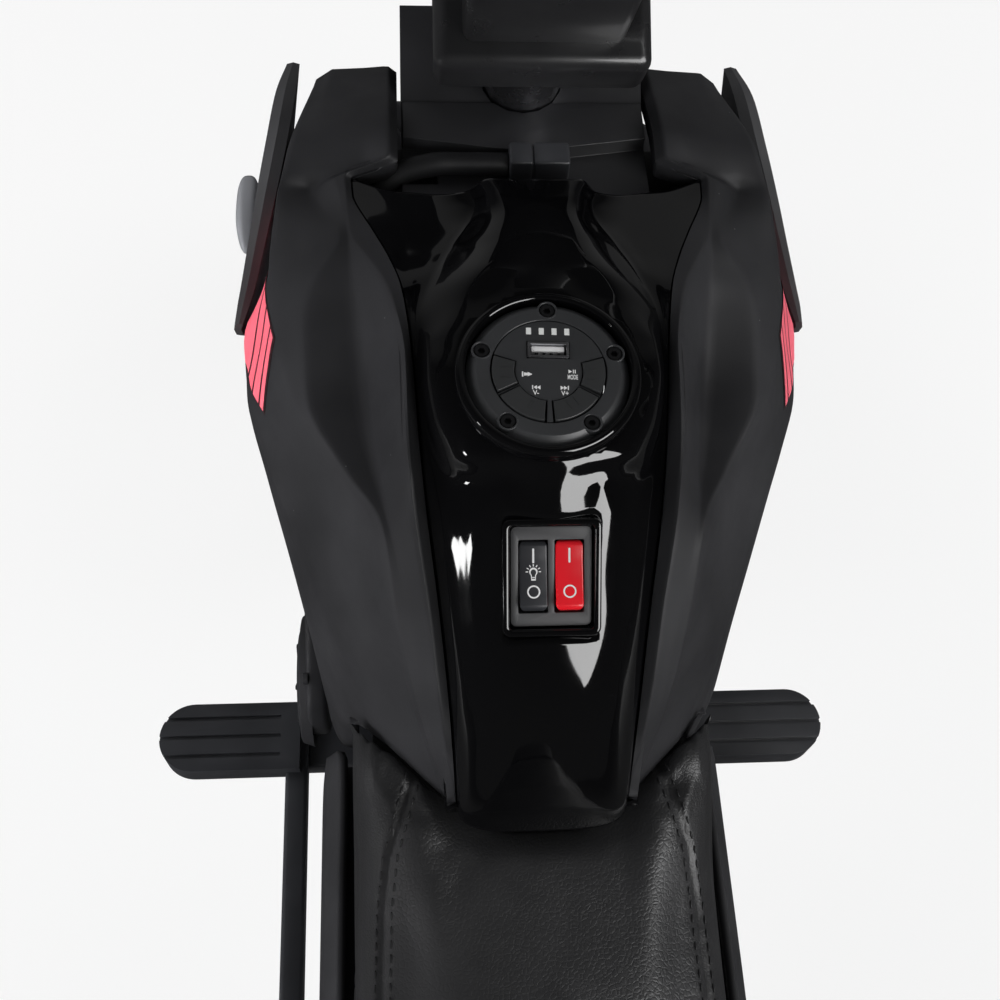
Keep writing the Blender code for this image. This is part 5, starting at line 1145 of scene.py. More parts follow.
    def signs(self) -> None:
        """Prints the white signs between the buttons."""
        shapes = {IconShape.HORN: (-7.0, -1.4), IconShape.PLAY: (7.5, -0.1), IconShape.BACK: (-4.2, -6.1),
                  IconShape.NEXT: (5.0, -6.1)}
        parts = [plate(metres(outline, x, y), -0.21 * MM, -0.16 * MM) for shape, (x, y) in shapes.items()
                 for outline in icon_outlines(shape)]
        for text, x, y, size in (("MODE", 7.6, -2.2, 2.35), ("V-", -4.2, -8.1, 2.4), ("V+", 5.0, -8.1, 2.4)):
            narrow = Matrix.Diagonal((0.5 if len(text) > 2 else 0.85, 1, 1, 1))
            parts.append(moved(lettering(text, size * MM), at(x * MM, y * MM, -0.19 * MM) @ narrow))
        add_piece("dial_signs", join(*parts), INK, "frame", matrix=DIAL)

    def build(self) -> None:
        """Builds the whole dial."""
        self.ring()
        self.screws()
        self.face()
        self.port()
        self.keys()
        self.signs()


def small_block(middle: Sequence[float], half: Sequence[float], bevel: float = 0.0) -> Mesh:
    """Makes a box from its middle, half its size and its edges' radius, all in millimetres."""
    centre, reach = Vector(middle) * MM, Vector(half) * MM
    return block(centre - reach, centre + reach, bevel * MM)


def icon_outlines(shape: IconShape) -> list[Flat]:
    """Gives the flat shapes of one sign, about its middle, in millimetres.

    Args:
        shape: The sign.

    Returns:
        The outlines that make it.
    """
    if shape is IconShape.HORN:
        return [[(-1.6, -0.95), (-1.15, -0.95), (-1.15, 0.95), (-1.6, 0.95)],
                [(-0.95, -0.6), (0.2, -0.42), (0.2, 0.42), (-0.95, 0.6)],
                [(0.2, -0.8), (1.6, -0.1), (1.6, 0.1), (0.2, 0.8)]]
    if shape is IconShape.PLAY:
        return [[(-1.2, -0.7), (-0.05, 0.0), (-1.2, 0.7)],
                [(0.2, -0.65), (0.5, -0.65), (0.5, 0.65), (0.2, 0.65)],
                [(0.8, -0.65), (1.1, -0.65), (1.1, 0.65), (0.8, 0.65)]]
    side = -1 if shape is IconShape.BACK else 1
    return [[(side * a, b) for a, b in outline] for outline in (
        [(-1.4, -0.75), (-0.3, 0.0), (-1.4, 0.75)], [(-0.3, -0.75), (0.8, 0.0), (-0.3, 0.75)],
        [(0.9, -0.75), (1.25, -0.75), (1.25, 0.75), (0.9, 0.75)])]


def lettering(text: str, size: float) -> Mesh:
    """Makes flat lettering, centred on the origin.

    Args:
        text: The letters.
        size: Their height.

    Returns:
        The mesh.
    """
    curve = bpy.data.curves.new("lettering", "FONT")
    curve.body = text
    curve.size = size
    curve.extrude = 0.00002
    curve.offset = 0.00004
    curve.align_x = "CENTER"
    curve.align_y = "CENTER"
    holder = placed("lettering", curve)
    bm = evaluated(holder)
    bpy.data.objects.remove(holder, do_unlink=True)
    return bm


# Switches

@dataclass
class SwitchPanel:
    """The bezel with its black lamp rocker and its red power rocker."""

    half_x: float = 13.0
    half_y: float = 16.2
    spacing: float = 11.6
    rocker_width: float = 9.0
    rocker_length: float = 22.6
    tilt: float = math.radians(-9)
    pivot: float = -4.4
    print_depth: float = 0.05 * MM

    def bezel(self) -> None:
        """Builds the matt bezel and the body behind it."""
        room = rounded_box(self.rocker_width / 2 + 0.3, self.rocker_length / 2 + 0.6, 0.6)
        rooms = [metres(room, x) for x in (-self.spacing / 2, self.spacing / 2)]
        rim = metres(rounded_box(self.half_x, self.half_y, 1.8))
        walls = metres(rounded_box(self.half_x - 1.9, self.half_y - 1.9, 0.5))
        top = plate(rim, -3.9 * MM, -1.9 * MM, 0.45 * MM, rooms, 3)
        body = plate(walls, -19.4 * MM, -3.9 * MM, 0, rooms)
        add_piece("switch_bezel_face", join(top, body), BEZEL, "frame", ["switch_bezel"], matrix=SWITCH,
                  sharp=30)

    def profile(self) -> Flat:
        """Gives a rocker's side view, with its raised lips."""
        tip = self.rocker_length / 2
        top = [(-tip, 2.2), (-tip + 0.35, 3.3), (-tip + 1.5, 3.85), (-tip * 0.45, 3.35), (0, 3.2),
               (tip * 0.45, 3.35), (tip - 1.5, 3.85), (tip - 0.35, 3.3), (tip, 2.2)]
        return [*rounded(top, 1.2, 4), (tip * 0.72, -6.0), (-tip * 0.72, -6.0)]

    def rocker(self, side: int, body: str, node: str, finish: Finish) -> None:
        """Builds one rocker and its printed signs.

        Args:
            side: -1 for the left, 1 for the right.
            body: The body that it is.
            node: Its CAD node.
            finish: Its finish.
        """
        half = self.rocker_width / 2
        place = (SWITCH @ at(side * self.spacing / 2 * MM, 0, self.pivot * MM)
                 @ Matrix.Rotation(self.tilt, 4, "X"))
        cap = moved(plate(metres(self.profile()), -half * MM, half * MM, 0.55 * MM, segments=4), ALONG_X)
        for vert in cap.verts:
            past = max(0.0, abs(vert.co.y) / MM - self.rocker_length / 2 + 2.2) / 2.2
            vert.co.x *= 1 - 0.24 * past * past
        add_piece(f"{node}_cap", cap, finish, body, [node], matrix=place, sharp=40)
        bar = plate(metres(rounded_box(0.32, 2.35, 0.2, 2)), 0, 0.06 * MM)
        ring = plate(metres(disc(0, 0, 2.1, 40)), 0, 0.06 * MM, 0, [metres(disc(0, 0, 1.6, 40))])
        parts = [moved(bar, at(0, 6.3 * MM)), moved(ring, at(0, -5.2 * MM))]
        if side < 0:
            parts.append(moved(self.bulb(), at(0, 0.3 * MM)))
        signs = join(*parts)
        bmesh.ops.triangulate(signs, faces=signs.faces)
        long = [edge for edge in signs.edges if edge.calc_length() > 0.8 * MM]
        bmesh.ops.subdivide_edges(signs, edges=long, cuts=3)
        for vert in signs.verts:
            vert.co.z += (self.top_at(vert.co.y / MM) + 0.02) * MM
        add_piece(f"{node}_signs", signs, INK, body, matrix=place)

    def top_at(self, y: float) -> float:
        """Gives the height of a rocker's top at a place along it."""
        points = [point for point in self.profile() if point[1] > 0]
        for (a, low), (b, high) in zip(points, points[1:]):
            if a <= y <= b:
                return low + (high - low) * (y - a) / max(b - a, 1e-6)
        return points[-1][1]

    def bulb(self) -> Mesh:
        """Draws the lamp sign: a bulb with seven rays, as a flat print."""
        glass = [polar(1.35, math.radians(degrees)) for degrees in range(-50, 231, 10)]
        socket = [(-0.75, -1.1), (-0.75, -1.9), (0.75, -1.9), (0.75, -1.1)]
        outer = [*((x, 0.9 + y) for x, y in glass), *socket]
        inner = [(x * 0.66, 0.1 + (y - 0.1) * 0.72) for x, y in outer]
        bar = [(-0.7, -1.05), (0.7, -1.05), (0.7, -0.75), (-0.7, -0.75)]
        ray = [(1.7, -0.16), (2.45, -0.16), (2.45, 0.16), (1.7, 0.16)]
        parts = [plate(metres(outer), 0, self.print_depth, 0, [metres(inner)]),
                 plate(metres(bar), 0, self.print_depth)]
        for i in range(7):
            c, s = polar(1.0, math.radians(30 * i))
            spun = [(x * c - y * s, 0.9 + x * s + y * c) for x, y in ray]
            parts.append(plate(metres(spun), 0, self.print_depth))
        return join(*parts)

    def build(self) -> None:
        """Builds the bezel and both rockers."""
        self.bezel()
        self.rocker(-1, "light_switch", "light_rocker", ROCKER)
        self.rocker(1, "power_switch", "power_rocker", RED)


# Seat

@dataclass
class SeatCushion:
    """The leatherette seat: a padded form with raised front corners, two sewn channels and their stitches."""

    rear_y: float = -0.322
    base: float = 0.350
    channel_depth: float = 0.0030
    corner_lift: float = 0.0125
    voxel: float = 0.0042
    swell: float = 0.0030
    frames: int = 20
    pressure: float = 4
    stiffness: float = 15
    stitch: tuple[float, float, float] = (0.0017, 0.00042, 0.00040)
    row_gap: float = 0.0026
    pitch: float = 0.0046
    channel: Table = (
        (-322, 47.0), (-300, 51.0), (-200, 55.5), (-95, 56.5), (-60, 55.5), (-44, 53.2), (-17, 44.8),
        (0, 39.0))

    def channel_at(self, y: float) -> float:
        """Gives how far from the middle plane the sewn channel runs, at a place along the seat."""
        for (low, x), (high, after) in zip(self.channel, self.channel[1:]):
            if y <= high * MM or high == 0:
                share = min(max((y / MM - low) / (high - low), 0.0), 1.0)
                return (x + (after - x) * share) * MM
        return self.channel[-1][1] * MM

    @staticmethod
    def rise(value: float) -> float:
        """Eases a share between nought and one."""
        share = min(max(value, 0.0), 1.0)
        return share * share * (3 - 2 * share)

    def lifted(self, bm: Mesh) -> None:
        """Raises the cushion's front corners to the tank covers' rear edges.

        Args:
            bm: The cushion's form.
        """
        for vert in bm.verts:
            x, y, z = vert.co
            front = -0.033 + 0.00092 * max(0.0, abs(x) / MM - 29)
            share = (self.rise((abs(x) - 0.027) / 0.022) * self.rise((y - front + 0.060) / 0.055)
                     * self.rise((z - self.base - 0.006) / 0.034))
            vert.co.z += self.corner_lift * share * (0.75 + 0.6 * self.rise((abs(x) - 0.045) / 0.02))

    def padded_form(self) -> Mesh:
        """Remeshes the cushion's solid and lets a cloth simulation swell its top.

        Returns:
            The swollen form.
        """
        holder = placed("cushion_form", mesh_of(node_copy("seat_cushion", 0), "cushion_form"))
        remesh = holder.modifiers.new("Even", "REMESH")
        remesh.mode = "VOXEL"
        remesh.voxel_size = self.voxel
        bpy.context.view_layer.update()
        even = bpy.data.meshes.new_from_object(holder.evaluated_get(bpy.context.evaluated_depsgraph_get()))
        holder.modifiers.clear()
        holder.data = even
        rest = [vert.co.copy() for vert in even.vertices]
        self.swollen(holder, rest)
        bm = bmesh.new()
        bm.from_mesh(even)
        bpy.data.objects.remove(holder, do_unlink=True)
        return bm

    def swollen(self, holder: Thing, rest: list[Vector]) -> None:
        """Runs the cloth simulation and keeps its result within a cap.

        Args:
            holder: The object that holds the form.
            rest: Where its points start.
        """
        for vert in holder.data.vertices:
            if vert.co.z > self.base + 0.02:
                vert.co -= vert.normal * self.swell * 0.5
        pinned = holder.vertex_groups.new(name="held")
        pinned.add([vert.index for vert in holder.data.vertices if vert.co.z < self.base + 0.018
                    or vert.co.y > -0.012], 1.0, "REPLACE")
        cloth = holder.modifiers.new("Swell", "CLOTH")
        cloth.settings.use_pressure = True
        cloth.settings.uniform_pressure_force = self.pressure
        cloth.settings.vertex_group_mass = "held"
        cloth.settings.tension_stiffness = self.stiffness
        cloth.settings.compression_stiffness = self.stiffness
        cloth.settings.effector_weights.gravity = 0
        cloth.point_cache.frame_start, cloth.point_cache.frame_end = 1, self.frames
        scene = bpy.context.scene
        for number in range(1, self.frames + 1):
            scene.frame_set(number)
        seen = holder.evaluated_get(bpy.context.evaluated_depsgraph_get())
        after = [vert.co.copy() for vert in seen.to_mesh().vertices]
        seen.to_mesh_clear()
        holder.modifiers.clear()
        for vert, start, end in zip(holder.data.vertices, rest, after):
            step = end - start
            if step.length > self.swell:
                step *= self.swell / step.length
            vert.co = start + step
        scene.frame_set(1)

    def sewn(self, bm: Mesh) -> Mesh:
        """Presses the channels into the top, with the puckers that the thread draws.

        Args:
            bm: The swollen form.

        Returns:
            The same mesh.
        """
        bmesh.ops.subdivide_edges(bm, edges=bm.edges[:], cuts=1, use_grid_fill=True, smooth=0.3)
        softened(bm, bm.verts)
        bm.normal_update()
        for vert in bm.verts:
            if vert.normal.z < 0.6 or vert.co.z < self.base + 0.012:
                continue
            away = abs(vert.co.x) - self.channel_at(vert.co.y)
            line = math.exp(-(away / 0.0016) ** 2)
            pucker = math.exp(-((abs(away) - 0.004) / 0.004) ** 2) * math.sin(math.tau * vert.co.y / 0.0092)
            soft = noise.noise(vert.co * 28) * 0.0006
            vert.co.z += soft - self.channel_depth * line * 0.6 + 0.00012 * pucker
        self.lifted(bm)
        for vert in bm.verts:
            vert.co.z = max(vert.co.z, self.base + 0.0001)
        for face in bm.faces:
            centre = face.calc_center_median()
            if abs(centre.x) > self.channel_at(centre.y) or face.normal.z < 0.3:
                face.material_index = 1
        return bm

    def stitches(self, cushion: BVHTree) -> None:
        """Lays two rows of thread along each channel.

        Args:
            cushion: The finished surface.
        """
        thread = bmesh.new()
        for side, offset in ((1, -self.row_gap), (1, self.row_gap), (-1, -self.row_gap), (-1, self.row_gap)):
            y = -0.012
            while y > self.rear_y + 0.012:
                hit, normal = self.under(cushion, side, offset, y)
                ahead, _ = self.under(cushion, side, offset, y - 0.002)
                if hit and ahead and hit.z > self.base + 0.02:
                    turn = (ahead - hit).to_track_quat("X", "Z").to_matrix().to_4x4()
                    place = Matrix.Translation(hit + normal * 0.00022) @ turn
                    bmesh.ops.create_uvsphere(thread, u_segments=6, v_segments=5, radius=1.0,
                                              matrix=place @ Matrix.Diagonal((*self.stitch, 1)))
                y -= self.pitch
        add_piece("seat_stitches", thread, THREAD, "frame", sharp=80)

    def under(self, cushion: BVHTree, side: int, offset: float, y: float) -> tuple[Vector | None, ...]:
        """Finds the seat's surface and its direction, beside the channel on one side."""
        start = Vector((side * (self.channel_at(y) + offset), y, 0.6))
        return cushion.ray_cast(start, Vector((0, 0, -1)))[:2]

    def build(self) -> None:
        """Builds the cushion and its stitches."""
        bm = self.sewn(self.padded_form())
        tree = BVHTree.FromBMesh(bm)
        cushion = add_piece("seat_cushion_cover", bm, LEATHER, "frame", ["seat_cushion"], sharp=80,
                            others=[LEATHER_SIDE])
        self.stitches(tree)
        flange = block((-0.0735, -0.276, self.base - 0.004), (0.0735, 0.004, self.base - 0.001), 0.0006)
        add_piece("seat_pan_plate", join(node_copy("seat_pan", 0.0008), flange), MATT, "frame", ["seat_pan"])
        # Painted shade: a near-black sheet under the console panel, seen through the gaps between the covers.
        add_piece("tank_floor_shade", block((-0.060, -0.020, 0.380), (0.060, 0.070, 0.383), 0.0006), PAINTED_SHADE, "frame")


# Front: shrouds, steering head, fork, handlebar and headlight

@dataclass
class Shroud:
    """A side shroud beside the steering head, with its silver signal pod."""

    side: int
    word: str
    bulge: float = 1.2
    pod_centre: tuple[float, float, float] = (0.1112, 0.2245, 0.424)
    pod_size: tuple[float, float, float] = (0.005, 0.0195, 0.008)
    sections: Table = (
        (143.6, 459.5, 108.6, 452.0, 109.0, 2.6), (149, 462.5, 108.0, 444.0, 109.2, 4.2),
        (156, 466.0, 106.6, 436, 109, 5.2), (170.6, 472, 104.0, 421, 109, 6.2),
        (190, 480, 100.6, 408, 108.5, 7.4), (208.8, 486.7, 97.2, 402, 107.5, 8),
        (230, 492, 93.4, 402, 103, 7.5), (248, 488, 90.0, 412, 98, 5))

    def ring(self, section: tuple[float, ...]) -> Line:
        """Gives the points round one section.

        Args:
            section: Its place, its outer edges and its thickness.

        Returns:
            The points in millimetres, the first one repeated at the end.
        """
        y, top_z, top_x, low_z, low_x, thick = section
        middle = ((top_x + low_x) / 2 + self.bulge * min(1, thick / 4), (top_z + low_z) / 2)
        edge = thick * 0.18
        outer = [(top_x, top_z - edge), middle, (low_x, low_z + edge)]
        inner = [(x - thick, z) for x, z in reversed(outer)]
        points = [(top_x - thick / 2, top_z), *outer, (low_x - thick / 2, low_z), *inner]
        return [(x, y, z) for x, z in [*points, points[0]]]

    def panel(self) -> Mesh:
        """Lays the shroud's skin round its sections and closes its ends."""
        rings = [self.ring(section) for section in self.sections]
        bm = skin([list(line) for line in zip(*rings)], 4, 6, Vector((1, 0, 0)))
        bmesh.ops.remove_doubles(bm, verts=bm.verts, dist=1e-6)
        bmesh.ops.holes_fill(bm, edges=[edge for edge in bm.edges if edge.is_boundary], sides=0)
        bmesh.ops.recalc_face_normals(bm, faces=bm.faces)
        boss = turned([(0, 0), (6, 0), (6, 10), (0, 10)], 32)
        return join(bm, moved(boss, at(0.0856, 0.213, 0.4707) @ SPUN_X))

    def pod(self) -> Mesh:
        """Shapes the teardrop pod and its foot."""
        bm = ball(40, 24)
        x, y, z = self.pod_size
        for vert in bm.verts:
            full = Vector([math.copysign(abs(value) ** 0.7, value) for value in vert.co])
            slim = 1 - 0.4 * max(0.0, -full.y) ** 2
            vert.co = Vector((full.x * x * slim, full.y * y, full.z * z * slim))
        bmesh.ops.translate(bm, vec=self.pod_centre, verts=bm.verts)
        foot = turned(rounded([(0, 4), (4.4, 4), (3.6, 0), (0, 0)], 0.6), 32)
        return join(bm, moved(foot, at(0.1068, 0.2285, 0.424) @ SPUN_X))

    def build(self) -> None:
        """Builds the shroud and its pod."""
        add_piece(f"shroud_{self.word}_shell", mirrored(self.panel(), self.side), SHELL, "frame",
                  [f"shroud_{self.word}"], sharp=30)
        add_piece(f"signal_pod_{self.word}_shell", mirrored(self.pod(), self.side), SILVER, "frame",
                  [f"signal_pod_{self.word}"], sharp=50)


def ball(around: int, along: int) -> Mesh:
    """Makes a ball of radius one, with its poles along Y, from its steps around and along."""
    bm = bmesh.new()
    bmesh.ops.create_uvsphere(bm, u_segments=around, v_segments=along, radius=1.0)
    bmesh.ops.rotate(bm, matrix=Matrix.Rotation(math.pi / 2, 3, "X"), verts=bm.verts)
    return bm


@dataclass
class SteeringHead:
    """The deck behind the handlebar, with the harness clip and its sleeve."""

    deck_top: float = 0.497
    clip_y: float = 0.184
    clip_x: float = 0.0044
    clip_size: tuple[float, float, float] = (0.022, 0.0102, 0.0112)
    seam_x: float = 0.0021
    seam_half: float = 0.0002
    sleeve: float = 0.0043
    apron_x: float = 0.0585
    apron_half: float = 0.0165

    def clip(self) -> None:
        """Builds the clip in two halves with a seam between them."""
        low = self.deck_top + 0.0003
        width, depth, height = self.clip_size
        left, right = self.clip_x - width / 2, self.clip_x + width / 2
        front, rear = self.clip_y + depth / 2, self.clip_y - depth / 2
        first = block((left, rear, low), (self.seam_x - self.seam_half, front, low + height), 0.0011, 4)
        second = block((self.seam_x + self.seam_half, rear, low), (right, front, low + height), 0.0011, 4)
        core = block((left + 0.002, rear + 0.0005, low),
                     (right - 0.002, front - 0.0005, low + height - 0.0015))
        add_piece("harness_clip", join(first, second, core), PEG, "frame", ["harness_clamp"])

    def harness(self) -> None:
        """Bends the sleeve from the clip down to the control box."""
        height = self.deck_top + 0.0006 + self.sleeve
        y = self.clip_y
        left = self.clip_x - self.clip_size[0] / 2
        route = [(left - 0.0003, y, height), (-0.024, y, height), (-0.034, y, height - 0.0003),
                 (-0.0465, y - 0.0005, height - 0.0050), (-0.0552, y - 0.005, height - 0.0140),
                 (-0.0575, 0.164, 0.477), (-0.054, 0.140, 0.450), (-0.038, 0.112, 0.415),
                 (-0.022, 0.088, 0.394), (-0.018, 0.078, 0.3736), (-0.018, 0.077, 0.3646)]
        add_piece("harness_tube", tube("sleeve", smooth_path(route, 8), self.sleeve, 8), SLEEVE, "frame",
                  ["harness_sleeve"], sharp=60)

    def build(self) -> None:
        """Builds the chassis casting, the clip and the sleeve."""
        aprons = [block((x - self.apron_half, 0.146, 0.4625), (x + self.apron_half, 0.222, 0.4685), 0.0012)
                  for x in (self.apron_x, -self.apron_x)]
        add_piece("chassis_casting", join(node_copy("chassis", 0.0006), *aprons), FRAME_PLASTIC, "frame",
                  ["chassis"])
        self.clip()
        self.harness()


@dataclass
class FrontFork:
    """The fork with its stem, fender and axle."""

    leg_x: float = 57.5
    leg_radius: float = 14
    length: float = 296
    boot_top: float = 140.16
    boot_end: float = 124.32
    fender_radius: float = 156
    fender_wall: float = 3
    fender_from: float = -8
    fender_sweep: float = 148

    def legs(self) -> Mesh:
        """Turns both legs, each with a ribbed boot, and joins them to the crown."""
        top, base = self.length + 9, self.length - 9
        radius = self.leg_radius
        profile = [(0, top + 4), (radius - 1, top + 4), (radius, top + 2), (radius + 3, base - 20),
                   (radius + 3, self.boot_top)]
        for i in range(3):
            z = self.boot_top - i * 4
            profile += [(radius + 3, z), (radius + 3, z - 2), (radius + 1.4, z - 3)]
        profile += [(radius, self.boot_end), (radius, -radius), (radius - 3, -radius - 2.6), (0, -radius - 3)]
        half = self.leg_x * MM
        legs = [moved(turned(rounded(profile, 1.2, 2), 56), at(x, 0)) for x in (half, -half)]
        crown = block((-half, -0.023, base * MM), (half, 0.023, top * MM), 0.004, 4)
        forward = Matrix.Rotation(math.pi / 2, 4, "X")
        bolts = [moved(bolt_head(5, 5.5, 4, 24), at(x, -0.023, self.length * MM) @ forward)
                 for x in (0.030, -0.030)]
        return join(*legs, crown, *bolts)

    def fender(self) -> Mesh:
        """Lays the crowned fender over the tyre."""
        half = self.leg_x - self.leg_radius - 3.3
        lines: list[Line] = []
        for side, drop in ((-1, 16), (-0.93, 4), (-0.55, -1), (0, -3), (0.55, -1), (0.93, 4), (1, 16)):
            line = []
            for i in range(13, -1, -1):
                turn = math.radians(self.fender_from + self.fender_sweep * i / 13)
                share = min(max(abs(i / 13 - 0.62) / 0.62 - 0.25, 0.0), 1.0)
                taper = 1.0 - 0.22 * share * share * (3 - 2 * share)
                line.append((side * half * taper, *polar(self.fender_radius + self.fender_wall - drop, turn)))
            lines.append(line)
        return skin(lines, 4, 5, Vector((0, 0, 1)), curved=True)

    def build(self) -> None:
        """Builds the fork, its stem, its fender and its axle."""
        add_piece("fork_legs", self.legs(), FRAME_PLASTIC, "steering", ["front_fork"], matrix=STEERING)
        stem = turned(rounded([(0, 480), (13.5, 480), (15, 478), (15, 289), (0, 289)], 0.4), 48)
        add_piece("stem_tube", stem, STEEL, "steering", ["steering_stem"], matrix=STEERING)
        add_piece("front_fender_shell", self.fender(), MATT, "steering", ["front_fender"], matrix=STEERING,
                  wall=self.fender_wall * MM, sharp=50)
        half = self.leg_x + self.leg_radius + 0.3
        add_piece("front_axle_rod", axle_rod(half, at(*FRONT_AXLE)), STEEL, "steering", ["front_axle"])


def axle_rod(half: float, matrix: Matrix) -> Mesh:
    """Makes an axle with a domed head at each end.

    Args:
        half: Half its length between the heads, in millimetres.
        matrix: Where its middle goes.

    Returns:
        The mesh, along X.
    """
    right = [(0, half + 5), (6.3, half + 5), (9, half + 2), (9, half), (5, half)]
    profile = [*right, *[(radius, -height) for radius, height in reversed(right)]]
    return moved(turned(rounded(profile, 0.6, 2), 48), matrix @ SPUN_X)


@dataclass
class Handlebar:
    """The bent bar with its yoke, riser and ribbed grips."""

    radius: float = 0.011
    half_width: float = 0.252
    rise: float = 0.046
    sweep: float = 0.062
    grip_radius: float = 15.5
    grip_length: float = 95
    ribs: int = 9

    def ends(self, side: int) -> tuple[Vector, Vector]:
        """Gives the inner and the outer end of the straight run on one side."""
        inner = Vector((side * (self.half_width - self.grip_length * MM - 0.012), -0.030, self.rise))
        return inner, Vector((side * self.half_width, -self.sweep, self.rise + 0.002))

    def bar(self) -> Mesh:
        """Bends the bar."""
        inner, outer = self.ends(1)
        bends = ((0, 0, 0), (0.040, 0, 0.001), (0.075, -0.006, self.rise * 0.45),
                 (0.110, -0.018, self.rise * 0.93))
        right = [*(Vector(point) for point in bends), inner, (inner + outer) / 2, outer]
        left = [Vector((-point.x, point.y, point.z)) for point in reversed(right[1:])]
        return moved(tube("bar", smooth_path(left + right, 10), self.radius, 10), BAR)

    def mount(self) -> Mesh:
        """Makes the yoke, the riser and their bolts."""
        yoke = block((-0.035, -0.025, 0.458), (0.035, 0.025, 0.480), 0.0045, 4)
        riser = block((-0.026, -0.017, 0.476), (0.026, 0.017, 0.530), 0.0035, 4)
        bolts = [moved(bolt_head(3.4, 3.8, 2.6), at(x * 0.018, y * 0.010, 0.530))
                 for x, y in ((-1, -1), (-1, 1), (1, -1), (1, 1))]
        return moved(join(yoke, riser, *bolts), STEERING)

    def grip(self, side: int) -> None:
        """Builds one rubber grip with its flange and ribs.

        Args:
            side: 1 for the throttle on the right, -1 for the left.
        """
        inner, outer = self.ends(side)
        along = (outer - inner).normalized()
        place = (BAR @ Matrix.Translation(outer - along * self.grip_length * MM)
                 @ along.to_track_quat("Z", "Y").to_matrix().to_4x4())
        radius, length = self.grip_radius, self.grip_length
        profile = [(11.6, 0), (radius + 4, 0), (radius + 4, 4), (radius, 6)]
        step = (length - 22) / self.ribs
        for i in range(self.ribs):
            z = 11 + i * step
            profile += [(radius, z), (radius, z + step * 0.5), (radius - 1.1, z + step * 0.62),
                        (radius - 1.1, z + step * 0.88)]
        profile += [(radius, length - 10), (radius, length - 4), (radius - 2, length + 4), (0, length + 4),
                    (0, length + 0.6), (11.6, length + 0.6)]
        name, body = ("throttle_grip", "throttle") if side > 0 else ("left_grip", "steering")
        add_piece(f"{name}_rubber", turned(rounded(profile, 0.7, 2), 48, close=True), TYRE, body, [name],
                  matrix=place, sharp=40)

    def build(self) -> None:
        """Builds the bar, its mount and both grips."""
        add_piece("handlebar_tube", join(self.bar(), self.mount()), TUBE, "steering", ["handlebar"], sharp=40)
        self.grip(1)
        self.grip(-1)


@dataclass
class Headlight:
    """The lamp housing with its rim, reflector and clear lens."""

    half: tuple[float, float, float] = (0.064, 0.050, 0.044)
    reach: float = 0.092
    height: float = 0.436
    squash: float = 0.93
    bowl: Table = ((35.6, -2.5), (30, -6.6), (20, -8.8), (8, -9.6), (0, -9.7))
    lens: Table = (
        (0, 4), (18, 3), (30.6, 1), (36, -2), (36, -2.4), (30, -1.0), (18, 1.4), (0, 2.4))
    rim: Table = ((36.2, -9), (36.2, 0.8), (38.5, 1.2), (43.0, 0.0), (43.5, -2.5))

    def build(self) -> None:
        """Builds the housing, the reflector, the lens and the rim."""
        level = STEERING @ at(0, self.reach, self.height) @ Matrix.Rotation(math.radians(-26), 4, "X")
        face = self.half[1] * 0.62
        bm = ball(64, 40)
        bmesh.ops.scale(bm, vec=self.half, verts=bm.verts)
        bmesh.ops.bisect_plane(bm, geom=[*bm.verts, *bm.edges, *bm.faces], plane_co=(0, face, 0),
                               plane_no=(0, 1, 0), clear_outer=True)
        arm = block((-0.014, 0.0253, 0.460), (0.014, self.reach - self.half[1] * 0.35, 0.473), 0.0015)
        turn = level @ at(0, face) @ Matrix.Rotation(-math.pi / 2, 4, "X")
        front = turned(rounded(self.rim, 0.6), 72)
        bmesh.ops.scale(front, vec=(1.0, self.squash, 1.0), verts=front.verts)
        housing = join(moved(bm, level), moved(arm, STEERING), moved(front, turn))
        add_piece("headlight_housing", housing, MATT, "steering", ["headlight_shell"], sharp=40)
        add_piece("headlight_reflector", turned(self.bowl, 64), STEEL, "steering", matrix=turn, sharp=60)
        lens = turned(rounded(self.lens, 1.0), 64)
        add_piece("headlight_glass", lens, LENS, "steering", ["headlight_lens"], matrix=turn, sharp=60)


# Wheels and drive

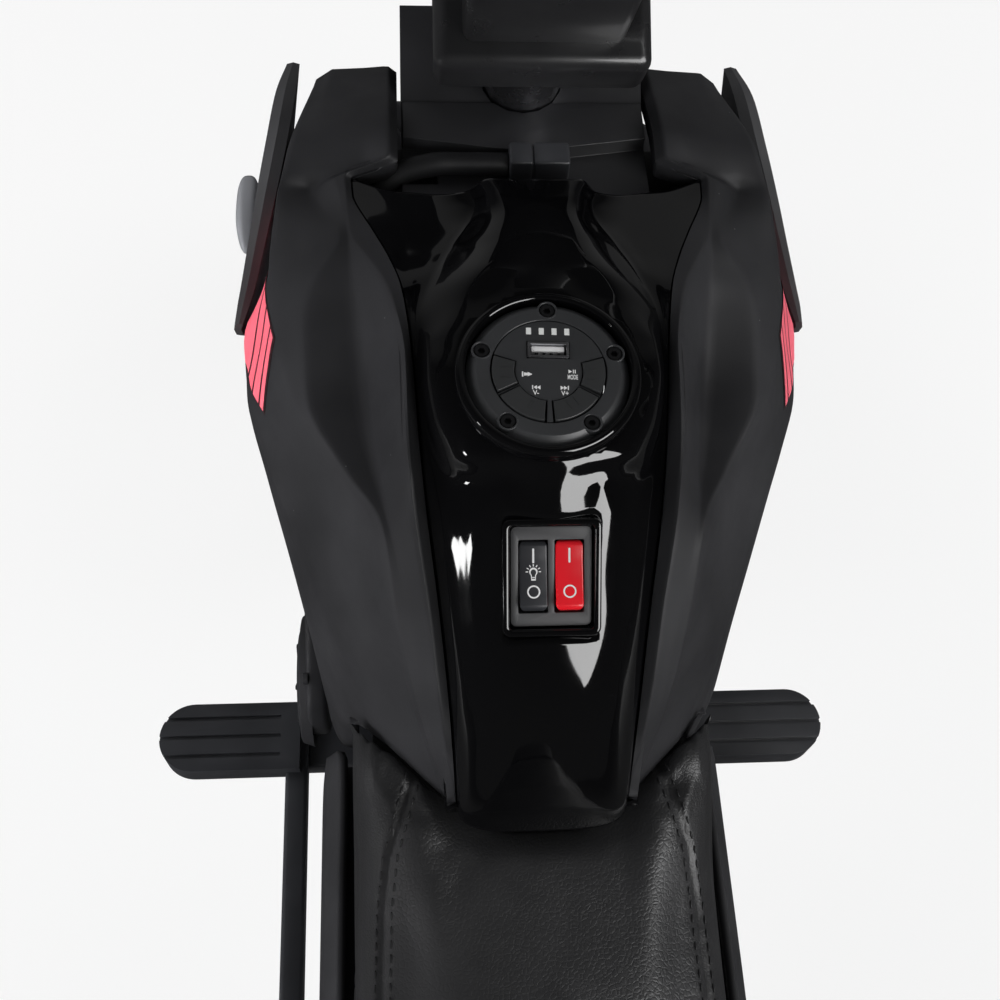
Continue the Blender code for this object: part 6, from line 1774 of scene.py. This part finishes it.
@dataclass
class RoadWheel:
    """A road wheel: a grooved tyre with side lugs on a silver rim with five round openings."""

    prefix: str
    body: str
    axle: tuple[float, float, float]
    right_hub: float
    radius: float = 145
    half: float = 30
    rim_radius: float = 98
    rim_wall: float = 10
    web: float = 12
    hub_radius: float = 17
    bolt_circle: float = 28
    left_hub: float = 42.9
    lugs: int = 40

    def tyre(self) -> Mesh:
        """Turns the tyre and sets its tread blocks round it."""
        outer, half, inner = self.radius, self.half, self.rim_radius + 0.3
        right = [(outer - 0.2, 3.6), (outer - 0.2, 4.2), (outer - 3.2, 5.2), (outer - 3.2, 7.2),
                 (outer - 0.5, 8.2), (outer - 1.6, 14), (outer - 5.4, 22), (outer - 8.5, 25.6),
                 (outer - 18, half - 0.6), (outer - 23, half - 0.2), (outer - 25, half),
                 (outer - 30, half - 0.4), (inner + 6, half - 2.4), (inner, half * 0.86)]
        body = turned([*[(radius, -height) for radius, height in reversed(right)], *right], 120, close=True)
        lug = block(Vector((outer - 9.5, -2.6, 16)) * MM, Vector((outer - 2.4, 2.6, 26.5)) * MM, 0.7 * MM, 1)
        bmesh.ops.rotate(lug, matrix=Matrix.Rotation(math.radians(34), 3, "Y"),
                         cent=((outer - 5) * MM, 0, 21 * MM), verts=lug.verts)
        pattern = mesh_of(lug, "lug")
        for i in range(self.lugs):
            for side in (1, -1):
                start = len(body.verts)
                body.from_mesh(pattern)
                body.verts.ensure_lookup_table()
                new = body.verts[start:]
                if side < 0:
                    bmesh.ops.scale(body, vec=(1, 1, -1), verts=new)
                    faces = {face for vert in new for face in vert.link_faces}
                    bmesh.ops.reverse_faces(body, faces=list(faces))
                turn = math.tau * (i + (0.5 if side < 0 else 0)) / self.lugs
                bmesh.ops.rotate(body, matrix=Matrix.Rotation(turn, 3, "Z"), cent=(0, 0, 0), verts=new)
        return moved(body, SPUN_X)

    def rim(self) -> Mesh:
        """Makes the rim: barrel, drilled web, hub and hub bolts."""
        barrel = self.rim_radius - self.rim_wall
        half, web = self.half - 2, self.web / 2
        profile = [(barrel, 5), (barrel, half - 1), (barrel + 2, half), (self.rim_radius, half),
                   (self.rim_radius, -half), (barrel + 2, -half), (barrel, 1 - half), (barrel, -5)]
        ring = turned(rounded(profile, 1.0, 3), 96, close=True)
        middle = (self.hub_radius + barrel) / 2
        hole = (barrel - self.hub_radius) * 0.36
        holes = [metres(disc(*polar(middle, math.tau * i / 5), hole, 48)) for i in range(5)]
        disc_web = plate(metres(disc(0, 0, barrel + 1, 96)), -web * MM, web * MM, 1.6 * MM,
                         [*holes, metres(disc(0, 0, 5.4, 32))], 3)
        high, low, radius = self.right_hub, -self.left_hub, self.hub_radius
        profile = [(5.3, high), (radius - 2, high), (radius, high - 3), (radius + 3, web),
                   (radius + 3, -web), (radius, low + 3), (radius - 2, low), (5.3, low)]
        hub = turned(rounded(profile, 1.0, 3), 64, close=True)
        parts = [ring, disc_web, hub]
        for i in range(5):
            x, y = polar(self.bolt_circle * MM, math.tau * (i + 0.5) / 5)
            for side in (1, -1):
                place = at(x, y, side * web * MM)
                if side < 0:
                    place = place @ Matrix.Rotation(math.pi, 4, "X")
                parts.append(moved(bolt_head(3, 3.6, 3), place))
        return moved(join(*parts), SPUN_X)

    def build(self) -> None:
        """Builds the tyre and the rim."""
        place = Matrix.Translation(self.axle)
        add_piece(f"{self.prefix}_tyre_rubber", self.tyre(), TYRE, self.body, [f"{self.prefix}_tyre"],
                  matrix=place, sharp=40)
        add_piece(f"{self.prefix}_rim", self.rim(), SILVER, self.body, [f"{self.prefix}_wheel_rim"],
                  matrix=place, sharp=40)


@dataclass
class RearDrive:
    """The swingarm, the motor and the gears that turn the rear wheel."""

    axle: tuple[float, float, float] = REAR_AXLE
    pinion: tuple[float, float, float] = (0, -0.32579, 0.193116)
    module: float = 2.3
    gear_teeth: int = 35
    pinion_teeth: int = 7
    lean: float = math.radians(85)
    inner: float = 32.8
    width: float = 8
    motor_face: float = 46.3
    motor_radius: float = 18
    motor_length: float = 50
    axle_half: float = 56.6

    def toothed(self, teeth: int, phase: float) -> Flat:
        """Gives the outline of a gear.

        Args:
            teeth: How many teeth it has.
            phase: How far it is turned, in teeth.

        Returns:
            Its points in metres.
        """
        pitch, module = self.module * teeth / 2, self.module
        flank = ((-0.32, -1.1), (-0.24, -0.5), (-0.16, 0.3), (-0.10, 0.75))
        tooth = [*flank, *[(-part, rise) for part, rise in reversed(flank)]]
        return metres([polar(pitch + module * rise, math.tau * (i + part + phase) / teeth)
                       for i in range(teeth) for part, rise in tooth])

    def gears(self) -> None:
        """Builds the nylon gear with its openings, and the pinion on its shaft."""
        low, high = self.inner * MM, (self.inner + self.width) * MM
        holes = [metres(disc(*polar(22, math.tau * i / 6), 6.5, 24)) for i in range(6)]
        outline = self.toothed(self.gear_teeth, self.gear_teeth * self.lean / math.tau)
        gear = plate(outline, low, high, 0.3 * MM, [*holes, metres(disc(0, 0, 5.3, 32))])
        add_piece("nylon_gear", moved(gear, ALONG_X), NYLON, "rear_wheel", ["drive_gear"],
                  matrix=at(*self.axle))
        phase = self.pinion_teeth * (self.lean + math.pi) / math.tau + 0.5
        pinion = plate(self.toothed(self.pinion_teeth, phase), low, high, 0.2 * MM)
        shaft = turned(rounded([(0, self.inner), (2.5, self.inner), (2.5, 52), (0, 52)], 0.3), 24)
        add_piece("motor_pinion_gear", moved(join(pinion, shaft), ALONG_X), STEEL, "motor_shaft",
                  ["motor_pinion"], matrix=at(*self.pinion))

    def motor(self) -> None:
        """Turns the motor can, with its groove, and adds its terminals."""
        face, radius, end = self.motor_face, self.motor_radius, self.motor_face + self.motor_length
        profile = [(3.2, face), (radius * 0.75, face), (radius * 0.75, face + 3), (radius, face + 4),
                   (radius, face + 34), (radius - 0.6, face + 34.6), (radius - 0.6, face + 35.8),
                   (radius, face + 36.4), (radius, end), (radius * 0.35, end + 1), (radius * 0.35, end + 4),
                   (0, end + 4), (0, face + 8), (3.2, face + 8)]
        can = turned(rounded(profile, 0.7, 3), 64, close=True)
        tabs = [block((x - 0.0025, -0.0004, end * MM), (x + 0.0025, 0.0004, (end + 3.6) * MM), 0.0002, 1)
                for x in (0.011, -0.011)]
        add_piece("drive_motor", moved(join(can, *tabs), at(0, *self.pinion[1:]) @ SPUN_X), STEEL, "frame",
                  ["motor"])

    def build(self) -> None:
        """Builds the gears, the motor, the housing, the swingarm and the axle."""
        self.gears()
        self.motor()
        add_piece("gearbox_shell", node_copy("gearbox_housing", 0.0008), FRAME_PLASTIC, "frame",
                  ["gearbox_housing"])
        add_piece("swingarm_casting", node_copy("swingarm", 0.0012), TUBE, "frame", ["swingarm"])
        add_piece("rear_axle_rod", axle_rod(self.axle_half, at(*self.axle)), STEEL, "frame", ["rear_axle"])


@dataclass
class PowerPack:
    """The battery with its ribbed top and terminals, and the control box above it."""

    half: tuple[float, float] = (0.0325, 0.0752)
    centre_y: float = 0.055
    low: float = 0.2033
    height: float = 0.094
    rib_pitch: float = 0.026
    box_low: float = 0.3373

    def build(self) -> None:
        """Builds the battery and the control box."""
        x, y = self.half
        high = self.low + self.height
        case = block((-x, self.centre_y - y, self.low), (x, self.centre_y + y, high), 0.0022, 3)
        ribs = []
        for i in range(4):
            rear = self.centre_y - y + 0.012 + i * self.rib_pitch
            ribs.append(block((-x + 0.006, rear, high - 0.0005), (x - 0.006, rear + 0.014, high + 0.0008),
                              0.0006, 2))
        add_piece("battery_case", join(case, *ribs), MATT, "frame", ["battery"])
        tabs = [block((x - 0.003, self.centre_y + 0.060, high - 0.004),
                      (x + 0.003, self.centre_y + 0.067, high + 0.006), 0.0006, 2) for x in (0.020, -0.020)]
        add_piece("battery_terminals", join(*tabs), STEEL, "frame")
        low = self.box_low
        box = block((-0.030, 0.015, low), (0.030, 0.100, low + 0.0215), 0.002, 3)
        lid = block((-0.0303, 0.0147, low + 0.0218), (0.0303, 0.1003, low + 0.026), 0.0014, 3)
        screws = [moved(bolt_head(2.2, 2.6, 0.8, edge=0.3), at(x, y, low + 0.0255))
                  for x in (-0.025, 0.025) for y in (0.020, 0.095)]
        add_piece("control_box_case", join(box, lid, *screws), MATT, "frame", ["control_box"])


@dataclass
class Stabiliser:
    """A bent stabiliser tube with its collars and its free wheel."""

    side: int
    word: str
    tube_radius: float = 9
    bend: float = 0.022
    flange_x: float = 0.0566
    reach: tuple[float, float] = (0.140, 0.144)
    tube_z: float = 0.155
    axle_z: float = 0.065
    wheel_x: float = 186
    half: float = 13
    radius: float = 65
    y: float = -0.300

    def route(self) -> list[Vector]:
        """Gives the tube's path, out from the flange, down and out again, with round bends."""
        corners = [Vector((x, self.y, z)) for x, z in (
            (self.flange_x + 0.001, self.tube_z), (self.reach[0], self.tube_z), (self.reach[1], self.axle_z),
            (0.202, self.axle_z))]
        path = [corners[0]]
        for before, corner, after in zip(corners, corners[1:], corners[2:]):
            back, ahead = (before - corner).normalized(), (after - corner).normalized()
            half = back.angle(ahead) / 2
            middle = corner + (back + ahead).normalized() * self.bend / math.sin(half)
            start = corner + back * self.bend / math.tan(half) - middle
            end = corner + ahead * self.bend / math.tan(half) - middle
            turn = start.angle(end)
            path += [middle + (start * math.sin((1 - i / 12) * turn) + end * math.sin(i / 12 * turn))
                     / math.sin(turn) for i in range(13)]
        return [*path, corners[-1]]

    def bracket(self) -> Mesh:
        """Bends the tube, with its flange, its bolts and its two collars."""
        plate_x = self.flange_x + 0.005
        parts = [tube("stabiliser", self.route(), self.tube_radius * MM, 8),
                 block((self.flange_x, self.y - 0.018, 0.141), (plate_x, self.y + 0.026, 0.169), 0.0015)]
        parts += [moved(bolt_head(3.6, 4.2, 3.4), at(plate_x, self.y + y, self.tube_z) @ SPUN_X)
                  for y in (-0.013, 0.020)]
        inner, outer = self.wheel_x - self.half - 0.6, self.wheel_x + self.half + 0.6
        for low, high in ((inner - 4, inner), (outer, outer + 5)):
            collar = turned(rounded([(0, low), (15, low), (15, high), (0, high)], 0.8), 48)
            parts.append(moved(collar, at(0, self.y, self.axle_z) @ SPUN_X))
        return join(*parts)

    def wheel(self) -> Mesh:
        """Turns the wheel: a ribbed tread, a dished side and five ribs."""
        radius, half = self.radius, self.half
        right = [(radius, 1.0), (radius, half * 0.45), (radius - 1.6, half * 0.52),
                 (radius - 1.6, half * 0.62), (radius - 0.2, half * 0.70), (radius - 4, half), (53, half),
                 (50, half - 2), (48, half * 0.35), (26, half * 0.35), (23, half - 1), (22, half),
                 (9.6, half)]
        profile = [*[(a, -b) for a, b in reversed(right)], *right]
        parts = [turned(rounded(profile, 0.8, 2), 80, close=True)]
        for i in range(5):
            for low, high in ((half * 0.30, half * 0.80), (-half * 0.80, -half * 0.30)):
                rib = block((0.022, -0.002, low * MM), (0.050, 0.002, high * MM), 0.0008, 2)
                parts.append(moved(rib, Matrix.Rotation(math.tau * i / 5, 4, "Z")))
        return moved(join(*parts), at(self.side * self.wheel_x * MM, self.y, self.axle_z) @ SPUN_X)

    def build(self) -> None:
        """Builds the bracket and the wheel."""
        add_piece(f"stabiliser_bracket_{self.word}_tube", mirrored(self.bracket(), self.side), TUBE, "frame",
                  [f"stabiliser_bracket_{self.word}"], sharp=40)
        add_piece(f"stabiliser_wheel_{self.word}_tread", self.wheel(), TYRE, f"{self.word}_stabiliser_wheel",
                  [f"stabiliser_wheel_{self.word}"], sharp=40)


# Lower body

@dataclass
class Footrest:
    """A grooved footrest peg with its rail and the arm under the tray."""

    side: int
    word: str
    top: float = 0.210
    thick: float = 0.016
    y: float = 0.060
    depth: float = 0.0355
    reach: float = 0.174
    inner: float = 0.106
    grooves: int = 3
    groove_half: float = 0.0011
    groove_depth: float = 0.0018
    rail_width: float = 0.0115
    rail_length: float = 0.210

    def peg(self) -> Mesh:
        """Makes the peg, with its round end and its grooves."""
        half = self.depth / 2
        end = self.reach - half
        outline = [(self.inner - 0.004, self.y + half), (self.inner - 0.004, self.y - half)]
        for i in range(25):
            x, y = polar(half, math.radians(-90 + 180 * i / 24))
            outline.append((end + x, self.y + y))
        cutters = []
        for i in range(self.grooves):
            y = self.y + self.depth * (i + 1 - (self.grooves + 1) / 2) / (self.grooves + 0.6)
            cutters.append(block((self.inner + 0.006, y - self.groove_half, self.top - self.groove_depth),
                                 (self.reach + 0.01, y + self.groove_half, self.top + 0.01)))
        bm = carved(plate(outline, self.top - self.thick, self.top, 0), cutters)
        bmesh.ops.dissolve_limit(bm, angle_limit=0.002, verts=bm.verts, edges=bm.edges)
        return bevelled(bm, [edge for edge in bm.edges if edge.is_manifold and edge.calc_face_angle(0) > 1.0],
                        0.0007, 3)

    def build(self) -> None:
        """Builds the footrest."""
        base, left, front = self.top - self.thick, self.inner + 0.0039 - self.rail_width, self.y + 0.012
        rail = block((left, front - self.rail_length, base - 0.006),
                     (left + self.rail_width, front, base + 0.008), 0.0022, 3)
        arm = block((0.002, self.y - 0.013, 0.1807), (self.inner + 0.012, self.y + 0.013, 0.1947), 0.0018, 3)
        add_piece(f"footrest_{self.word}_peg", mirrored(join(self.peg(), rail, arm), self.side), PEG, "frame",
                  [f"footrest_{self.word}"], sharp=40)


@dataclass
class EnginePlate:
    """The dark engine cover beside the footrest, with its clutch boss and its bolts."""

    side: int
    word: str
    low: float = 84
    high: float = 94
    clutch: tuple[float, float] = (78, 245)
    pivot: tuple[float, float] = (148, 300)
    bolts: Table = (
        (66, 280), (58, 240), (98, 218), (150, 214), (184, 236), (190, 300), (182, 352), (150, 352),
        (118, 320))
    outline: Table = (
        (48, 258), (51, 240), (61, 224), (86, 212), (128, 205), (165, 206), (186, 222), (196, 262),
        (199, 310), (196, 352), (182, 374), (156, 372), (128, 345), (104, 312), (80, 290), (56, 276))

    def build(self) -> None:
        """Builds the cover."""
        high = self.high
        points = [Vector((y, z, 0)) for y, z in self.outline]
        looped = smooth_path([points[-1], *points, points[0], points[1]], 5)
        rim = metres([point.xy for point in looped[5:-6]])
        body = plate(rim, self.low * MM, high * MM, 3.0 * MM, segments=5)
        dome = turned(rounded([(0, high + 5.5), (24, high + 5.5), (26, high + 4.2), (31.4, high + 4.2),
                               (33.6, high - 2)], 1.2, 3), 72)
        ribs = [moved(block((0.009, -0.0012, (high + 5) * MM), (0.022, 0.0012, (high + 6.3) * MM), 0.0005, 2),
                      Matrix.Rotation(math.tau * i / 6, 4, "Z")) for i in range(6)]
        raised = rounded([(24, high - 1), (24, high + 0.9), (27, high + 0.9), (27, high - 1)], 0.5, 3)
        ring = turned(raised, 64, close=True)
        parts = [body, moved(join(dome, *ribs), at(*metres([self.clutch])[0])),
                 moved(ring, at(*metres([self.pivot])[0]))]
        for place in metres(self.bolts):
            head = turned(rounded([(0, high + 1.6), (2.6, high + 1.6), (3.1, high - 1)], 0.4), 20)
            parts.append(moved(head, at(*place)))
        add_piece(f"engine_cover_{self.word}_shell", mirrored(moved(join(*parts), ALONG_X), self.side),
                  FRAME_PLASTIC, "frame", [f"engine_cover_{self.word}"], sharp=35)


@dataclass
class SideCover:
    """The cover beside the seat."""

    side: int
    word: str
    wall: float = 3 * MM
    sections: Table = (
        (7.5, 74, 361, 79.4, 350, 82, 290, 80, 250), (2, 72.7, 365.5, 79.6, 352, 82.8, 290, 80.5, 240),
        (-14, 72.5, 366, 79.8, 352, 83, 290, 80.5, 230), (-80, 73, 366, 79.8, 353, 83, 292, 79, 232),
        (-160, 73, 367, 78.5, 355, 82, 300, 77, 246), (-230, 70.5, 369, 74.5, 357, 76, 312, 71, 272),
        (-262, 69, 370, 71.5, 359, 71.5, 320, 67, 292))

    def build(self) -> None:
        """Lays the cover's skin and its moulded vent lines."""
        rows = []
        for y, *values in self.sections:
            row = [Vector((x, y, z)) for x, z in zip(values[::2], values[1::2])]
            row.insert(2, (row[1] + row[2]) / 2 + Vector((1.2, 0, 0)))
            row.insert(4, (row[3] + row[4]) / 2 + Vector((1.2, 0, 0)))
            rows.append([tuple(point) for point in row])
        bm = skin([list(line) for line in zip(*rows)], 5, 6, Vector((1, 0, 0)), softening=2)
        tree = BVHTree.FromBMesh(bm)
        add_piece(f"side_cover_{self.word}_skin", mirrored(bm, self.side), COVER, "frame",
                  [f"side_cover_{self.word}"], wall=self.wall, sharp=50)
        vents = []
        for i in range(4):
            path = []
            for step in range(9):
                y, z = -0.070 - i * 0.022 - step * 0.0035, 0.270 + step * 0.0068
                hit, normal, _, _ = tree.ray_cast(Vector((0.2, y, z)), Vector((-1, 0, 0)))
                if hit:
                    path.append(hit + normal * 0.0004)
            vents.append(tube("vent", path, 0.0016, 3))
        add_piece(f"side_cover_{self.word}_vents", mirrored(join(*vents), self.side), MATT, "frame")


@dataclass
class Tail:
    """The hollow tail cowl with its lamp."""

    wall: float = 3 * MM
    lamp_half: float = 0.027
    lamp_low: float = 0.415
    lamp_high: float = 0.427
    rear_y: float = -0.5541
    sections: Table = (
        (-327, 55, 425, 352), (-365, 55.5, 434, 356), (-410, 54, 439, 366), (-460, 49, 441, 384),
        (-505, 42, 440, 402), (-545, 35, 436, 412))

    def cowl(self) -> Mesh:
        """Lays the cowl over its sections and closes its rear end above the lower edge."""
        lines: list[Line] = []
        for share, rise in ((0.96, 0.0), (1.0, 0.35), (0.97, 0.70)):
            lines.append([(half * share, y, hem + (top - hem) * rise) for y, half, top, hem in self.sections])
        for share, drop in ((0.80, 6), (0.45, 1), (0.0, 0)):
            lines.append([(half * share, y, top - drop) for y, half, top, _ in self.sections])
        mirror = [[(-x, y, z) for x, y, z in line] for line in lines[:-1]]
        bm = skin([*mirror, *reversed(lines)], 5, 6, Vector((0, 0, 1)), softening=3)
        y, _, _, hem = (value * MM for value in self.sections[-1])
        foot = Vector((0, y, hem))
        along = bm.verts.layers.float["along"]
        fold(bm, rim_edges(bm, "along", 5), lambda point: foot + (point - foot) * 0.93)
        for vert in bm.verts:
            inside = abs(vert.co.y - y) < 1e-6 and abs(vert[along] - 5) < 1e-4
            vert[along] = 9 if inside and vert.is_boundary else vert[along]
        return fold(bm, rim_edges(bm, "along", 9), lambda point: foot + (point - foot) * 0.04)

    def build(self) -> None:
        """Builds the cowl, its bridge and the lamp."""
        add_piece("tail_cowl", self.cowl(), COVER, "frame", ["tail_cover"], wall=self.wall, sharp=40)
        bridge = block((-0.0525, -0.416, 0.3923), (0.0525, -0.386, 0.398), 0.0015)
        add_piece("tail_bridge", bridge, MATT, "frame")
        lamp = block((-self.lamp_half, self.rear_y, self.lamp_low),
                     (self.lamp_half, self.sections[-1][0] * MM - 0.0003, self.lamp_high), 0.0028, 5)
        fins = []
        for i in range(7):
            x = -self.lamp_half + 0.006 + i * 0.007
            fins.append(block((x, self.rear_y - 0.0001, self.lamp_low + 0.003),
                              (x + 0.0008, self.rear_y + 0.002, self.lamp_high - 0.003)))
        add_piece("tail_lamp_lens", join(lamp, *fins), RED_LENS, "frame", ["tail_lamp"])


# Studio

@dataclass
class Studio:
    """The pale floor, the soft lights and the camera at the photograph's angle."""

    eye: tuple[float, float, float] = (-0.0467, -0.1373, 0.8621)
    aim: tuple[float, float, float] = (0, 0.05, 0.45)
    pitch: float = math.radians(63)
    yaw: float = math.radians(4.31)
    roll: float = math.radians(-0.84)
    lens: float = 46.08
    floor_half: float = 2.6
    floor_glow: float = 0.75
    floor_dimming: float = 0.97
    sky: float = 0.30
    ceiling: Table = ((0.0, 0.06), (1.0, 0.18), (0.45, 0.025), (0.72, 0.025), (0.88, 0.18))
    lamps: tuple[tuple[str, tuple[float, float, float], tuple[float, float], float, bool], ...] = (
        ("key_window", (1.22, -1.16, 1.55), (1.50, 0.95), 36, True),
        ("left_window", (-1.56, -0.50, 0.57), (0.12, 0.12), 0.8, True),
        ("left_low_softbox", (-1.7, -0.5, 0.2), (0.9, 0.4), 22, False),
        ("right_low_softbox", (1.7, -0.5, 0.2), (0.9, 0.4), 17, False),
        ("left_softbox", (-1.7, 0.7, 1.5), (1.1, 1.1), 17, False),
        ("right_softbox", (1.7, 0.7, 1.5), (1.1, 1.1), 16, False),
        ("left_rear_softbox", (-1.2, -1.5, 1.2), (0.9, 0.9), 14, False),
        ("right_rear_softbox", (1.2, -1.5, 1.2), (0.9, 0.9), 8, False))

    def camera(self) -> None:
        """Sets the camera as the photograph saw the object."""
        right = Vector((1, 0, 0))
        ahead = Vector((0, math.cos(self.pitch), -math.sin(self.pitch)))
        up = Vector((0, math.sin(self.pitch), math.cos(self.pitch)))
        c, s = polar(1.0, self.yaw)
        ahead, right = ahead * c + right * s, right * c - ahead * s
        c, s = polar(1.0, self.roll)
        right, up = right * c + up * s, up * c - right * s
        data = bpy.data.cameras.new("photo_camera")
        data.lens = self.lens
        data.sensor_width = 36
        data.clip_start = 0.01
        camera = placed("photo_camera", data)
        camera.matrix_world = at(*self.eye) @ Matrix((right, up, -ahead)).transposed().to_4x4()
        bpy.context.scene.camera = camera

    def floor(self) -> None:
        """Lays a large floor: pale for the camera, dark in reflections."""
        bm = bmesh.new()
        bmesh.ops.create_grid(bm, x_segments=1, y_segments=1, size=self.floor_half)
        made = bpy.data.materials.new("pale_floor")
        made.use_nodes = True
        tree = made.node_tree
        pale = feed(tree, tree.nodes["Principled BSDF"], {
            "Base Color": (0.88, 0.88, 0.88, 1), "Roughness": 0.9, "Specular IOR Level": 0.1})
        glow = add_node(tree, "Emission", {"Color": (1, 1, 1, 1)})
        dim = add_node(tree, "BsdfDiffuse", {"Color": (0.03, 0.03, 0.03, 1)})
        path = add_node(tree, "LightPath", {})
        seen = add_node(tree, "Math", {0: path.outputs["Is Camera Ray"], 1: self.floor_glow},
                        operation="MULTIPLY")
        bright = add_node(tree, "MixShader", {"Fac": seen.outputs[0], 1: pale.outputs[0], 2: glow.outputs[0]})
        gloss = add_node(tree, "Math", {0: path.outputs["Is Glossy Ray"], 1: self.floor_dimming},
                         operation="MULTIPLY")
        mix = add_node(tree, "MixShader", {"Fac": gloss.outputs[0], 1: bright.outputs[0], 2: dim.outputs[0]})
        feed(tree, tree.nodes["Material Output"], {"Surface": mix.outputs[0]})
        floor = placed("floor", mesh_of(bm, "floor"))
        floor.data.materials.append(made)
        floor.location = (0, 0, -0.0005)

    def world(self) -> None:
        """Makes the surroundings: white where the camera looks, a dim ceiling in reflections."""
        world = bpy.data.worlds.new("studio")
        bpy.context.scene.world = world
        world.use_nodes = True
        tree = world.node_tree
        sky = feed(tree, tree.nodes["Background"], {"Color": (1, 1, 1, 1), "Strength": self.sky})
        white = add_node(tree, "Background", {"Color": (1, 1, 1, 1), "Strength": 1.0})
        path = add_node(tree, "LightPath", {})
        place = add_node(tree, "TexCoord", {})
        lean = add_node(tree, "VectorMath", {0: place.outputs["Generated"], 1: (0, 1, 0.25)},
                        operation="DOT_PRODUCT")
        spread = add_node(tree, "MapRange", {"From Min": -1.2, "From Max": 1.2,
                                             "Value": lean.outputs["Value"]})
        ramp = add_node(tree, "ValToRGB", {"Fac": spread.outputs["Result"]})
        stops = ramp.color_ramp.elements
        for index, (position, grey) in enumerate(self.ceiling):
            stop = stops[index] if index < 2 else stops.new(position)
            stop.color = (grey, grey, grey, 1)
        mirror = add_node(tree, "Background", {"Color": ramp.outputs["Color"]})
        by_mirror = add_node(tree, "MixShader", {"Fac": path.outputs["Is Glossy Ray"], 1: sky.outputs[0],
                                                 2: mirror.outputs[0]})
        eye = add_node(tree, "Math", {0: path.outputs["Is Camera Ray"],
                                      1: path.outputs["Is Transmission Ray"]}, operation="MAXIMUM")
        by_eye = add_node(tree, "MixShader", {"Fac": eye.outputs[0], 1: by_mirror.outputs[0],
                                              2: white.outputs[0]})
        feed(tree, tree.nodes["World Output"], {"Surface": by_eye.outputs[0]})

    def lights(self) -> None:
        """Hangs the lamps, each facing the tank; only the windows show in reflections."""
        for name, place, size, power, mirrored_in in self.lamps:
            data = bpy.data.lights.new(name, "AREA")
            data.shape = "RECTANGLE"
            data.size, data.size_y = size
            data.energy = power
            lamp = placed(name, data)
            lamp.visible_glossy = mirrored_in
            lamp.visible_diffuse = not mirrored_in
            aim = (Vector(self.aim) - Vector(place)).to_track_quat("-Z", "Y")
            lamp.matrix_world = at(*place) @ aim.to_matrix().to_4x4()

    def build(self) -> None:
        """Sets up the whole studio."""
        bpy.context.scene.view_settings.view_transform = "Standard"
        self.camera()
        self.floor()
        self.world()
        self.lights()


def main() -> None:
    """Builds every sub-assembly in order."""
    logging.basicConfig(level=logging.INFO, format="%(name)s: %(message)s")
    Studio().build()
    ConsolePanel().build()
    ControlDial().build()
    SwitchPanel().build()
    SteeringHead().build()
    SeatCushion().build()
    FrontFork().build()
    Handlebar().build()
    Headlight().build()
    RoadWheel("front", "front_wheel", FRONT_AXLE, 42.9).build()
    RoadWheel("rear", "rear_wheel", REAR_AXLE, 32.5).build()
    RearDrive().build()
    PowerPack().build()
    Tail().build()
    for side, word in SIDES:
        TankCover(side, word).build()
        Shroud(side, word).build()
        Stabiliser(side, word).build()
        Footrest(side, word).build()
        EnginePlate(side, word).build()
        SideCover(side, word).build()


if __name__ == "__main__":
    main()
